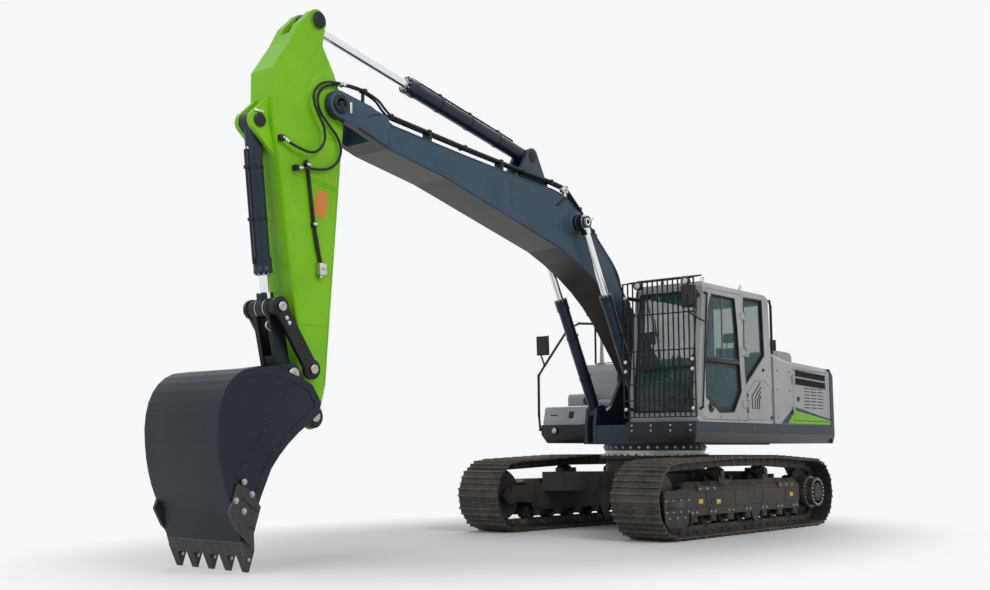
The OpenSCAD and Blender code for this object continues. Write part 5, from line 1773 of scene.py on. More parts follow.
    def toolbox(self, shop: Workshop) -> None:
        """Build the toolbox's latch and grooves, and the lamp on the dark box below it.

        Args:
            shop: The workshop.
        """
        slope = Vector((0.588 - 0.546, 0, 1.3353 - 1.495)).normalized()
        out = Vector((-slope.z, 0, slope.x))
        middle = Vector((0.567, -0.89, 1.415))
        turn = Matrix.Translation(middle) @ Matrix((out, (0, 1, 0), -slope)).transposed().to_4x4()
        latch = shop.join("latch", [shop.block("case", (-0.002, -0.035, -0.045), (0.012, 0.035, 0.045),
            0.004), shop.block("key", (0.010, -0.012, -0.030), (0.018, 0.012, 0.018), 0.003)])
        latch.data.transform(turn)
        # Painted shade: the lid's grooves are black strips on the surface, standing in for the shade in
        # them.
        grooves = []
        for y in (-0.28, 0.28):
            groove = shop.block("groove", (-0.001, y - 0.060, -0.008), (0.0015, y + 0.060, 0.008), 0.001)
            groove.data.transform(turn)
            grooves.append(groove)
        lid = shop.join("toolbox_lid_details",
            [shop.dress(latch, Finish.PLASTIC), shop.dress(shop.join("grooves", grooves), Finish.BLACK)])
        shop.place(lid, "toolbox_lid", "black_paint")
        parts = []
        lamp = shop.turned("lamp", (0.603, -1.13, 1.215), (1, -1.13, 1.215), (
            (0, 0.046), (0.020, 0.046), (0.024, 0.042), (0.022, 0.038)), 30)
        lens = shop.turned("lens", (0.603, -1.13, 1.215), (1, -1.13, 1.215),
            ((0.012, 0.040), (0.020, 0.038), (0.027, 0.022), (0.029, 0)), 30)
        parts += [shop.dress(lamp, Finish.PLASTIC), shop.dress(lens, Finish.LENS)]
        shop.place(shop.join("deck_lamp", parts), "house", "black_paint")

    def swing_drive(self, shop: Workshop) -> None:
        """Build the swing motor and the valves between the boom's brackets and the engine bay.

        Args:
            shop: The workshop.
        """
        parts = []
        motor = shop.turned("motor", (-0.28, 0, 1.050), (-0.28, 0, 3),
            ((0, 0.17), (0.02, 0.17), (0.02, 0.14), (0.16, 0.14), (0.18, 0.155), (0.20, 0.155),
            (0.22, 0.12), (0.36, 0.115), (0.39, 0.095), (0.39, 0)), 40)
        parts.append(shop.dress(motor, Finish.BLACK))
        rows = [facing((-0.28 + 0.148 * math.cos(a), 0.148 * math.sin(a), 1.248), (0, 0, 1))
            for a in (math.tau * s / 12 for s in range(12))]
        parts.append(shop.bolts(0.010, 0.008, rows, Finish.STEEL))
        valve = shop.block("valve", (-0.58, -0.13, 1.30), (-0.46, 0.13, 1.50), 0.010)
        foot = shop.block("foot", (-0.56, -0.11, 1.074), (-0.48, 0.11, 1.305), 0.006)
        parts.append(shop.dress(shop.join("valves", [valve, foot]), Finish.BLACK))
        parts.append(shop.bolts(0.016, 0.018, [facing((-0.46, y, z), (1, 0, 0))
            for y in (-0.09, -0.03, 0.03, 0.09) for z in (1.36, 1.45)], Finish.FITTING))
        shop.place(shop.join("swing_drive", parts), "house", "black_paint")

    def build(self, shop: Workshop) -> None:
        """Build the upper frame's details.

        Args:
            shop: The workshop.
        """
        self.decks(shop)
        self.counterweight(shop)
        self.tank(shop)
        self.toolbox(shop)
        self.swing_drive(shop)


# Cab
@dataclass
class Cushion:
    """One padded part of the seat, swelled by a cloth simulation."""

    name: str
    low: tuple
    high: tuple
    lean: float
    pivot: tuple
    channels: tuple
    cap: float = 0.022
    voxel: float = 0.011

    def build(self, shop: Workshop) -> bpy.types.Object:
        """Return the swelled cushion with its sewn channels.

        Args:
            shop: The workshop.

        Returns:
            The cushion, still in the machine's frame.
        """
        piece = shop.block(self.name, self.low, self.high, 0.030)
        shop.pick(piece)
        remesh = piece.modifiers.new("remesh", "REMESH")
        remesh.mode = "VOXEL"
        remesh.voxel_size = self.voxel
        bpy.ops.object.modifier_apply(modifier=remesh.name)
        rest = [vertex.co.copy() for vertex in piece.data.vertices]
        self.swell(piece, rest)
        self.sew(piece)
        shop.pick(piece)
        smooth = piece.modifiers.new("smooth", "SUBSURF")
        smooth.levels = 1
        smooth.render_levels = 1
        bpy.ops.object.modifier_apply(modifier=smooth.name)
        turn = Matrix.Translation(self.pivot) @ Matrix.Rotation(self.lean, 4,
            "Y") @ Matrix.Translation(-Vector(self.pivot))
        piece.data.transform(turn)
        return piece

    def swell(self, piece: bpy.types.Object, rest: list) -> None:
        """Blow the cushion up a little and cap how far each point moves.

        Args:
            piece: The cushion.
            rest: Its points before it swells.
        """
        cloth = piece.modifiers.new("cloth", "CLOTH")
        cloth.settings.use_pressure = True
        cloth.settings.uniform_pressure_force = 4.0
        cloth.settings.effector_weights.gravity = 0.0
        cloth.settings.quality = 4
        for frame in range(1, 13):
            bpy.context.scene.frame_set(frame)
        bpy.ops.object.modifier_apply(modifier=cloth.name)
        bpy.context.scene.frame_set(1)
        for vertex, start in zip(piece.data.vertices, rest):
            move = vertex.co - start
            if move.length > self.cap:
                vertex.co = start + move.normalized() * self.cap

    def sew(self, piece: bpy.types.Object) -> None:
        """Press the sewn channels into the cushion, along its own lines.

        Args:
            piece: The piece.
        """
        middle = (Vector(self.low) + Vector(self.high)) / 2
        for vertex in piece.data.vertices:
            away = vertex.co - middle
            depth = 0.0
            for axis, offset in self.channels:
                depth = max(depth, 1 - abs(away[axis] - offset) / 0.016)
            if depth > 0:
                vertex.co -= away.normalized() * 0.008 * depth


@dataclass
class Cab:
    """The cab's windows, door, outer fittings and inside."""

    face: float = 1.355
    inner_face: float = 0.450
    seat_y: float = 0.9025
    floor: float = 1.340
    upper: tuple = ((0.245, 2.015), (1.030, 2.015), (0.940, 2.605), (0.870, 2.755), (0.330, 2.755),
        (0.280, 2.405))
    lower: tuple = ((0.215, 1.665), (0.245, 1.980), (1.030, 1.980), (1.035, 1.570), (0.735, 1.405),
        (0.400, 1.420))
    quarter: tuple = ((0.075, 1.775), (0.110, 2.205), (0.095, 2.785), (-0.360, 2.795), (-0.385, 2.125))
    side: tuple = ((-0.420, 2.785), (-0.440, 2.105), (-0.300, 1.905), (0.955, 1.755), (1.025, 1.755),
        (0.935, 2.775))
    bars: tuple = (((-0.267, 1.781), (-0.049, 1.611), (-0.058, 1.460)),
        ((-0.282, 1.729), (-0.125, 1.596), (-0.124, 1.461)),
        ((-0.279, 1.677), (-0.186, 1.572), (-0.179, 1.463)),
        ((-0.275, 1.619), (-0.234, 1.565), (-0.235, 1.464)))

    def windows(self, shop: Workshop) -> None:
        """Build the black seals and dark glass borders round the cab's and the door's windows.

        Args:
            shop: The workshop.
        """
        top, low = self.face + 0.0035, self.face - 0.020
        door = [frame_round(shop, "seal", self.upper, Axis.Y, low, top, 0.014, 0.004),
                frame_round(shop, "seal", self.lower, Axis.Y, low, top, 0.014, 0.004)]
        pane = self.face - 0.0205
        door.append(frame_round(shop, "border", self.upper, Axis.Y, pane - 0.001, pane + 0.0008, -0.002,
            0.014))
        door.append(frame_round(shop, "border", self.lower, Axis.Y, pane - 0.001, pane + 0.0008, -0.002,
            0.055))
        door.append(shop.block("rear_band", (0.268, pane - 0.001, 2.02), (0.330, pane + 0.001, 2.75), 0))
        door.append(shop.block("mid_rail", (0.24, self.face - 0.030, 1.976),
            (1.035, self.face + 0.0045, 2.018), 0.004))
        shop.place(shop.join("door_seals", door), "cab_door", "black_paint", Finish.SEAL)
        slider = [shop.block("slider", (0.600, self.face - 0.024, 2.020), (0.624, self.face - 0.014, 2.750),
            0.003), shop.block("sill", (0.255, self.face - 0.024, 2.022), (1.02, self.face - 0.012, 2.036),
            0.003)]
        shop.place(shop.join("sliding_window_bars", slider), "cab_door", "silver_paint", Finish.GREY_PLASTIC)
        fixed = [frame_round(shop, "seal", self.quarter, Axis.Y, low, top, 0.018, 0.004),
            frame_round(shop, "border", self.quarter, Axis.Y, pane - 0.001, pane + 0.0008, -0.002, 0.030)]
        fixed.append(frame_round(shop, "seal", self.side, Axis.Y, self.inner_face - 0.0035,
            self.inner_face + 0.020, 0.016, 0.004))
        rear = ((0.560, 2.145), (1.245, 2.145), (1.245, 2.775), (0.560, 2.775))
        fixed.append(frame_round(shop, "seal", rear, Axis.X, -0.5835, -0.560, 0.016, 0.004))
        shop.place(shop.join("cab_seals", fixed), "house", "black_paint", Finish.SEAL)

    def windscreen(self, shop: Workshop) -> None:
        """Build the windscreen's seal and its wiper.

        Args:
            shop: The workshop.
        """
        foot, head = Vector((1.229, 0, 1.41)), Vector((1.071, 0, 2.79))
        bars = []
        for y in (0.520, 1.285):
            bars.append(shop.tube("seal", [(foot.x, y, foot.z), (1.236, y, 1.620), (head.x, y, head.z)],
                0.011, False))
        for z, x in ((1.405, 1.2285), (2.790, 1.072)):
            bars.append(shop.tube("seal", [(x, 0.520, z), (x, 1.285, z)], 0.011, False))
        bars.append(shop.tube("split", [(1.210, 0.52, 1.90), (1.210, 1.285, 1.90)], 0.012, False))
        shop.place(shop.join("windscreen_seal", bars), "house", "black_paint", Finish.SEAL)
        arm = shop.tube("arm", [(1.090, 0.60, 2.76), (1.120, 0.66, 2.60), (1.172, 0.80, 2.26)], 0.006)
        blade = shop.rod("blade", (1.132, 0.74, 2.49), (1.206, 0.86, 2.02), 0.007, 8)
        hub = shop.turned("hub", (1.075, 0.60, 2.76), (2, 0.60, 2.76),
            ((0, 0.022), (0.020, 0.022), (0.026, 0.016), (0.026, 0)), 18)
        shop.place(shop.join("wiper", [arm, blade, hub]), "house", "black_paint", Finish.PLASTIC)

    def door_parts(self, shop: Workshop) -> None:
        """Build the door's round handle, its lock, its grip and its rivets.

        Args:
            shop: The workshop.
        """
        parts = []
        x, z = 0.938, 1.455
        dish = shop.on_pin("dish", (x, z), self.face - 0.001, (
            (0, 0.064), (0.005, 0.063), (0.008, 0.056), (0.004, 0.048), (0.0025, 0.040), (0.0025, 0)), 36)
        pull = shop.plate("pull", ((x - 0.040, z - 0.018), (x + 0.030, z - 0.024), (x + 0.042, z + 0.004),
            (x + 0.020, z + 0.026), (x - 0.034, z + 0.020)), Axis.Y, self.face + 0.001, self.face + 0.0115,
            0.004)
        parts += [shop.dress(dish, Finish.PLASTIC), shop.dress(pull, Finish.BLACK)]
        lock = shop.on_pin("lock", (x - 0.02, z), self.face + 0.010,
            ((0, 0.008), (0.004, 0.008), (0.004, 0)), 14)
        parts.append(shop.dress(lock, Finish.STEEL))
        grip = shop.block("grip", (0.955, self.face - 0.012, 2.36), (0.985, self.face + 0.006, 2.44), 0.004)
        parts.append(shop.dress(grip, Finish.PLASTIC))
        parts.append(shop.bolts(0.006, 0.004,
            [facing((u, self.face, v), (0, 1, 0)) for u,
            v in ((0.30, 1.345), (0.72, 1.350), (1.08, 1.345), (0.205, 2.58), (0.19, 2.18))],
            Finish.PLASTIC))
        shop.place(shop.join("door_details", parts), "cab_door", "black_paint")

    def panels(self, shop: Workshop) -> None:
        """Build the slanted slots, knobs, seams and bolts on the cab's shell.

        Args:
            shop: The workshop.
        """
        parts = []
        # Painted shade: the slanted slots are black strips on the shell, standing in for the shade inside
        # them.
        grooves = []
        for bar in self.bars:
            route = [(x, self.face + 0.0005, z) for x, z in bar]
            grooves.append(shop.tube("slot", route, 0.0075, False, 2))
        parts.append(shop.dress(shop.join("slots", grooves), Finish.BLACK))
        panel = ((0.070, 1.330), (0.070, 1.640), (-0.130, 1.800), (-0.400, 1.815), (-0.560, 1.700),
            (-0.570, 1.330))
        seam = shop.tube("seam", [(x, self.face + 0.0002, z) for x, z in panel + panel[:1]], 0.0022, False,
            1)
        parts.append(shop.dress(seam, Finish.SLATE_DARK))
        knobs = shop.repeat("knobs", shop.turned("knob", (0, 0, 0), (0, 0, 1), (
            (0, 0.016), (0.006, 0.016), (0.009, 0.020), (0.016, 0.019), (0.019, 0.014), (0.019, 0)), 20), [
            facing((x, self.face - 0.001, z), (0, 1, 0)) for x, z in ((-0.353, 1.942), (-0.545, 1.365))])
        parts.append(shop.dress(knobs, Finish.PLASTIC))
        key = shop.on_pin("key", (-0.347, 1.564), self.face - 0.001,
            ((0, 0.013), (0.005, 0.012), (0.005, 0.007), (0.003, 0)), 18)
        parts.append(shop.dress(key, Finish.FITTING))
        strips = [shop.block("strip", (0.052, self.face - 0.001, z), (0.066, self.face + 0.010, z + 0.04),
            0.003) for z in (1.41, 1.60)]
        parts.append(shop.dress(shop.join("strips", strips), Finish.PLASTIC))
        parts.append(shop.bolts(0.015, 0.012, [facing((1.245, 1.356, 1.325), (0, 1, 0))], Finish.FITTING))
        gutter = shop.tube("gutter", ((1.045, 1.345, 2.822), (-0.500, 1.349, 2.812)), 0.006, False)
        parts.append(shop.dress(gutter, Finish.SILVER))
        for x in (0.845, -0.065):
            turns = [math.radians(step) for step in range(-90, 271, 20)]
            route = [(x + 0.030 * math.cos(turn), 1.225, 2.948 + 0.030 * math.sin(turn)) for turn in turns]
            eye = [shop.tube("eye", route, 0.007, False),
                shop.rod("stem", (x, 1.225, 2.890), (x, 1.225, 2.921), 0.011, 12)]
            parts.append(shop.dress(shop.join("lifting_eye", eye), Finish.FITTING))
        aerial = shop.turned("aerial", (0.353, 1.15, 2.900), (0.353, 1.15, 4),
            ((0, 0.020), (0.010, 0.020), (0.020, 0.010), (0.030, 0.008), (0.030, 0)), 18)
        parts.append(shop.dress(aerial, Finish.PLASTIC))
        hatch = frame_round(shop, "hatch", ((-0.10, 0.62), (0.62, 0.62), (0.62, 1.18), (-0.10, 1.18)),
            Axis.Z, 2.896, 2.910, 0.018, 0.012)
        parts.append(shop.dress(hatch, Finish.SEAL))
        shop.place(shop.join("cab_details", parts), "house", "silver_paint")

    def lamps(self, shop: Workshop) -> None:
        """Build the lenses and rims of the two round lamps under the visor, and the guard's bolts.

        Args:
            shop: The workshop.
        """
        parts = []
        for y in (0.660, 1.297):
            rim = shop.turned("rim", (1.364, y, 2.865), (2, y, 2.865),
                ((0, 0.049), (0.008, 0.051), (0.012, 0.048), (0.012, 0.041), (0.004, 0.040)), 32)
            lens = shop.turned("lens", (1.364, y, 2.865), (2, y, 2.865),
                ((0.004, 0.041), (0.010, 0.034), (0.013, 0.018), (0.014, 0)), 32)
            parts += [shop.dress(rim, Finish.PLASTIC), shop.dress(lens, Finish.LENS)]
        parts.append(shop.bolts(0.016, 0.012, [facing((1.320, y, z), (1, 0, 0)) for y in (0.452, 1.345)
            for z in (1.435, 1.875, 1.985, 2.735)], Finish.FITTING))
        shop.place(shop.join("guard_details", parts), "house", "black_paint")

    def mirror_faces(self, shop: Workshop) -> None:
        """Build the mirrors' shells, glass and arms.

        Args:
            shop: The workshop.
        """
        left = shop.block("shell", (1.436, 1.312, 2.575), (1.4685, 1.468, 2.790), 0.012)
        right = shop.block("shell", (0.542, -1.443, 2.228), (0.5695, -1.282, 2.452), 0.012)
        shells = [shop.dress(shop.join("shells", [left, right]), Finish.PLASTIC)]
        glass = [shop.block("glass", (1.4165, 1.325, 2.59), (1.4235, 1.455, 2.775), 0.002),
                 shop.block("glass", (0.5205, -1.43, 2.24), (0.5275, -1.295, 2.44), 0.002)]
        for piece in glass:
            middle = sum((v.co for v in piece.data.vertices), Vector()) / len(piece.data.vertices)
            piece.data.transform(Matrix.Translation(middle) @ Matrix.Rotation(0.068, 4,
                "Y") @ Matrix.Translation(-middle))
        shells.append(shop.dress(shop.join("glasses", glass), Finish.CHROME))
        arm = shop.tube("arm", [(1.4695, 1.385, 2.70), (1.4735, 1.385, 2.66), (1.468, 1.385, 2.56),
            (1.43, 1.388, 2.49), (1.33, 1.392, 2.47), (1.225, 1.391, 2.44), (1.100, 1.391, 2.42)], 0.011)
        shells.append(shop.dress(arm, Finish.BLACK))
        shop.place(shop.join("mirror_shells", shells), "house", "black_paint")

    def seat(self, shop: Workshop) -> None:
        """Build the operator's seat from cushions, its base, its arm boxes and its levers.

        Args:
            shop: The workshop.
        """
        y = self.seat_y
        pads = (Cushion("seat_cushion", (-0.205, y - 0.225, self.floor + 0.350),
            (0.262, y + 0.225, self.floor + 0.425), -0.06, (0, y, self.floor + 0.38),
            ((1, 0.0), (1, 0.12), (1, -0.12))), Cushion("seat_back",
            (-0.350, y - 0.215, self.floor + 0.470), (-0.275, y + 0.215, self.floor + 0.930), -0.17,
            (-0.30, y, self.floor + 0.47), ((2, 0.0), (2, 0.13), (2, -0.13))),
            Cushion("head_rest", (-0.355, y - 0.125, self.floor + 0.975),
            (-0.295, y + 0.125, self.floor + 1.110), -0.17, (-0.30, y, self.floor + 0.47), (), 0.012),)
        for pad in pads:
            made = pad.build(shop)
            shop.place(made, "house", "seat_cloth", Finish.SEAT, 60)
        parts = [shop.block("base", (-0.175, y - 0.175, self.floor + 0.001),
            (0.195, y + 0.175, self.floor + 0.10), 0.012),
            shop.block("bellows", (-0.150, y - 0.150, self.floor + 0.095),
            (0.170, y + 0.150, self.floor + 0.300), 0.020),
            shop.block("tray", (-0.170, y - 0.345, self.floor + 0.300),
            (0.190, y + 0.345, self.floor + 0.330), 0.006),
            *(shop.rod("post", (-0.385, y + side, self.floor + 0.90), (-0.400, y + side, self.floor + 1.03),
            0.007, 12) for side in (-0.05, 0.05)),
            shop.plate("shell", ((-0.300, self.floor + 0.34), (-0.320, self.floor + 0.42),
            (-0.400, self.floor + 0.90), (-0.418, self.floor + 0.90), (-0.345, self.floor + 0.42),
            (-0.320, self.floor + 0.33)), Axis.Y, y - 0.20, y + 0.20, 0.006)]
        for fold in range(5):
            parts.append(shop.block("fold", (-0.160, y - 0.160, self.floor + 0.112 + fold * 0.038),
                                    (0.180, y + 0.160, self.floor + 0.130 + fold * 0.038), 0.008))
        for middle in (y - 0.305, y + 0.305):
            arm = shop.plate("arm_box", ((-0.245, self.floor + 0.335), (0.06, self.floor + 0.335),
                (0.352, self.floor + 0.425), (0.355, self.floor + 0.500), (0.325, self.floor + 0.552),
                (-0.245, self.floor + 0.535)), Axis.Y, middle - 0.046, middle + 0.046, 0.012)
            rest = shop.block("arm_rest", (-0.235, middle - 0.040, self.floor + 0.525),
                (0.12, middle + 0.040, self.floor + 0.558), 0.012)
            boot = shop.turned("boot", (0.318, middle, self.floor + 0.535),
                (0.35, middle, self.floor + 0.72),
                ((0, 0.036), (0.012, 0.034), (0.018, 0.027), (0.030, 0.029), (0.036, 0.021), (0.048, 0.023),
                (0.054, 0.016), (0.14, 0.014), (0.15, 0.020), (0.17, 0.027), (0.21, 0.030), (0.235, 0.026),
                (0.245, 0.012), (0.245, 0)), 20)
            parts += [arm, rest, boot]
        body = shop.join("seat_frame", parts)
        shop.place(body, "house", "seat_cloth", Finish.GREY_PLASTIC)
        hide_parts("seat")

    def inside(self, shop: Workshop) -> None:
        """Build the floor mat, the pedals, the side console, the lining and the screen.

        Args:
            shop: The workshop.
        """
        parts = []
        mat = shop.block("mat", (-0.50, 0.512, self.floor + 0.001), (1.15, 1.292, self.floor + 0.009), 0.003)
        parts.append(shop.dress(mat, Finish.PLASTIC))
        levers = []
        y = self.seat_y
        for side in (-0.075, 0.075):
            levers.append(shop.tube("lever", [(0.86, y + side, self.floor + 0.01),
                (0.855, y + side, self.floor + 0.30), (0.80, y + side, self.floor + 0.46),
                (0.775, y + side * 1.7, self.floor + 0.66)], 0.011))
            levers.append(shop.rod("knob", (0.778, y + side * 1.65, self.floor + 0.62),
                (0.770, y + side * 1.8, self.floor + 0.74), 0.019, 16, 0.007))
            levers.append(shop.plate("pedal", ((0.84, self.floor + 0.015), (1.00, self.floor + 0.105),
                (1.00, self.floor + 0.118), (0.835, self.floor + 0.027)), Axis.Y, y + side - 0.045,
                y + side + 0.045, 0.004))
        parts.append(shop.dress(shop.join("levers", levers), Finish.PLASTIC))
        console = [shop.block("console", (-0.45, 0.512, self.floor + 0.01),
            (0.62, 0.550, self.floor + 0.50), 0.012),
            shop.block("rear_shelf", (-0.535, 0.52, self.floor + 0.01), (-0.44, 1.29, self.floor + 0.62),
            0.020), shop.block("lining", (-0.40, 0.56, 2.800), (0.80, 1.24, 2.828), 0.010),
            shop.block("post", (1.075, 0.515, self.floor + 0.30), (1.100, 0.545, self.floor + 0.86), 0.006)]
        parts.append(shop.dress(shop.join("console", console), Finish.GREY_PLASTIC))
        case = shop.block("case", (1.040, 0.515, self.floor + 0.86), (1.075, 0.700, self.floor + 1.010),
            0.008)
        screen = shop.block("screen", (1.036, 0.527, self.floor + 0.872),
            (1.041, 0.688, self.floor + 0.998), 0.002)
        parts += [shop.dress(case, Finish.PLASTIC), shop.dress(screen, Finish.SLATE_DARK)]
        shop.place(shop.join("cab_inside", parts), "house", "black_paint")

    def build(self, shop: Workshop) -> None:
        """Build the cab's details.

        Args:
            shop: The workshop.
        """
        self.windows(shop)
        self.windscreen(shop)
        self.door_parts(shop)
        self.panels(shop)
        self.lamps(shop)
        self.mirror_faces(shop)
        self.seat(shop)
        self.inside(shop)


# Boom, stick and cylinders
FOOT_PIN = (0.250, 1.880)
NOSE_PIN = (5.651, 4.135)
LIFT_EYE = (1.970, 3.570)
TIP_PIN = (5.869, 1.263)
ROCKER_PIN = (5.897, 1.677)
EAR_PIN = (6.127, 1.624)
CURL_EYE = (6.270, 2.200)
CURL_FOOT = (6.484, 3.825)
REACH_FOOT = (2.627, 4.258)
HEAD_PIN = (5.881, 4.895)


def from_pin(pin: Point, *steps: Point) -> list:
    """Return points given as steps from a pin."""
    return [(pin[0] + step[0], pin[1] + step[1]) for step in steps]


def eased(start: Point, pull: Point, end: Point, count: int) -> list:
    """Return points on a quadratic curve, as the part's source bends its outlines.

    Args:
        start: Where it starts.
        pull: The point that pulls it.
        end: Where it ends.
        count: How many pieces it has.

    Returns:
        The points.
    """
    points = []
    for step in range(count + 1):
        t = step / count
        points.append(tuple(a * (1 - t) ** 2 + b * 2 * t * (1 - t) + c * t * t for a, b,
            c in zip(start, pull, end)))
    return points


def flowing(route: Sequence[Point], steps: int = 4) -> list:
    """Return a smooth line through a hose's points.

    Args:
        route: The points that it runs through.
        steps: How many pieces each stretch is cut into.

    Returns:
        The points of the line.
    """
    points = [Vector(point) for point in route]
    padded = [points[0] * 2 - points[1]] + points + [points[-1] * 2 - points[-2]]
    line = []
    for a, b, c, d in zip(padded, padded[1:], padded[2:], padded[3:]):
        for step in range(steps):
            t = step / steps
            line.append(0.5 * (2 * b + (c - a) * t + (2 * a - 5 * b + 4 * c - d) * t * t
                + (3 * b - a - 3 * c + d) * t ** 3))
    return line + [points[-1]]


@dataclass(frozen=True)
class Hose:
    """One free hydraulic hose between two bodies, with a crimped fitting at each end."""

    name: str
    bodies: tuple
    route: tuple
    bend: tuple
    radius: float = 0.0125

    def build(self, shop: Workshop) -> None:
        """Build the hose and its fittings.

        Args:
            shop: The workshop.
        """
        line = flowing(self.route)
        tube = shop.tube(self.name, line, self.radius, False, 3)
        shop.ready(tube, Finish.HOSE, 60)
        shift = Vector((SLEW_X, 0, 0))
        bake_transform(tube)
        path = [tuple(point + shift) for point in line]
        length = sum((b - a).length for a, b in zip(line, line[1:]))
        2 * self.radius
        for body, end, inward, label in ((self.bodies[0], line[0], line[1], "near"),
                (self.bodies[1], line[-1], line[-2], "far")):
            piece = self.fitting(shop, end, inward)
            piece.name = f"{self.name}_{label}_end"
            shop.place(piece, body, "hose_steel", Finish.FITTING)

    def fitting(self, shop: Workshop, end: Vector, inward: Vector) -> bpy.types.Object:
        """Return a crimped ferrule, a swivel nut and a stub at one end of the hose.

        Args:
            shop: The workshop.
            end: Where it ends.
            inward: The next point of its line.

        Returns:
            The piece.
        """
        out = (end - inward).normalized()
        ferrule = shop.turned("ferrule", end - out * 0.050, end + out,
            ((0, self.radius), (0, self.radius + 0.0030), (0.012, self.radius + 0.0036),
            (0.016, self.radius + 0.0024), (0.026, self.radius + 0.0036), (0.040, self.radius + 0.0026),
            (0.050, self.radius - 0.002), (0.058, self.radius - 0.003)), 18)
        nut = shop.rod("nut", end + out * 0.004, end + out * 0.026, self.radius + 0.005, 6, 0.0015)
        return shop.join("fitting", [ferrule, nut])


@dataclass(frozen=True)
class Ram:
    """One hydraulic cylinder: details on its barrel and a painted eye on its rod."""

    name: str
    barrel_body: str
    rod_body: str
    foot: tuple
    eye: tuple
    sides: tuple
    radius: float
    rod: float
    barrel: float
    half: float
    eye_radius: float
    pipe: float
    bands: tuple

    def frame_at(self, pin: Point, side: float) -> Matrix:
        """Return the matrix of the cylinder's own axes at one of its pins.

        Args:
            pin: The pin, as x and z.
            side: The cylinder's middle across the machine.

        Returns:
            The matrix.
        """
        along = Vector((self.eye[0] - self.foot[0], 0, self.eye[1] - self.foot[1])).normalized()
        turn = Matrix((along, (0, 1, 0), (-along.z, 0, along.x))).transposed().to_4x4()
        return Matrix.Translation((pin[0], side, pin[1])) @ turn

    def barrel_parts(self, shop: Workshop) -> list:
        """Return the gland, its wiper and bolts, the bands and the oil pipe of one barrel.

        Args:
            shop: The workshop.

        Returns:
            The parts.
        """
        r, end = self.radius, self.barrel
        parts = []
        ring = shop.turned("gland", (end - 0.132, 0, 0), (end + 1, 0, 0),
            ((0, r), (0, r + 0.0105), (0.030, r + 0.0105), (0.034, r + 0.0095), (0.096, r + 0.0095),
            (0.100, r + 0.0115), (0.134, r + 0.0115), (0.138, r + 0.006), (0.138, self.rod + 0.018)), 36)
        parts.append(shop.dress(ring, Finish.NAVY))
        wiper = shop.turned("wiper", (end + 0.018, 0, 0), (end + 1, 0, 0),
            ((0, self.rod + 0.0165), (0.004, self.rod + 0.0172), (0.0055, self.rod + 0.010),
            (0.006, self.rod + 0.0006)), 32)
        parts.append(shop.dress(wiper, Finish.STEEL))
        heads = []
        for step in range(10):
            angle = math.tau * step / 10
            spot = (end + 0.006, (r - 0.002) * math.cos(angle), (r - 0.002) * math.sin(angle))
            heads.append(facing(spot, (1, 0, 0)))
        parts.append(shop.bolts(0.0075, 0.008, heads, Finish.STEEL))
        bands = []
        for along in self.bands:
            bands.append(shop.turned("band", (along - 0.016, 0, 0), (along + 1, 0, 0), (
                (0, r), (0, r + 0.004), (0.032, r + 0.004), (0.032, r)), 36))
            bands.append(shop.block("saddle", (along - 0.016, -0.020, r - 0.004),
                (along + 0.016, 0.020, self.pipe + 0.014), 0.004))
        parts.append(shop.dress(shop.join("bands", bands), Finish.BLACK))
        low = 0.82 * r
        pipe = shop.tube("pipe", ((end - 0.085, 0, low), (end - 0.085, 0, self.pipe),
            (end - 0.125, 0, self.pipe), (0.30, 0, self.pipe), (0.255, 0, self.pipe), (0.235, 0, low)),
            0.0105, False, 3)
        parts.append(shop.dress(pipe, Finish.BLACK))
        nuts = shop.join("nuts", [shop.rod("nut", (along, 0, low), (along, 0, low * 1.25), 0.019, 6, 0.002)
                                  for along in (end - 0.085, 0.235)])
        parts.append(shop.dress(nuts, Finish.FITTING))
        return parts

    def eye_parts(self, shop: Workshop, outer: bool) -> list:
        """Return the painted eye and neck of one rod, with the pin's keeper where it shows.

        Args:
            shop: The workshop.
            outer: True where the pin's keeper shows.

        Returns:
            The parts.
        """
        er, half = self.eye_radius + 0.0008, self.half
        parts = [shop.turned("eye", (0, -half, 0), (0, 1, 0),
            ((0.0005, 0.05), (0.0005, er - 0.006), (0.006, er), (2 * half - 0.006, er),
            (2 * half - 0.0005, er - 0.006), (2 * half - 0.0005, 0.05)), 44)]
        parts.append(shop.block("neck", (-self.eye_radius - 0.052, -half + 0.002, -self.rod - 0.0146),
                                (-self.eye_radius + 0.030, half - 0.002, self.rod + 0.0146), 0.012))
        painted = shop.dress(shop.join("painted", parts), Finish.BLACK)
        if not outer:
            return [painted]
        disc = shop.turned("disc", (0, half - 0.001, 0), (0, 1, 0),
            ((0, 0.0706), (0.0285, 0.0706), (0.0315, 0.068), (0.0315, 0.046), (0.027, 0.043),
            (0.027, 0.030), (0.031, 0.027), (0.031, 0)), 40)
        keeper = shop.block("keeper", (-0.012, half + 0.031, 0.040), (0.012, half + 0.038, 0.115), 0.003)
        return [painted, shop.dress(disc, Finish.BLACK), shop.dress(keeper, Finish.FITTING)]

    def build(self, shop: Workshop) -> None:
        """Build the cylinder's details on both of its bodies.

        Args:
            shop: The workshop.
        """
        for side in self.sides:
            label = "" if len(self.sides) == 1 else ("_left" if side > 0 else "_right")
            barrel = shop.join(f"{self.name}_barrel_details{label}", self.barrel_parts(shop))
            eye = shop.join(f"{self.name}_rod_eye{label}", self.eye_parts(shop, len(self.sides) > 1))
            if side < 0:
                for piece in (barrel, eye):
                    piece.data.transform(Matrix.Scale(-1, 4, (0, 1, 0)))
                    piece.data.flip_normals()
            barrel.data.transform(self.frame_at(self.foot, side))
            eye.data.transform(self.frame_at(self.eye, side))
            shop.place(barrel, self.barrel_body, "black_paint")
            shop.place(eye, self.rod_body, "black_paint")


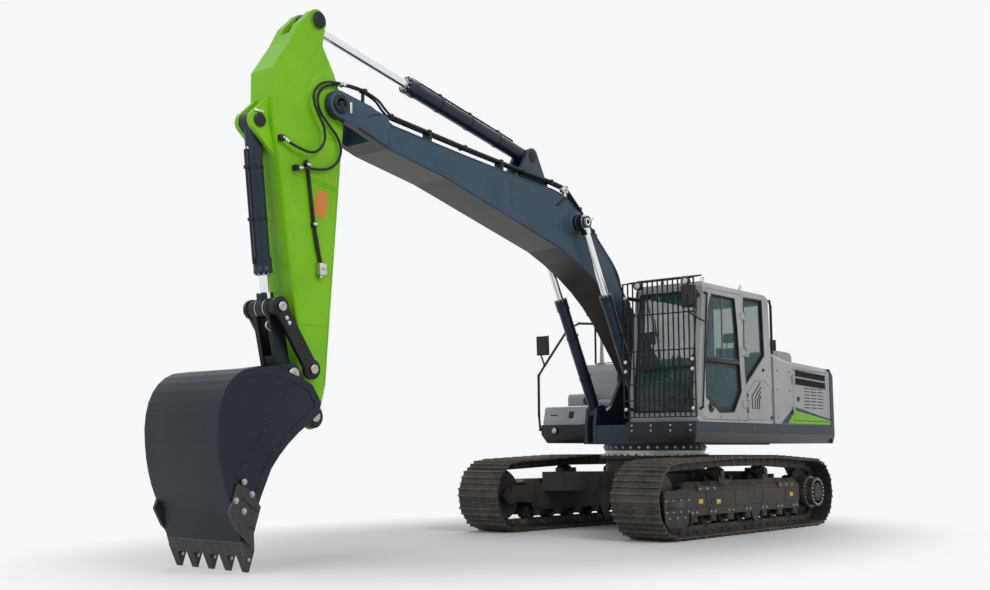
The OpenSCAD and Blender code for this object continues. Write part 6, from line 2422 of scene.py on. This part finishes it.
@dataclass
class Boom:
    """The boom's plates, weld seams, pins and pipes."""

    side: float = 0.225
    low: list = field(default_factory=lambda: from_pin(FOOT_PIN, (0.090, -0.118),
        (0.370, 0.210)) + eased((1.030, 2.520), (1.500, 2.970), (2.300, 3.240), 5) + from_pin(NOSE_PIN,
        (-1.450, -0.435), (-0.620, -0.300), (-0.040, -0.128)))
    high: list = field(default_factory=lambda: from_pin(NOSE_PIN, (-0.020, 0.133), (-0.400, 0.075),
        (-0.690, -0.045), (-1.770, -0.135)) + from_pin(LIFT_EYE, (0.930, 0.360)) + eased((2.400, 3.905),
        (2.090, 3.880), (1.800, 3.620), 4) + from_pin(LIFT_EYE, (-0.480, -0.170),
        (-0.760, -0.400)) + from_pin(FOOT_PIN, (0.790, 1.000), (-0.095, 0.115)))
    seams: tuple = (((5.030, 4.150), (5.005, 3.850)), ((3.121, 3.935), (3.160, 3.760), (3.130, 3.545)),
        ((0.900, 2.730), (1.150, 2.600)))

    def welds(self, shop: Workshop) -> list:
        """Return the weld beads along the edges and across both sides.

        Args:
            shop: The workshop.

        Returns:
            The parts.
        """
        beads = []
        inset = grown(self.low + self.high, -0.013)
        count = len(self.low)
        for sign in (1, -1):
            y = sign * (self.side + 0.0005)
            for line in (inset[1:count], inset[count:-1]):
                beads.append(shop.tube("bead", [(x, y, z) for x, z in line], 0.0052, False, 2))
            for seam in self.seams:
                beads.append(shop.tube("bead", [(x, y, z) for x, z in seam], 0.0055, False, 2))
        return [shop.dress(shop.join("welds", beads), Finish.BOOM)]

    def nose(self, shop: Workshop) -> list:
        """Return the doubling plates, pins, keepers and notches at the boom's nose.

        Args:
            shop: The workshop.

        Returns:
            The parts.
        """
        x, z = NOSE_PIN
        rim = [(x + 0.130 * math.cos(a), z + 0.130 * math.sin(a))
            for a in (math.radians(100 - 15 * step) for step in range(14))]
        outline = rim + [(5.300, 3.920), (5.035, 3.862), (5.020, 4.140), (5.060, 4.160), (5.260, 4.195)]
        parts = []
        for sign in (1, -1):
            y = sign * self.side
            near, far = sorted((y - sign * 0.001, y + sign * 0.009))
            parts.append(shop.dress(shop.plate("doubler", outline, Axis.Y, near, far, 0.003), Finish.BOOM))
            cap = shop.on_pin("cap", (x, z), sign * 0.232,
                ((0, 0.090), (0.018, 0.088), (0.022, 0.082), (0.022, 0.056), (0.017, 0.052), (0.017, 0.034),
                (0.0235, 0.031), (0.0235, 0)), 40)
            parts.append(shop.dress(cap, Finish.BLACK))
            low, high = across(sign, 0.2335, 0.246)
            keeper = shop.block("keeper", (x - 0.135, low, z - 0.060), (x - 0.107, high, z + 0.045), 0.004)
            parts.append(shop.dress(keeper, Finish.FITTING))
            # Painted shade: the notch and the slot are black strips on the plate, standing in for the shade
            # in them.
            notch = shop.tube("notch", [(5.300, sign * 0.2345, 4.092), (5.241, sign * 0.2345, 4.132),
                (5.145, sign * 0.2345, 4.150)], 0.006, False, 2)
            slot = shop.tube("slot", [(5.420, sign * 0.2345, 3.962), (5.205, sign * 0.2345, 3.906)], 0.006,
                False, 2)
            parts.append(shop.dress(shop.join("grooves", [notch, slot]), Finish.BLACK))
        return parts

    def bosses(self, shop: Workshop) -> list:
        """Return the flanges at the lift pin and at the cylinder's ears.

        Args:
            shop: The workshop.

        Returns:
            The parts.
        """
        parts = []
        for sign in (1, -1):
            ring = shop.on_pin("flange", LIFT_EYE, sign * (self.side - 0.001),
                ((0, 0.165), (0.007, 0.162), (0.009, 0.158), (0.009, 0.128), (0.016, 0.124), (0.020, 0.118),
                (0.022, 0.0955)), 48)
            parts.append(shop.dress(ring, Finish.BOOM))
            sleeve = shop.on_pin("sleeve", LIFT_EYE, sign * 0.240, (
                (0, 0.0950), (0.002, 0.0962), (0.040, 0.0962), (0.044, 0.0950)), 44)
            parts.append(shop.dress(sleeve, Finish.BLACK))
            ear = shop.on_pin("ear", REACH_FOOT, sign * 0.1065, (
                (0, 0.070), (0.006, 0.068), (0.008, 0.060), (0.008, 0.030), (0.012, 0.027), (0.012, 0)), 30)
            parts.append(shop.dress(ear, Finish.BLACK))
        return parts

    def pipework(self, shop: Workshop) -> list:
        """Return the pipes on to the nose and down to the foot, their clamps and the valve.

        Args:
            shop: The workshop.

        Returns:
            The parts.
        """
        parts = []
        pipes = []
        for y, out in ((0.192, 0.212), (0.145, 0.178)):
            pipes.append(shop.tube("pipe", flowing(((4.955, y, 4.182), (5.040, y, 4.235),
                (5.150, (y + out) / 2, 4.300), (5.336, out, 4.342), (5.480, out, 4.350),
                (5.600, out, 4.343))), 0.0125, False, 3))
        for y in (-0.192, -0.145):
            pipes.append(shop.tube("pipe", flowing(((4.955, y, 4.182), (5.040, y, 4.215), (5.130, y, 4.205),
                (5.175, y, 4.165))), 0.0125, False, 3))
        for y in (-0.192, -0.145, 0.145, 0.192):
            pipes.append(shop.tube("pipe", flowing(((1.552, y, 3.492), (1.470, y, 3.428), (1.331, y, 3.312),
                (1.184, y, 3.190), (1.073, y, 3.055), (0.985, y, 2.878), (0.719, y, 2.602),
                (0.426, y, 2.309))), 0.0175, False, 3))
        parts.append(shop.dress(shop.join("pipes", pipes), Finish.BLACK))
        clamps = [shop.block("clamp", (5.315, 0.163, 4.325), (5.360, 0.235, 4.361), 0.005),
                  shop.block("post", (5.325, 0.178, 4.215), (5.350, 0.205, 4.330), 0.003)]
        for x, z in ((0.640, 2.514), (0.860, 2.734)):
            for sign in (1, -1):
                saddle = shop.block("saddle", (-0.024, 0.118, -0.040), (0.024, 0.219, 0.024), 0.005)
                turn = Matrix.Translation((x, 0, z + 0.008)) @ Matrix.Rotation(math.radians(-47), 4, "Y")
                saddle.data.transform(turn @ Matrix.Scale(sign, 4, (0, 1, 0)))
                if sign < 0:
                    saddle.data.flip_normals()
                clamps.append(saddle)
        parts.append(shop.dress(shop.join("clamps", clamps), Finish.BLACK))
        band = shop.block("band", (5.585, 0.160, 4.322), (5.608, 0.230, 4.362), 0.004)
        valve = shop.block("valve", (2.105, 0.168, 3.905), (2.205, 0.222, 3.975), 0.006)
        foot = shop.block("foot", (2.130, 0.180, 3.790), (2.180, 0.215, 3.910), 0.004)
        nuts = shop.repeat("nuts", shop.bolt("nut", 0.017, 0.020),
            [facing((2.205, 0.195, 3.940), (1, 0, 0)), facing((2.105, 0.195, 3.940), (-1, 0, 0)),
            facing((2.155, 0.222, 3.940), (0, 1, 0))])
        parts.append(shop.dress(shop.join("fittings", [band, valve, foot, nuts]), Finish.FITTING))
        plug = shop.tube("plug", ((2.160, 0.236, 3.850), (2.240, 0.240, 3.780), (2.330, 0.236, 3.730)),
            0.011, True)
        parts.append(shop.dress(plug, Finish.BLACK))
        return parts

    def build(self, shop: Workshop) -> None:
        """Build the boom's details.

        Args:
            shop: The workshop.
        """
        parts = self.welds(shop) + self.nose(shop) + self.bosses(shop)
        shop.place(shop.join("boom_details", parts), "boom", "slate_paint")
        shop.place(shop.join("boom_pipework", self.pipework(shop)), "boom", "hose_steel")


@dataclass
class Stick:
    """The stick's pads, weld seams, pins, pipe and label."""

    side: float = 0.150
    back: list = field(default_factory=lambda: from_pin(HEAD_PIN, (-0.092, -0.050),
        (-0.065, -0.225)) + from_pin(NOSE_PIN, (0.020, 0.305), (-0.061, 0.135), (-0.111, -0.175),
        (-0.081, -0.555)) + from_pin(ROCKER_PIN, (-0.237, 0.523)) + from_pin(TIP_PIN, (-0.169, 0.287),
        (-0.088, -0.035)))
    front: list = field(default_factory=lambda: from_pin(TIP_PIN, (0.088, 0.035),
        (0.121, 0.327)) + from_pin(ROCKER_PIN, (0.123, 0.283), (0.213, 0.703)) + from_pin(CURL_FOOT,
        (-0.174, -0.235), (-0.104, 0.055), (-0.094, 0.495)) + from_pin(HEAD_PIN, (0.309, -0.265),
        (0.219, -0.085), (0.060, 0.085)))

    def pads(self, shop: Workshop) -> list:
        """Return the round pads around the pivot and the collars round the pins.

        Args:
            shop: The workshop.

        Returns:
            The parts.
        """
        parts = []
        x, z = NOSE_PIN
        rim = [(x + 0.335 * math.cos(a), z + 0.335 * math.sin(a))
            for a in (math.radians(82 - 9 * step) for step in range(20))]
        outline = rim + [(5.583, 3.810), (5.560, 3.950), (5.612, 4.265), (5.690, 4.430)]
        for sign in (1, -1):
            near, far = across(sign, self.side - 0.001, self.side + 0.0042)
            parts.append(shop.dress(shop.plate("pad", outline, Axis.Y, near, far, 0.002), Finish.LIME))
            for pin, radius in ((TIP_PIN, 0.112), (ROCKER_PIN, 0.104)):
                collar = shop.on_pin("collar", pin, sign * (self.side - 0.001), (
                    (0, radius), (0.005, radius - 0.002), (0.007, radius - 0.008), (0.007, 0.084)), 40)
                parts.append(shop.dress(collar, Finish.LIME))
            cap = shop.on_pin("cap", CURL_FOOT, sign * 0.1170, (
                (0, 0.062), (0.006, 0.061), (0.009, 0.056), (0.009, 0.030), (0.013, 0.027), (0.013, 0)), 32)
            parts.append(shop.dress(cap, Finish.BLACK))
            low, high = across(sign, 0.108, 0.122)
            keeper = shop.block("keeper", (6.440, low, 3.895), (6.540, high, 3.917), 0.003)
            parts.append(shop.dress(keeper, Finish.FITTING))
            head = shop.on_pin("head", HEAD_PIN, sign * 0.170, (
                (0, 0.079), (0.006, 0.078), (0.010, 0.070), (0.010, 0.042), (0.006, 0.039), (0.006, 0)), 36)
            parts.append(shop.dress(head, Finish.BLACK))
        return parts

    def welds(self, shop: Workshop) -> list:
        """Return the double seam below the pivot, the seam above the links and the long seam down the front.

        Args:
            shop: The workshop.

        Returns:
            The parts.
        """
        beads = []
        inset = grown(self.back + self.front, -0.012)
        count = len(self.back)
        for sign in (1, -1):
            y = sign * (self.side + 0.0005)
            for line in (((6.120, 3.432), (5.600, 3.358)), ((6.115, 3.404), (5.600, 3.330)),
                    ((6.040, 2.072), (5.700, 2.080)), inset[4:8], inset[count + 1:count + 8]):
                beads.append(shop.tube("bead", [(x, y, z) for x, z in line], 0.0046, False, 2))
        return [shop.dress(shop.join("welds", beads), Finish.LIME)]

    def pipework(self, shop: Workshop) -> list:
        """Return the pipe's clamps, bolts, lower bend and silver valve, and the blank label.

        Args:
            shop: The workshop.

        Returns:
            The parts.
        """
        parts = []
        bend = shop.tube("bend", flowing(((5.891, 0.170, 2.985), (5.850, 0.171, 2.800),
            (5.802, 0.172, 2.640))), 0.0168, False, 3)
        upper = shop.tube("upper", flowing(((5.981, 0.170, 3.512), (5.985, 0.170, 3.532),
            (6.005, 0.178, 3.540), (6.020, 0.184, 3.505))), 0.0150, False, 3)
        parts.append(shop.dress(shop.join("pipe", [bend, upper]), Finish.BLACK))
        valve = shop.block("valve", (5.7600, 0.1495, 2.5240), (5.8420, 0.2112, 2.6360), 0.006)
        nuts = shop.repeat("nuts", shop.bolt("nut", 0.018, 0.018),
            [facing((5.801, 0.180, 2.524), (0, 0, -1)), facing((5.760, 0.180, 2.560), (-1, 0, 0)),
            facing((5.801, 0.2112, 2.590), (0, 1, 0))])
        clamps = shop.repeat("bolts", shop.bolt("clamp_bolt", 0.011, 0.009),
            [facing((x + step, 0.192, z - 0.005), (0, 1, 0)) for x, z in ((5.981, 3.515), (5.891, 2.985))
            for step in (-0.009, 0.009)])
        parts.append(shop.dress(shop.join("fittings", [valve, nuts, clamps]), Finish.FITTING))
        label = shop.plate("label", ((5.715, 3.300), (5.850, 3.312), (5.868, 3.072), (5.732, 3.062)),
            Axis.Y, self.side - 0.001, self.side + 0.0015, 0)
        parts.append(shop.dress(label, Finish.ORANGE_LABEL))
        port = shop.block("port", (6.262, self.side - 0.001, 3.668), (6.312, self.side + 0.052, 3.722),
            0.005)
        elbow = shop.block("elbow", (6.100, self.side - 0.001, 3.432), (6.140, self.side + 0.060, 3.482),
            0.005)
        parts.append(shop.dress(shop.join("ports", [port, elbow]), Finish.BLACK))
        return parts

    def build(self, shop: Workshop) -> None:
        """Build the stick's details.

        Args:
            shop: The workshop.
        """
        shop.place(shop.join("stick_details", self.pads(shop) + self.welds(shop)), "stick", "lime_paint")
        shop.place(shop.join("stick_pipework", self.pipework(shop)), "stick", "hose_steel")


# Bucket
@dataclass
class Bucket:
    """The bucket's seams, bolts, pins and ribs, and the pins of its links."""

    side: float = 0.490

    def sides(self, shop: Workshop) -> list:
        """Return the weld lines, the ribs and the cutters' bolts on both sides.

        Args:
            shop: The workshop.

        Returns:
            The parts.
        """
        beads, bolts = [], []
        for sign in (1, -1):
            y = sign * (self.side + 0.001)
            beads.append(shop.tube("bead", [(x, y, z) for x,
                z in ((6.270, 1.545), (6.401, 1.443), (6.660, 1.105), (6.918, 0.761))], 0.005, False, 2))
            out = (0, sign, 0)
            for x, z in ((6.850, 0.725), (6.771, 0.626), (6.924, 0.581), (6.845, 0.496)):
                bolts.append(facing((x, sign * 0.515, z), out))
            for ends in (((6.865, 0.600), (6.719, 0.491)), ((6.786, 0.373), (6.735, 0.355))):
                beads.append(shop.tube("rib", [(x, sign * 0.5155, z) for x, z in ends], 0.007, False, 2))
        heads = shop.repeat("heads", shop.bolt("head", 0.019, 0.013), bolts)
        return [shop.dress(shop.join("beads", beads), Finish.BUCKET), shop.dress(heads, Finish.STEEL)]

    def pins(self, shop: Workshop) -> list:
        """Return the caps and collars of the bucket's own pins.

        Args:
            shop: The workshop.

        Returns:
            The parts.
        """
        parts = []
        for sign in (1, -1):
            for pin, radius in ((TIP_PIN, 0.050), (EAR_PIN, 0.058)):
                cap = shop.on_pin("cap", pin, sign * 0.2285,
                    ((0, radius - 0.002), (0.006, radius - 0.004), (0.009, radius - 0.010), (0.009, 0.016),
                    (0.005, 0.013), (0.005, 0)), 30)
                parts.append(shop.dress(cap, Finish.STEEL))
                collar = shop.on_pin("collar", pin, sign * 0.2045,
                    ((0, radius + 0.034), (0.006, radius + 0.032), (0.009, radius + 0.024),
                    (0.009, radius - 0.004)), 36)
                parts.append(shop.dress(collar, Finish.BUCKET))
        return parts

    def links(self, shop: Workshop) -> list:
        """Return the collars, the caps and the bolts of the side links' pins.

        Args:
            shop: The workshop.

        Returns:
            The parts.
        """
        parts = []
        for sign in (1, -1):
            for pin in (ROCKER_PIN, CURL_EYE):
                collar = shop.on_pin("collar", pin, sign * 0.2045, (
                    (0, 0.074), (0.006, 0.072), (0.009, 0.066), (0.009, 0.044)), 36)
                parts.append(shop.dress(collar, Finish.BLACK))
                cap = shop.on_pin("cap", pin, sign * 0.2285,
                    ((0, 0.043), (0.006, 0.041), (0.009, 0.034), (0.009, 0.014), (0.005, 0.011),
                    (0.005, 0)), 28)
                parts.append(shop.dress(cap, Finish.STEEL))
            along = (Vector((CURL_EYE[0] - ROCKER_PIN[0], 0, CURL_EYE[1] - ROCKER_PIN[1]))).normalized()
            for step in (-0.115, -0.165):
                x, z = CURL_EYE[0] + along.x * step, CURL_EYE[1] + along.z * step
                head = shop.bolt("head", 0.014, 0.010)
                head.data.transform(facing((x, sign * 0.205, z), (0, sign, 0)))
                parts.append(shop.dress(head, Finish.FITTING))
        return parts

    def build(self, shop: Workshop) -> None:
        """Build the bucket's and the links' details.

        Args:
            shop: The workshop.
        """
        shop.place(shop.join("bucket_details", self.sides(shop) + self.pins(shop)), "bucket", "black_paint")
        shop.place(shop.join("link_details", self.links(shop)), "side_links", "black_paint")
        loop = shop.tube("bucket_link_loop", [(x, 0.1, z) for x, z in (
            (6.296, 2.080), (6.335, 2.075), (6.352, 2.045), (6.340, 2.005), (6.283, 1.990))], 0.008, True)
        tooth = shop.repeat("tooth_pins", shop.bolt("tooth_pin", 0.011, 0.006),
            [facing((6.765, (step / 4 - 0.5) * 0.88 + sign * 0.050, 0.115), (0, sign, 0))
            for step in range(5) for sign in (1, -1)])
        shop.place(loop, "bucket_link", "black_paint", Finish.STEEL)
        shop.place(tooth, "bucket", "machined_steel", Finish.STEEL)


@dataclass
class Arm:
    """The cylinders, the boom, the stick, the bucket and their hoses."""

    rams: tuple = (Ram("lift", "lift_barrels", "lift_rods", (0.820, 1.420), LIFT_EYE, (0.3276, -0.3276),
        0.068, 0.042, 1.520, 0.042, 0.092, 0.098, (0.480, 1.020)),
        Ram("reach", "reach_barrel", "reach_rod", REACH_FOOT, HEAD_PIN, (0.0,), 0.080, 0.048, 1.980, 0.062,
        0.092, 0.105, (0.520, 1.000, 1.480)),
        Ram("curl", "curl_barrel", "curl_rod", CURL_FOOT, CURL_EYE, (0.0,), 0.072, 0.043, 1.330, 0.056,
        0.086, 0.098, (0.400, 0.860)),)
    hoses: tuple = (Hose("bucket_cylinder_hose", ("boom", "stick"),
        ((5.600, 0.212, 4.343), (5.700, 0.212, 4.335), (5.800, 0.212, 4.316), (5.894, 0.212, 4.268),
        (5.955, 0.212, 4.177), (5.951, 0.212, 4.082), (5.886, 0.212, 3.975), (5.830, 0.212, 3.879),
        (5.818, 0.212, 3.771), (5.872, 0.212, 3.672), (5.969, 0.212, 3.622), (6.091, 0.212, 3.629),
        (6.200, 0.200, 3.660), (6.265, 0.190, 3.692)), ((5.9, 0.21, 4.25), (5.9, 0.21, 3.68))),
        Hose("bucket_pipe_hose", ("boom", "stick"),
        ((5.600, 0.178, 4.343), (5.690, 0.180, 4.325), (5.790, 0.184, 4.286), (5.868, 0.186, 4.212),
        (5.888, 0.186, 4.117), (5.845, 0.186, 4.015), (5.738, 0.186, 3.918), (5.640, 0.186, 3.828),
        (5.596, 0.186, 3.720), (5.632, 0.186, 3.605), (5.730, 0.186, 3.524), (5.860, 0.186, 3.488),
        (6.000, 0.186, 3.474), (6.098, 0.186, 3.460)), ((5.85, 0.18, 4.2), (5.75, 0.18, 3.55))),)

    def foot_hoses(self) -> Iterable[Hose]:
        """Yield the four hoses from the swing drive up to the boom's pipes.

        Returns:
            The hoses.
        """
        for number, (y, low_y) in enumerate(((0.192, 0.090), (0.145, 0.030), (-0.145, -0.030),
                (-0.192, -0.090))):
            rise = 0.030 * (number % 2)
            route = ((-0.455, low_y, 1.450), (-0.405, low_y, 1.462), (-0.345, low_y * 1.1, 1.500 + rise),
                (-0.285, low_y * 1.3, 1.560 + rise), (-0.225, low_y * 1.5, 1.622 + rise),
                (-0.165, (low_y + y) / 2, 1.690 + rise), (-0.105, y, 1.760 + rise),
                (-0.045, y, 1.832 + rise), (0.015, y, 1.900 + rise), (0.078, y, 1.968 + rise),
                (0.145, y, 2.035 + rise / 2), (0.215, y, 2.100 + rise / 3), (0.285, y, 2.168),
                (0.355, y, 2.238), (0.426, y, 2.309))
            yield Hose(f"boom_foot_hose_{number + 1}", ("house", "boom"), route,
                ((-0.20, y, 1.65), (0.36, y, 2.24)), 0.0145)

    def build(self, shop: Workshop) -> None:
        """Build everything on the arm.

        Args:
            shop: The workshop.
        """
        Boom().build(shop)
        Stick().build(shop)
        Bucket().build(shop)
        for ram in self.rams:
            ram.build(shop)
        for hose in (*self.hoses, *self.foot_hoses()):
            hose.build(shop)


# Every sub-assembly, in the order in which it is built
SUB_ASSEMBLIES = (Coats, Undercarriage, EngineBay, UpperFrame, Cab, Arm)


# Studio
@dataclass(frozen=True)
class Lamp:
    """One soft square lamp."""

    name: str
    place: tuple
    target: tuple
    size: float
    power: float
    colour: tuple = (1, 1, 1)

    def hang(self) -> None:
        """Hang the lamp at its place, pointed at its target."""
        data = bpy.data.lights.new(self.name, "AREA")
        data.shape = "SQUARE"
        data.size = self.size
        data.energy = self.power
        data.color = self.colour
        lamp = bpy.data.objects.new(self.name, data)
        bpy.context.scene.collection.objects.link(lamp)
        lamp.location = self.place
        lamp.rotation_euler = (Vector(self.target) - Vector(self.place)).to_track_quat("-Z", "Y").to_euler()


@dataclass
class Studio:
    """Floor, light and the photograph's camera."""

    eye: tuple = (12.6544, 7.9678, 0.9856)
    yaw: float = math.radians(220.0)
    pitch: float = math.radians(7.72)
    lens: float = 42.01
    picture: tuple = (990, 590)
    rise: float = 2.985
    floor_radius: float = 120.0
    floor_tone: tuple = (0.82, 0.81, 0.80)
    backdrop: tuple = (0.93, 0.94, 0.95)
    sky: tuple = (0.86, 0.92, 1.0)
    sky_strength: float = 0.44
    fade_from: float = 1.9
    fade_to: float = 4.4
    lamps: tuple = (
        Lamp("key", (3.0, 13.0, 12.0), (-1.5, 0, 1.5), 7.0, 820, (1.0, 0.97, 0.93)),
        Lamp("front", (13.0, 1.0, 8.0), (0.5, 0, 1.8), 8.0, 350, (0.97, 0.98, 1.0)),
        Lamp("back", (-9.0, -9.0, 9.0), (-1.0, 0, 2.0), 7.0, 380),
    )

    def camera(self) -> None:
        """Stand the camera where the photograph was taken."""
        look = Vector((math.cos(self.yaw) * math.cos(self.pitch), math.sin(self.yaw) * math.cos(self.pitch),
            math.sin(self.pitch)))
        data = bpy.data.cameras.new("photo_camera")
        camera = bpy.data.objects.new("photo_camera", data)
        bpy.context.scene.collection.objects.link(camera)
        camera.location = Vector(self.eye) + Vector((SLEW_X, 0, 0))
        camera.rotation_euler = look.to_track_quat("-Z", "Y").to_euler()
        data.lens = self.lens
        data.sensor_width = 36.0
        data.sensor_fit = "HORIZONTAL"
        data.shift_y = -self.rise / self.picture[0]
        data.clip_end = 400.0
        bpy.context.scene.camera = camera

    def floor(self) -> None:
        """Lay a pale floor."""
        bpy.ops.object.select_all(action="DESELECT")
        bpy.ops.mesh.primitive_circle_add(vertices=96, radius=self.floor_radius, fill_type="NGON",
            location=(0, 0, -0.001))
        floor = bpy.context.active_object
        floor.name = "floor"
        bench = ShaderBench("pale_floor")
        cloud = bench.noise(0.7, 5, 0.6)
        fine = bench.noise(40.0, 4, 0.6)
        dark = tuple(part * 0.93 for part in self.floor_tone)
        colour = bench.blend(cloud * 0.6 + fine * 0.4, dark, self.floor_tone)
        bench.finish(Base_Color=colour, Roughness=0.9, Normal=bench.bump(fine, 0.001, 0.4))
        self.fade(bench)
        floor.data.materials.append(bench.material)

    def fade(self, bench: ShaderBench) -> None:
        """Let the floor turn into the white background away from the machine, where the camera looks at it.

        Args:
            bench: The floor's material.
        """
        east, north = bench.axis("X"), bench.axis("Y")
        far = (east * east * 0.4 + north * north).power(0.5).ramp(self.fade_from, self.fade_to)
        seen = self.seen(bench.tree)
        share = far * Wire(bench, seen)
        white = bench.tree.nodes.new("ShaderNodeEmission")
        white.inputs["Color"].default_value = (*self.backdrop, 1)
        mix = bench.tree.nodes.new("ShaderNodeMixShader")
        output = next(node for node in bench.tree.nodes if node.type == "OUTPUT_MATERIAL")
        bench.tree.links.new(share.socket, mix.inputs[0])
        bench.tree.links.new(bench.shader.outputs[0], mix.inputs[1])
        bench.tree.links.new(white.outputs[0], mix.inputs[2])
        bench.tree.links.new(mix.outputs[0], output.inputs[0])

    @staticmethod
    def seen(tree: bpy.types.NodeTree) -> bpy.types.NodeSocket:
        """Return 1 for what the camera sees directly, in a reflection or through glass.

        Args:
            tree: The node tree.

        Returns:
            The socket.
        """
        path = tree.nodes.new("ShaderNodeLightPath")
        total = path.outputs["Is Camera Ray"]
        for name in ("Is Glossy Ray", "Is Transmission Ray"):
            either = tree.nodes.new("ShaderNodeMath")
            either.operation = "MAXIMUM"
            tree.links.new(total, either.inputs[0])
            tree.links.new(path.outputs[name], either.inputs[1])
            total = either.outputs[0]
        return total

    def world(self) -> None:
        """Light the machine from a plain pale sky that the camera sees as white."""
        world = bpy.data.worlds.new("studio_sky")
        bpy.context.scene.world = world
        world.use_nodes = True
        tree = world.node_tree
        tree.nodes.clear()
        output = tree.nodes.new("ShaderNodeOutputWorld")
        mix = tree.nodes.new("ShaderNodeMixShader")
        seen = tree.nodes.new("ShaderNodeBackground")
        light = tree.nodes.new("ShaderNodeBackground")
        seen.inputs["Color"].default_value = (*self.backdrop, 1)
        seen.inputs["Strength"].default_value = 1.0
        light.inputs["Color"].default_value = (*self.sky, 1)
        light.inputs["Strength"].default_value = self.sky_strength
        tree.links.new(self.seen(tree), mix.inputs[0])
        tree.links.new(light.outputs[0], mix.inputs[1])
        tree.links.new(seen.outputs[0], mix.inputs[2])
        tree.links.new(mix.outputs[0], output.inputs[0])

    def build(self) -> None:
        """Build the whole studio."""
        self.camera()
        self.floor()
        self.world()
        for lamp in self.lamps:
            lamp.hang()
        scene = bpy.context.scene
        scene.view_settings.view_transform = "Standard"


def main() -> None:
    """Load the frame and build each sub-assembly round it."""
    logging.basicConfig(level=logging.INFO, format="%(name)s: %(message)s")
    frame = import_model()
    Studio().build()
    shop = Workshop(frame)
    for part in SUB_ASSEMBLIES:
        made = part()
        made.build(shop)
        LOG.info("%s done, %d pieces so far", type(made).__name__, shop.count)


if __name__ == "__main__":
    main()
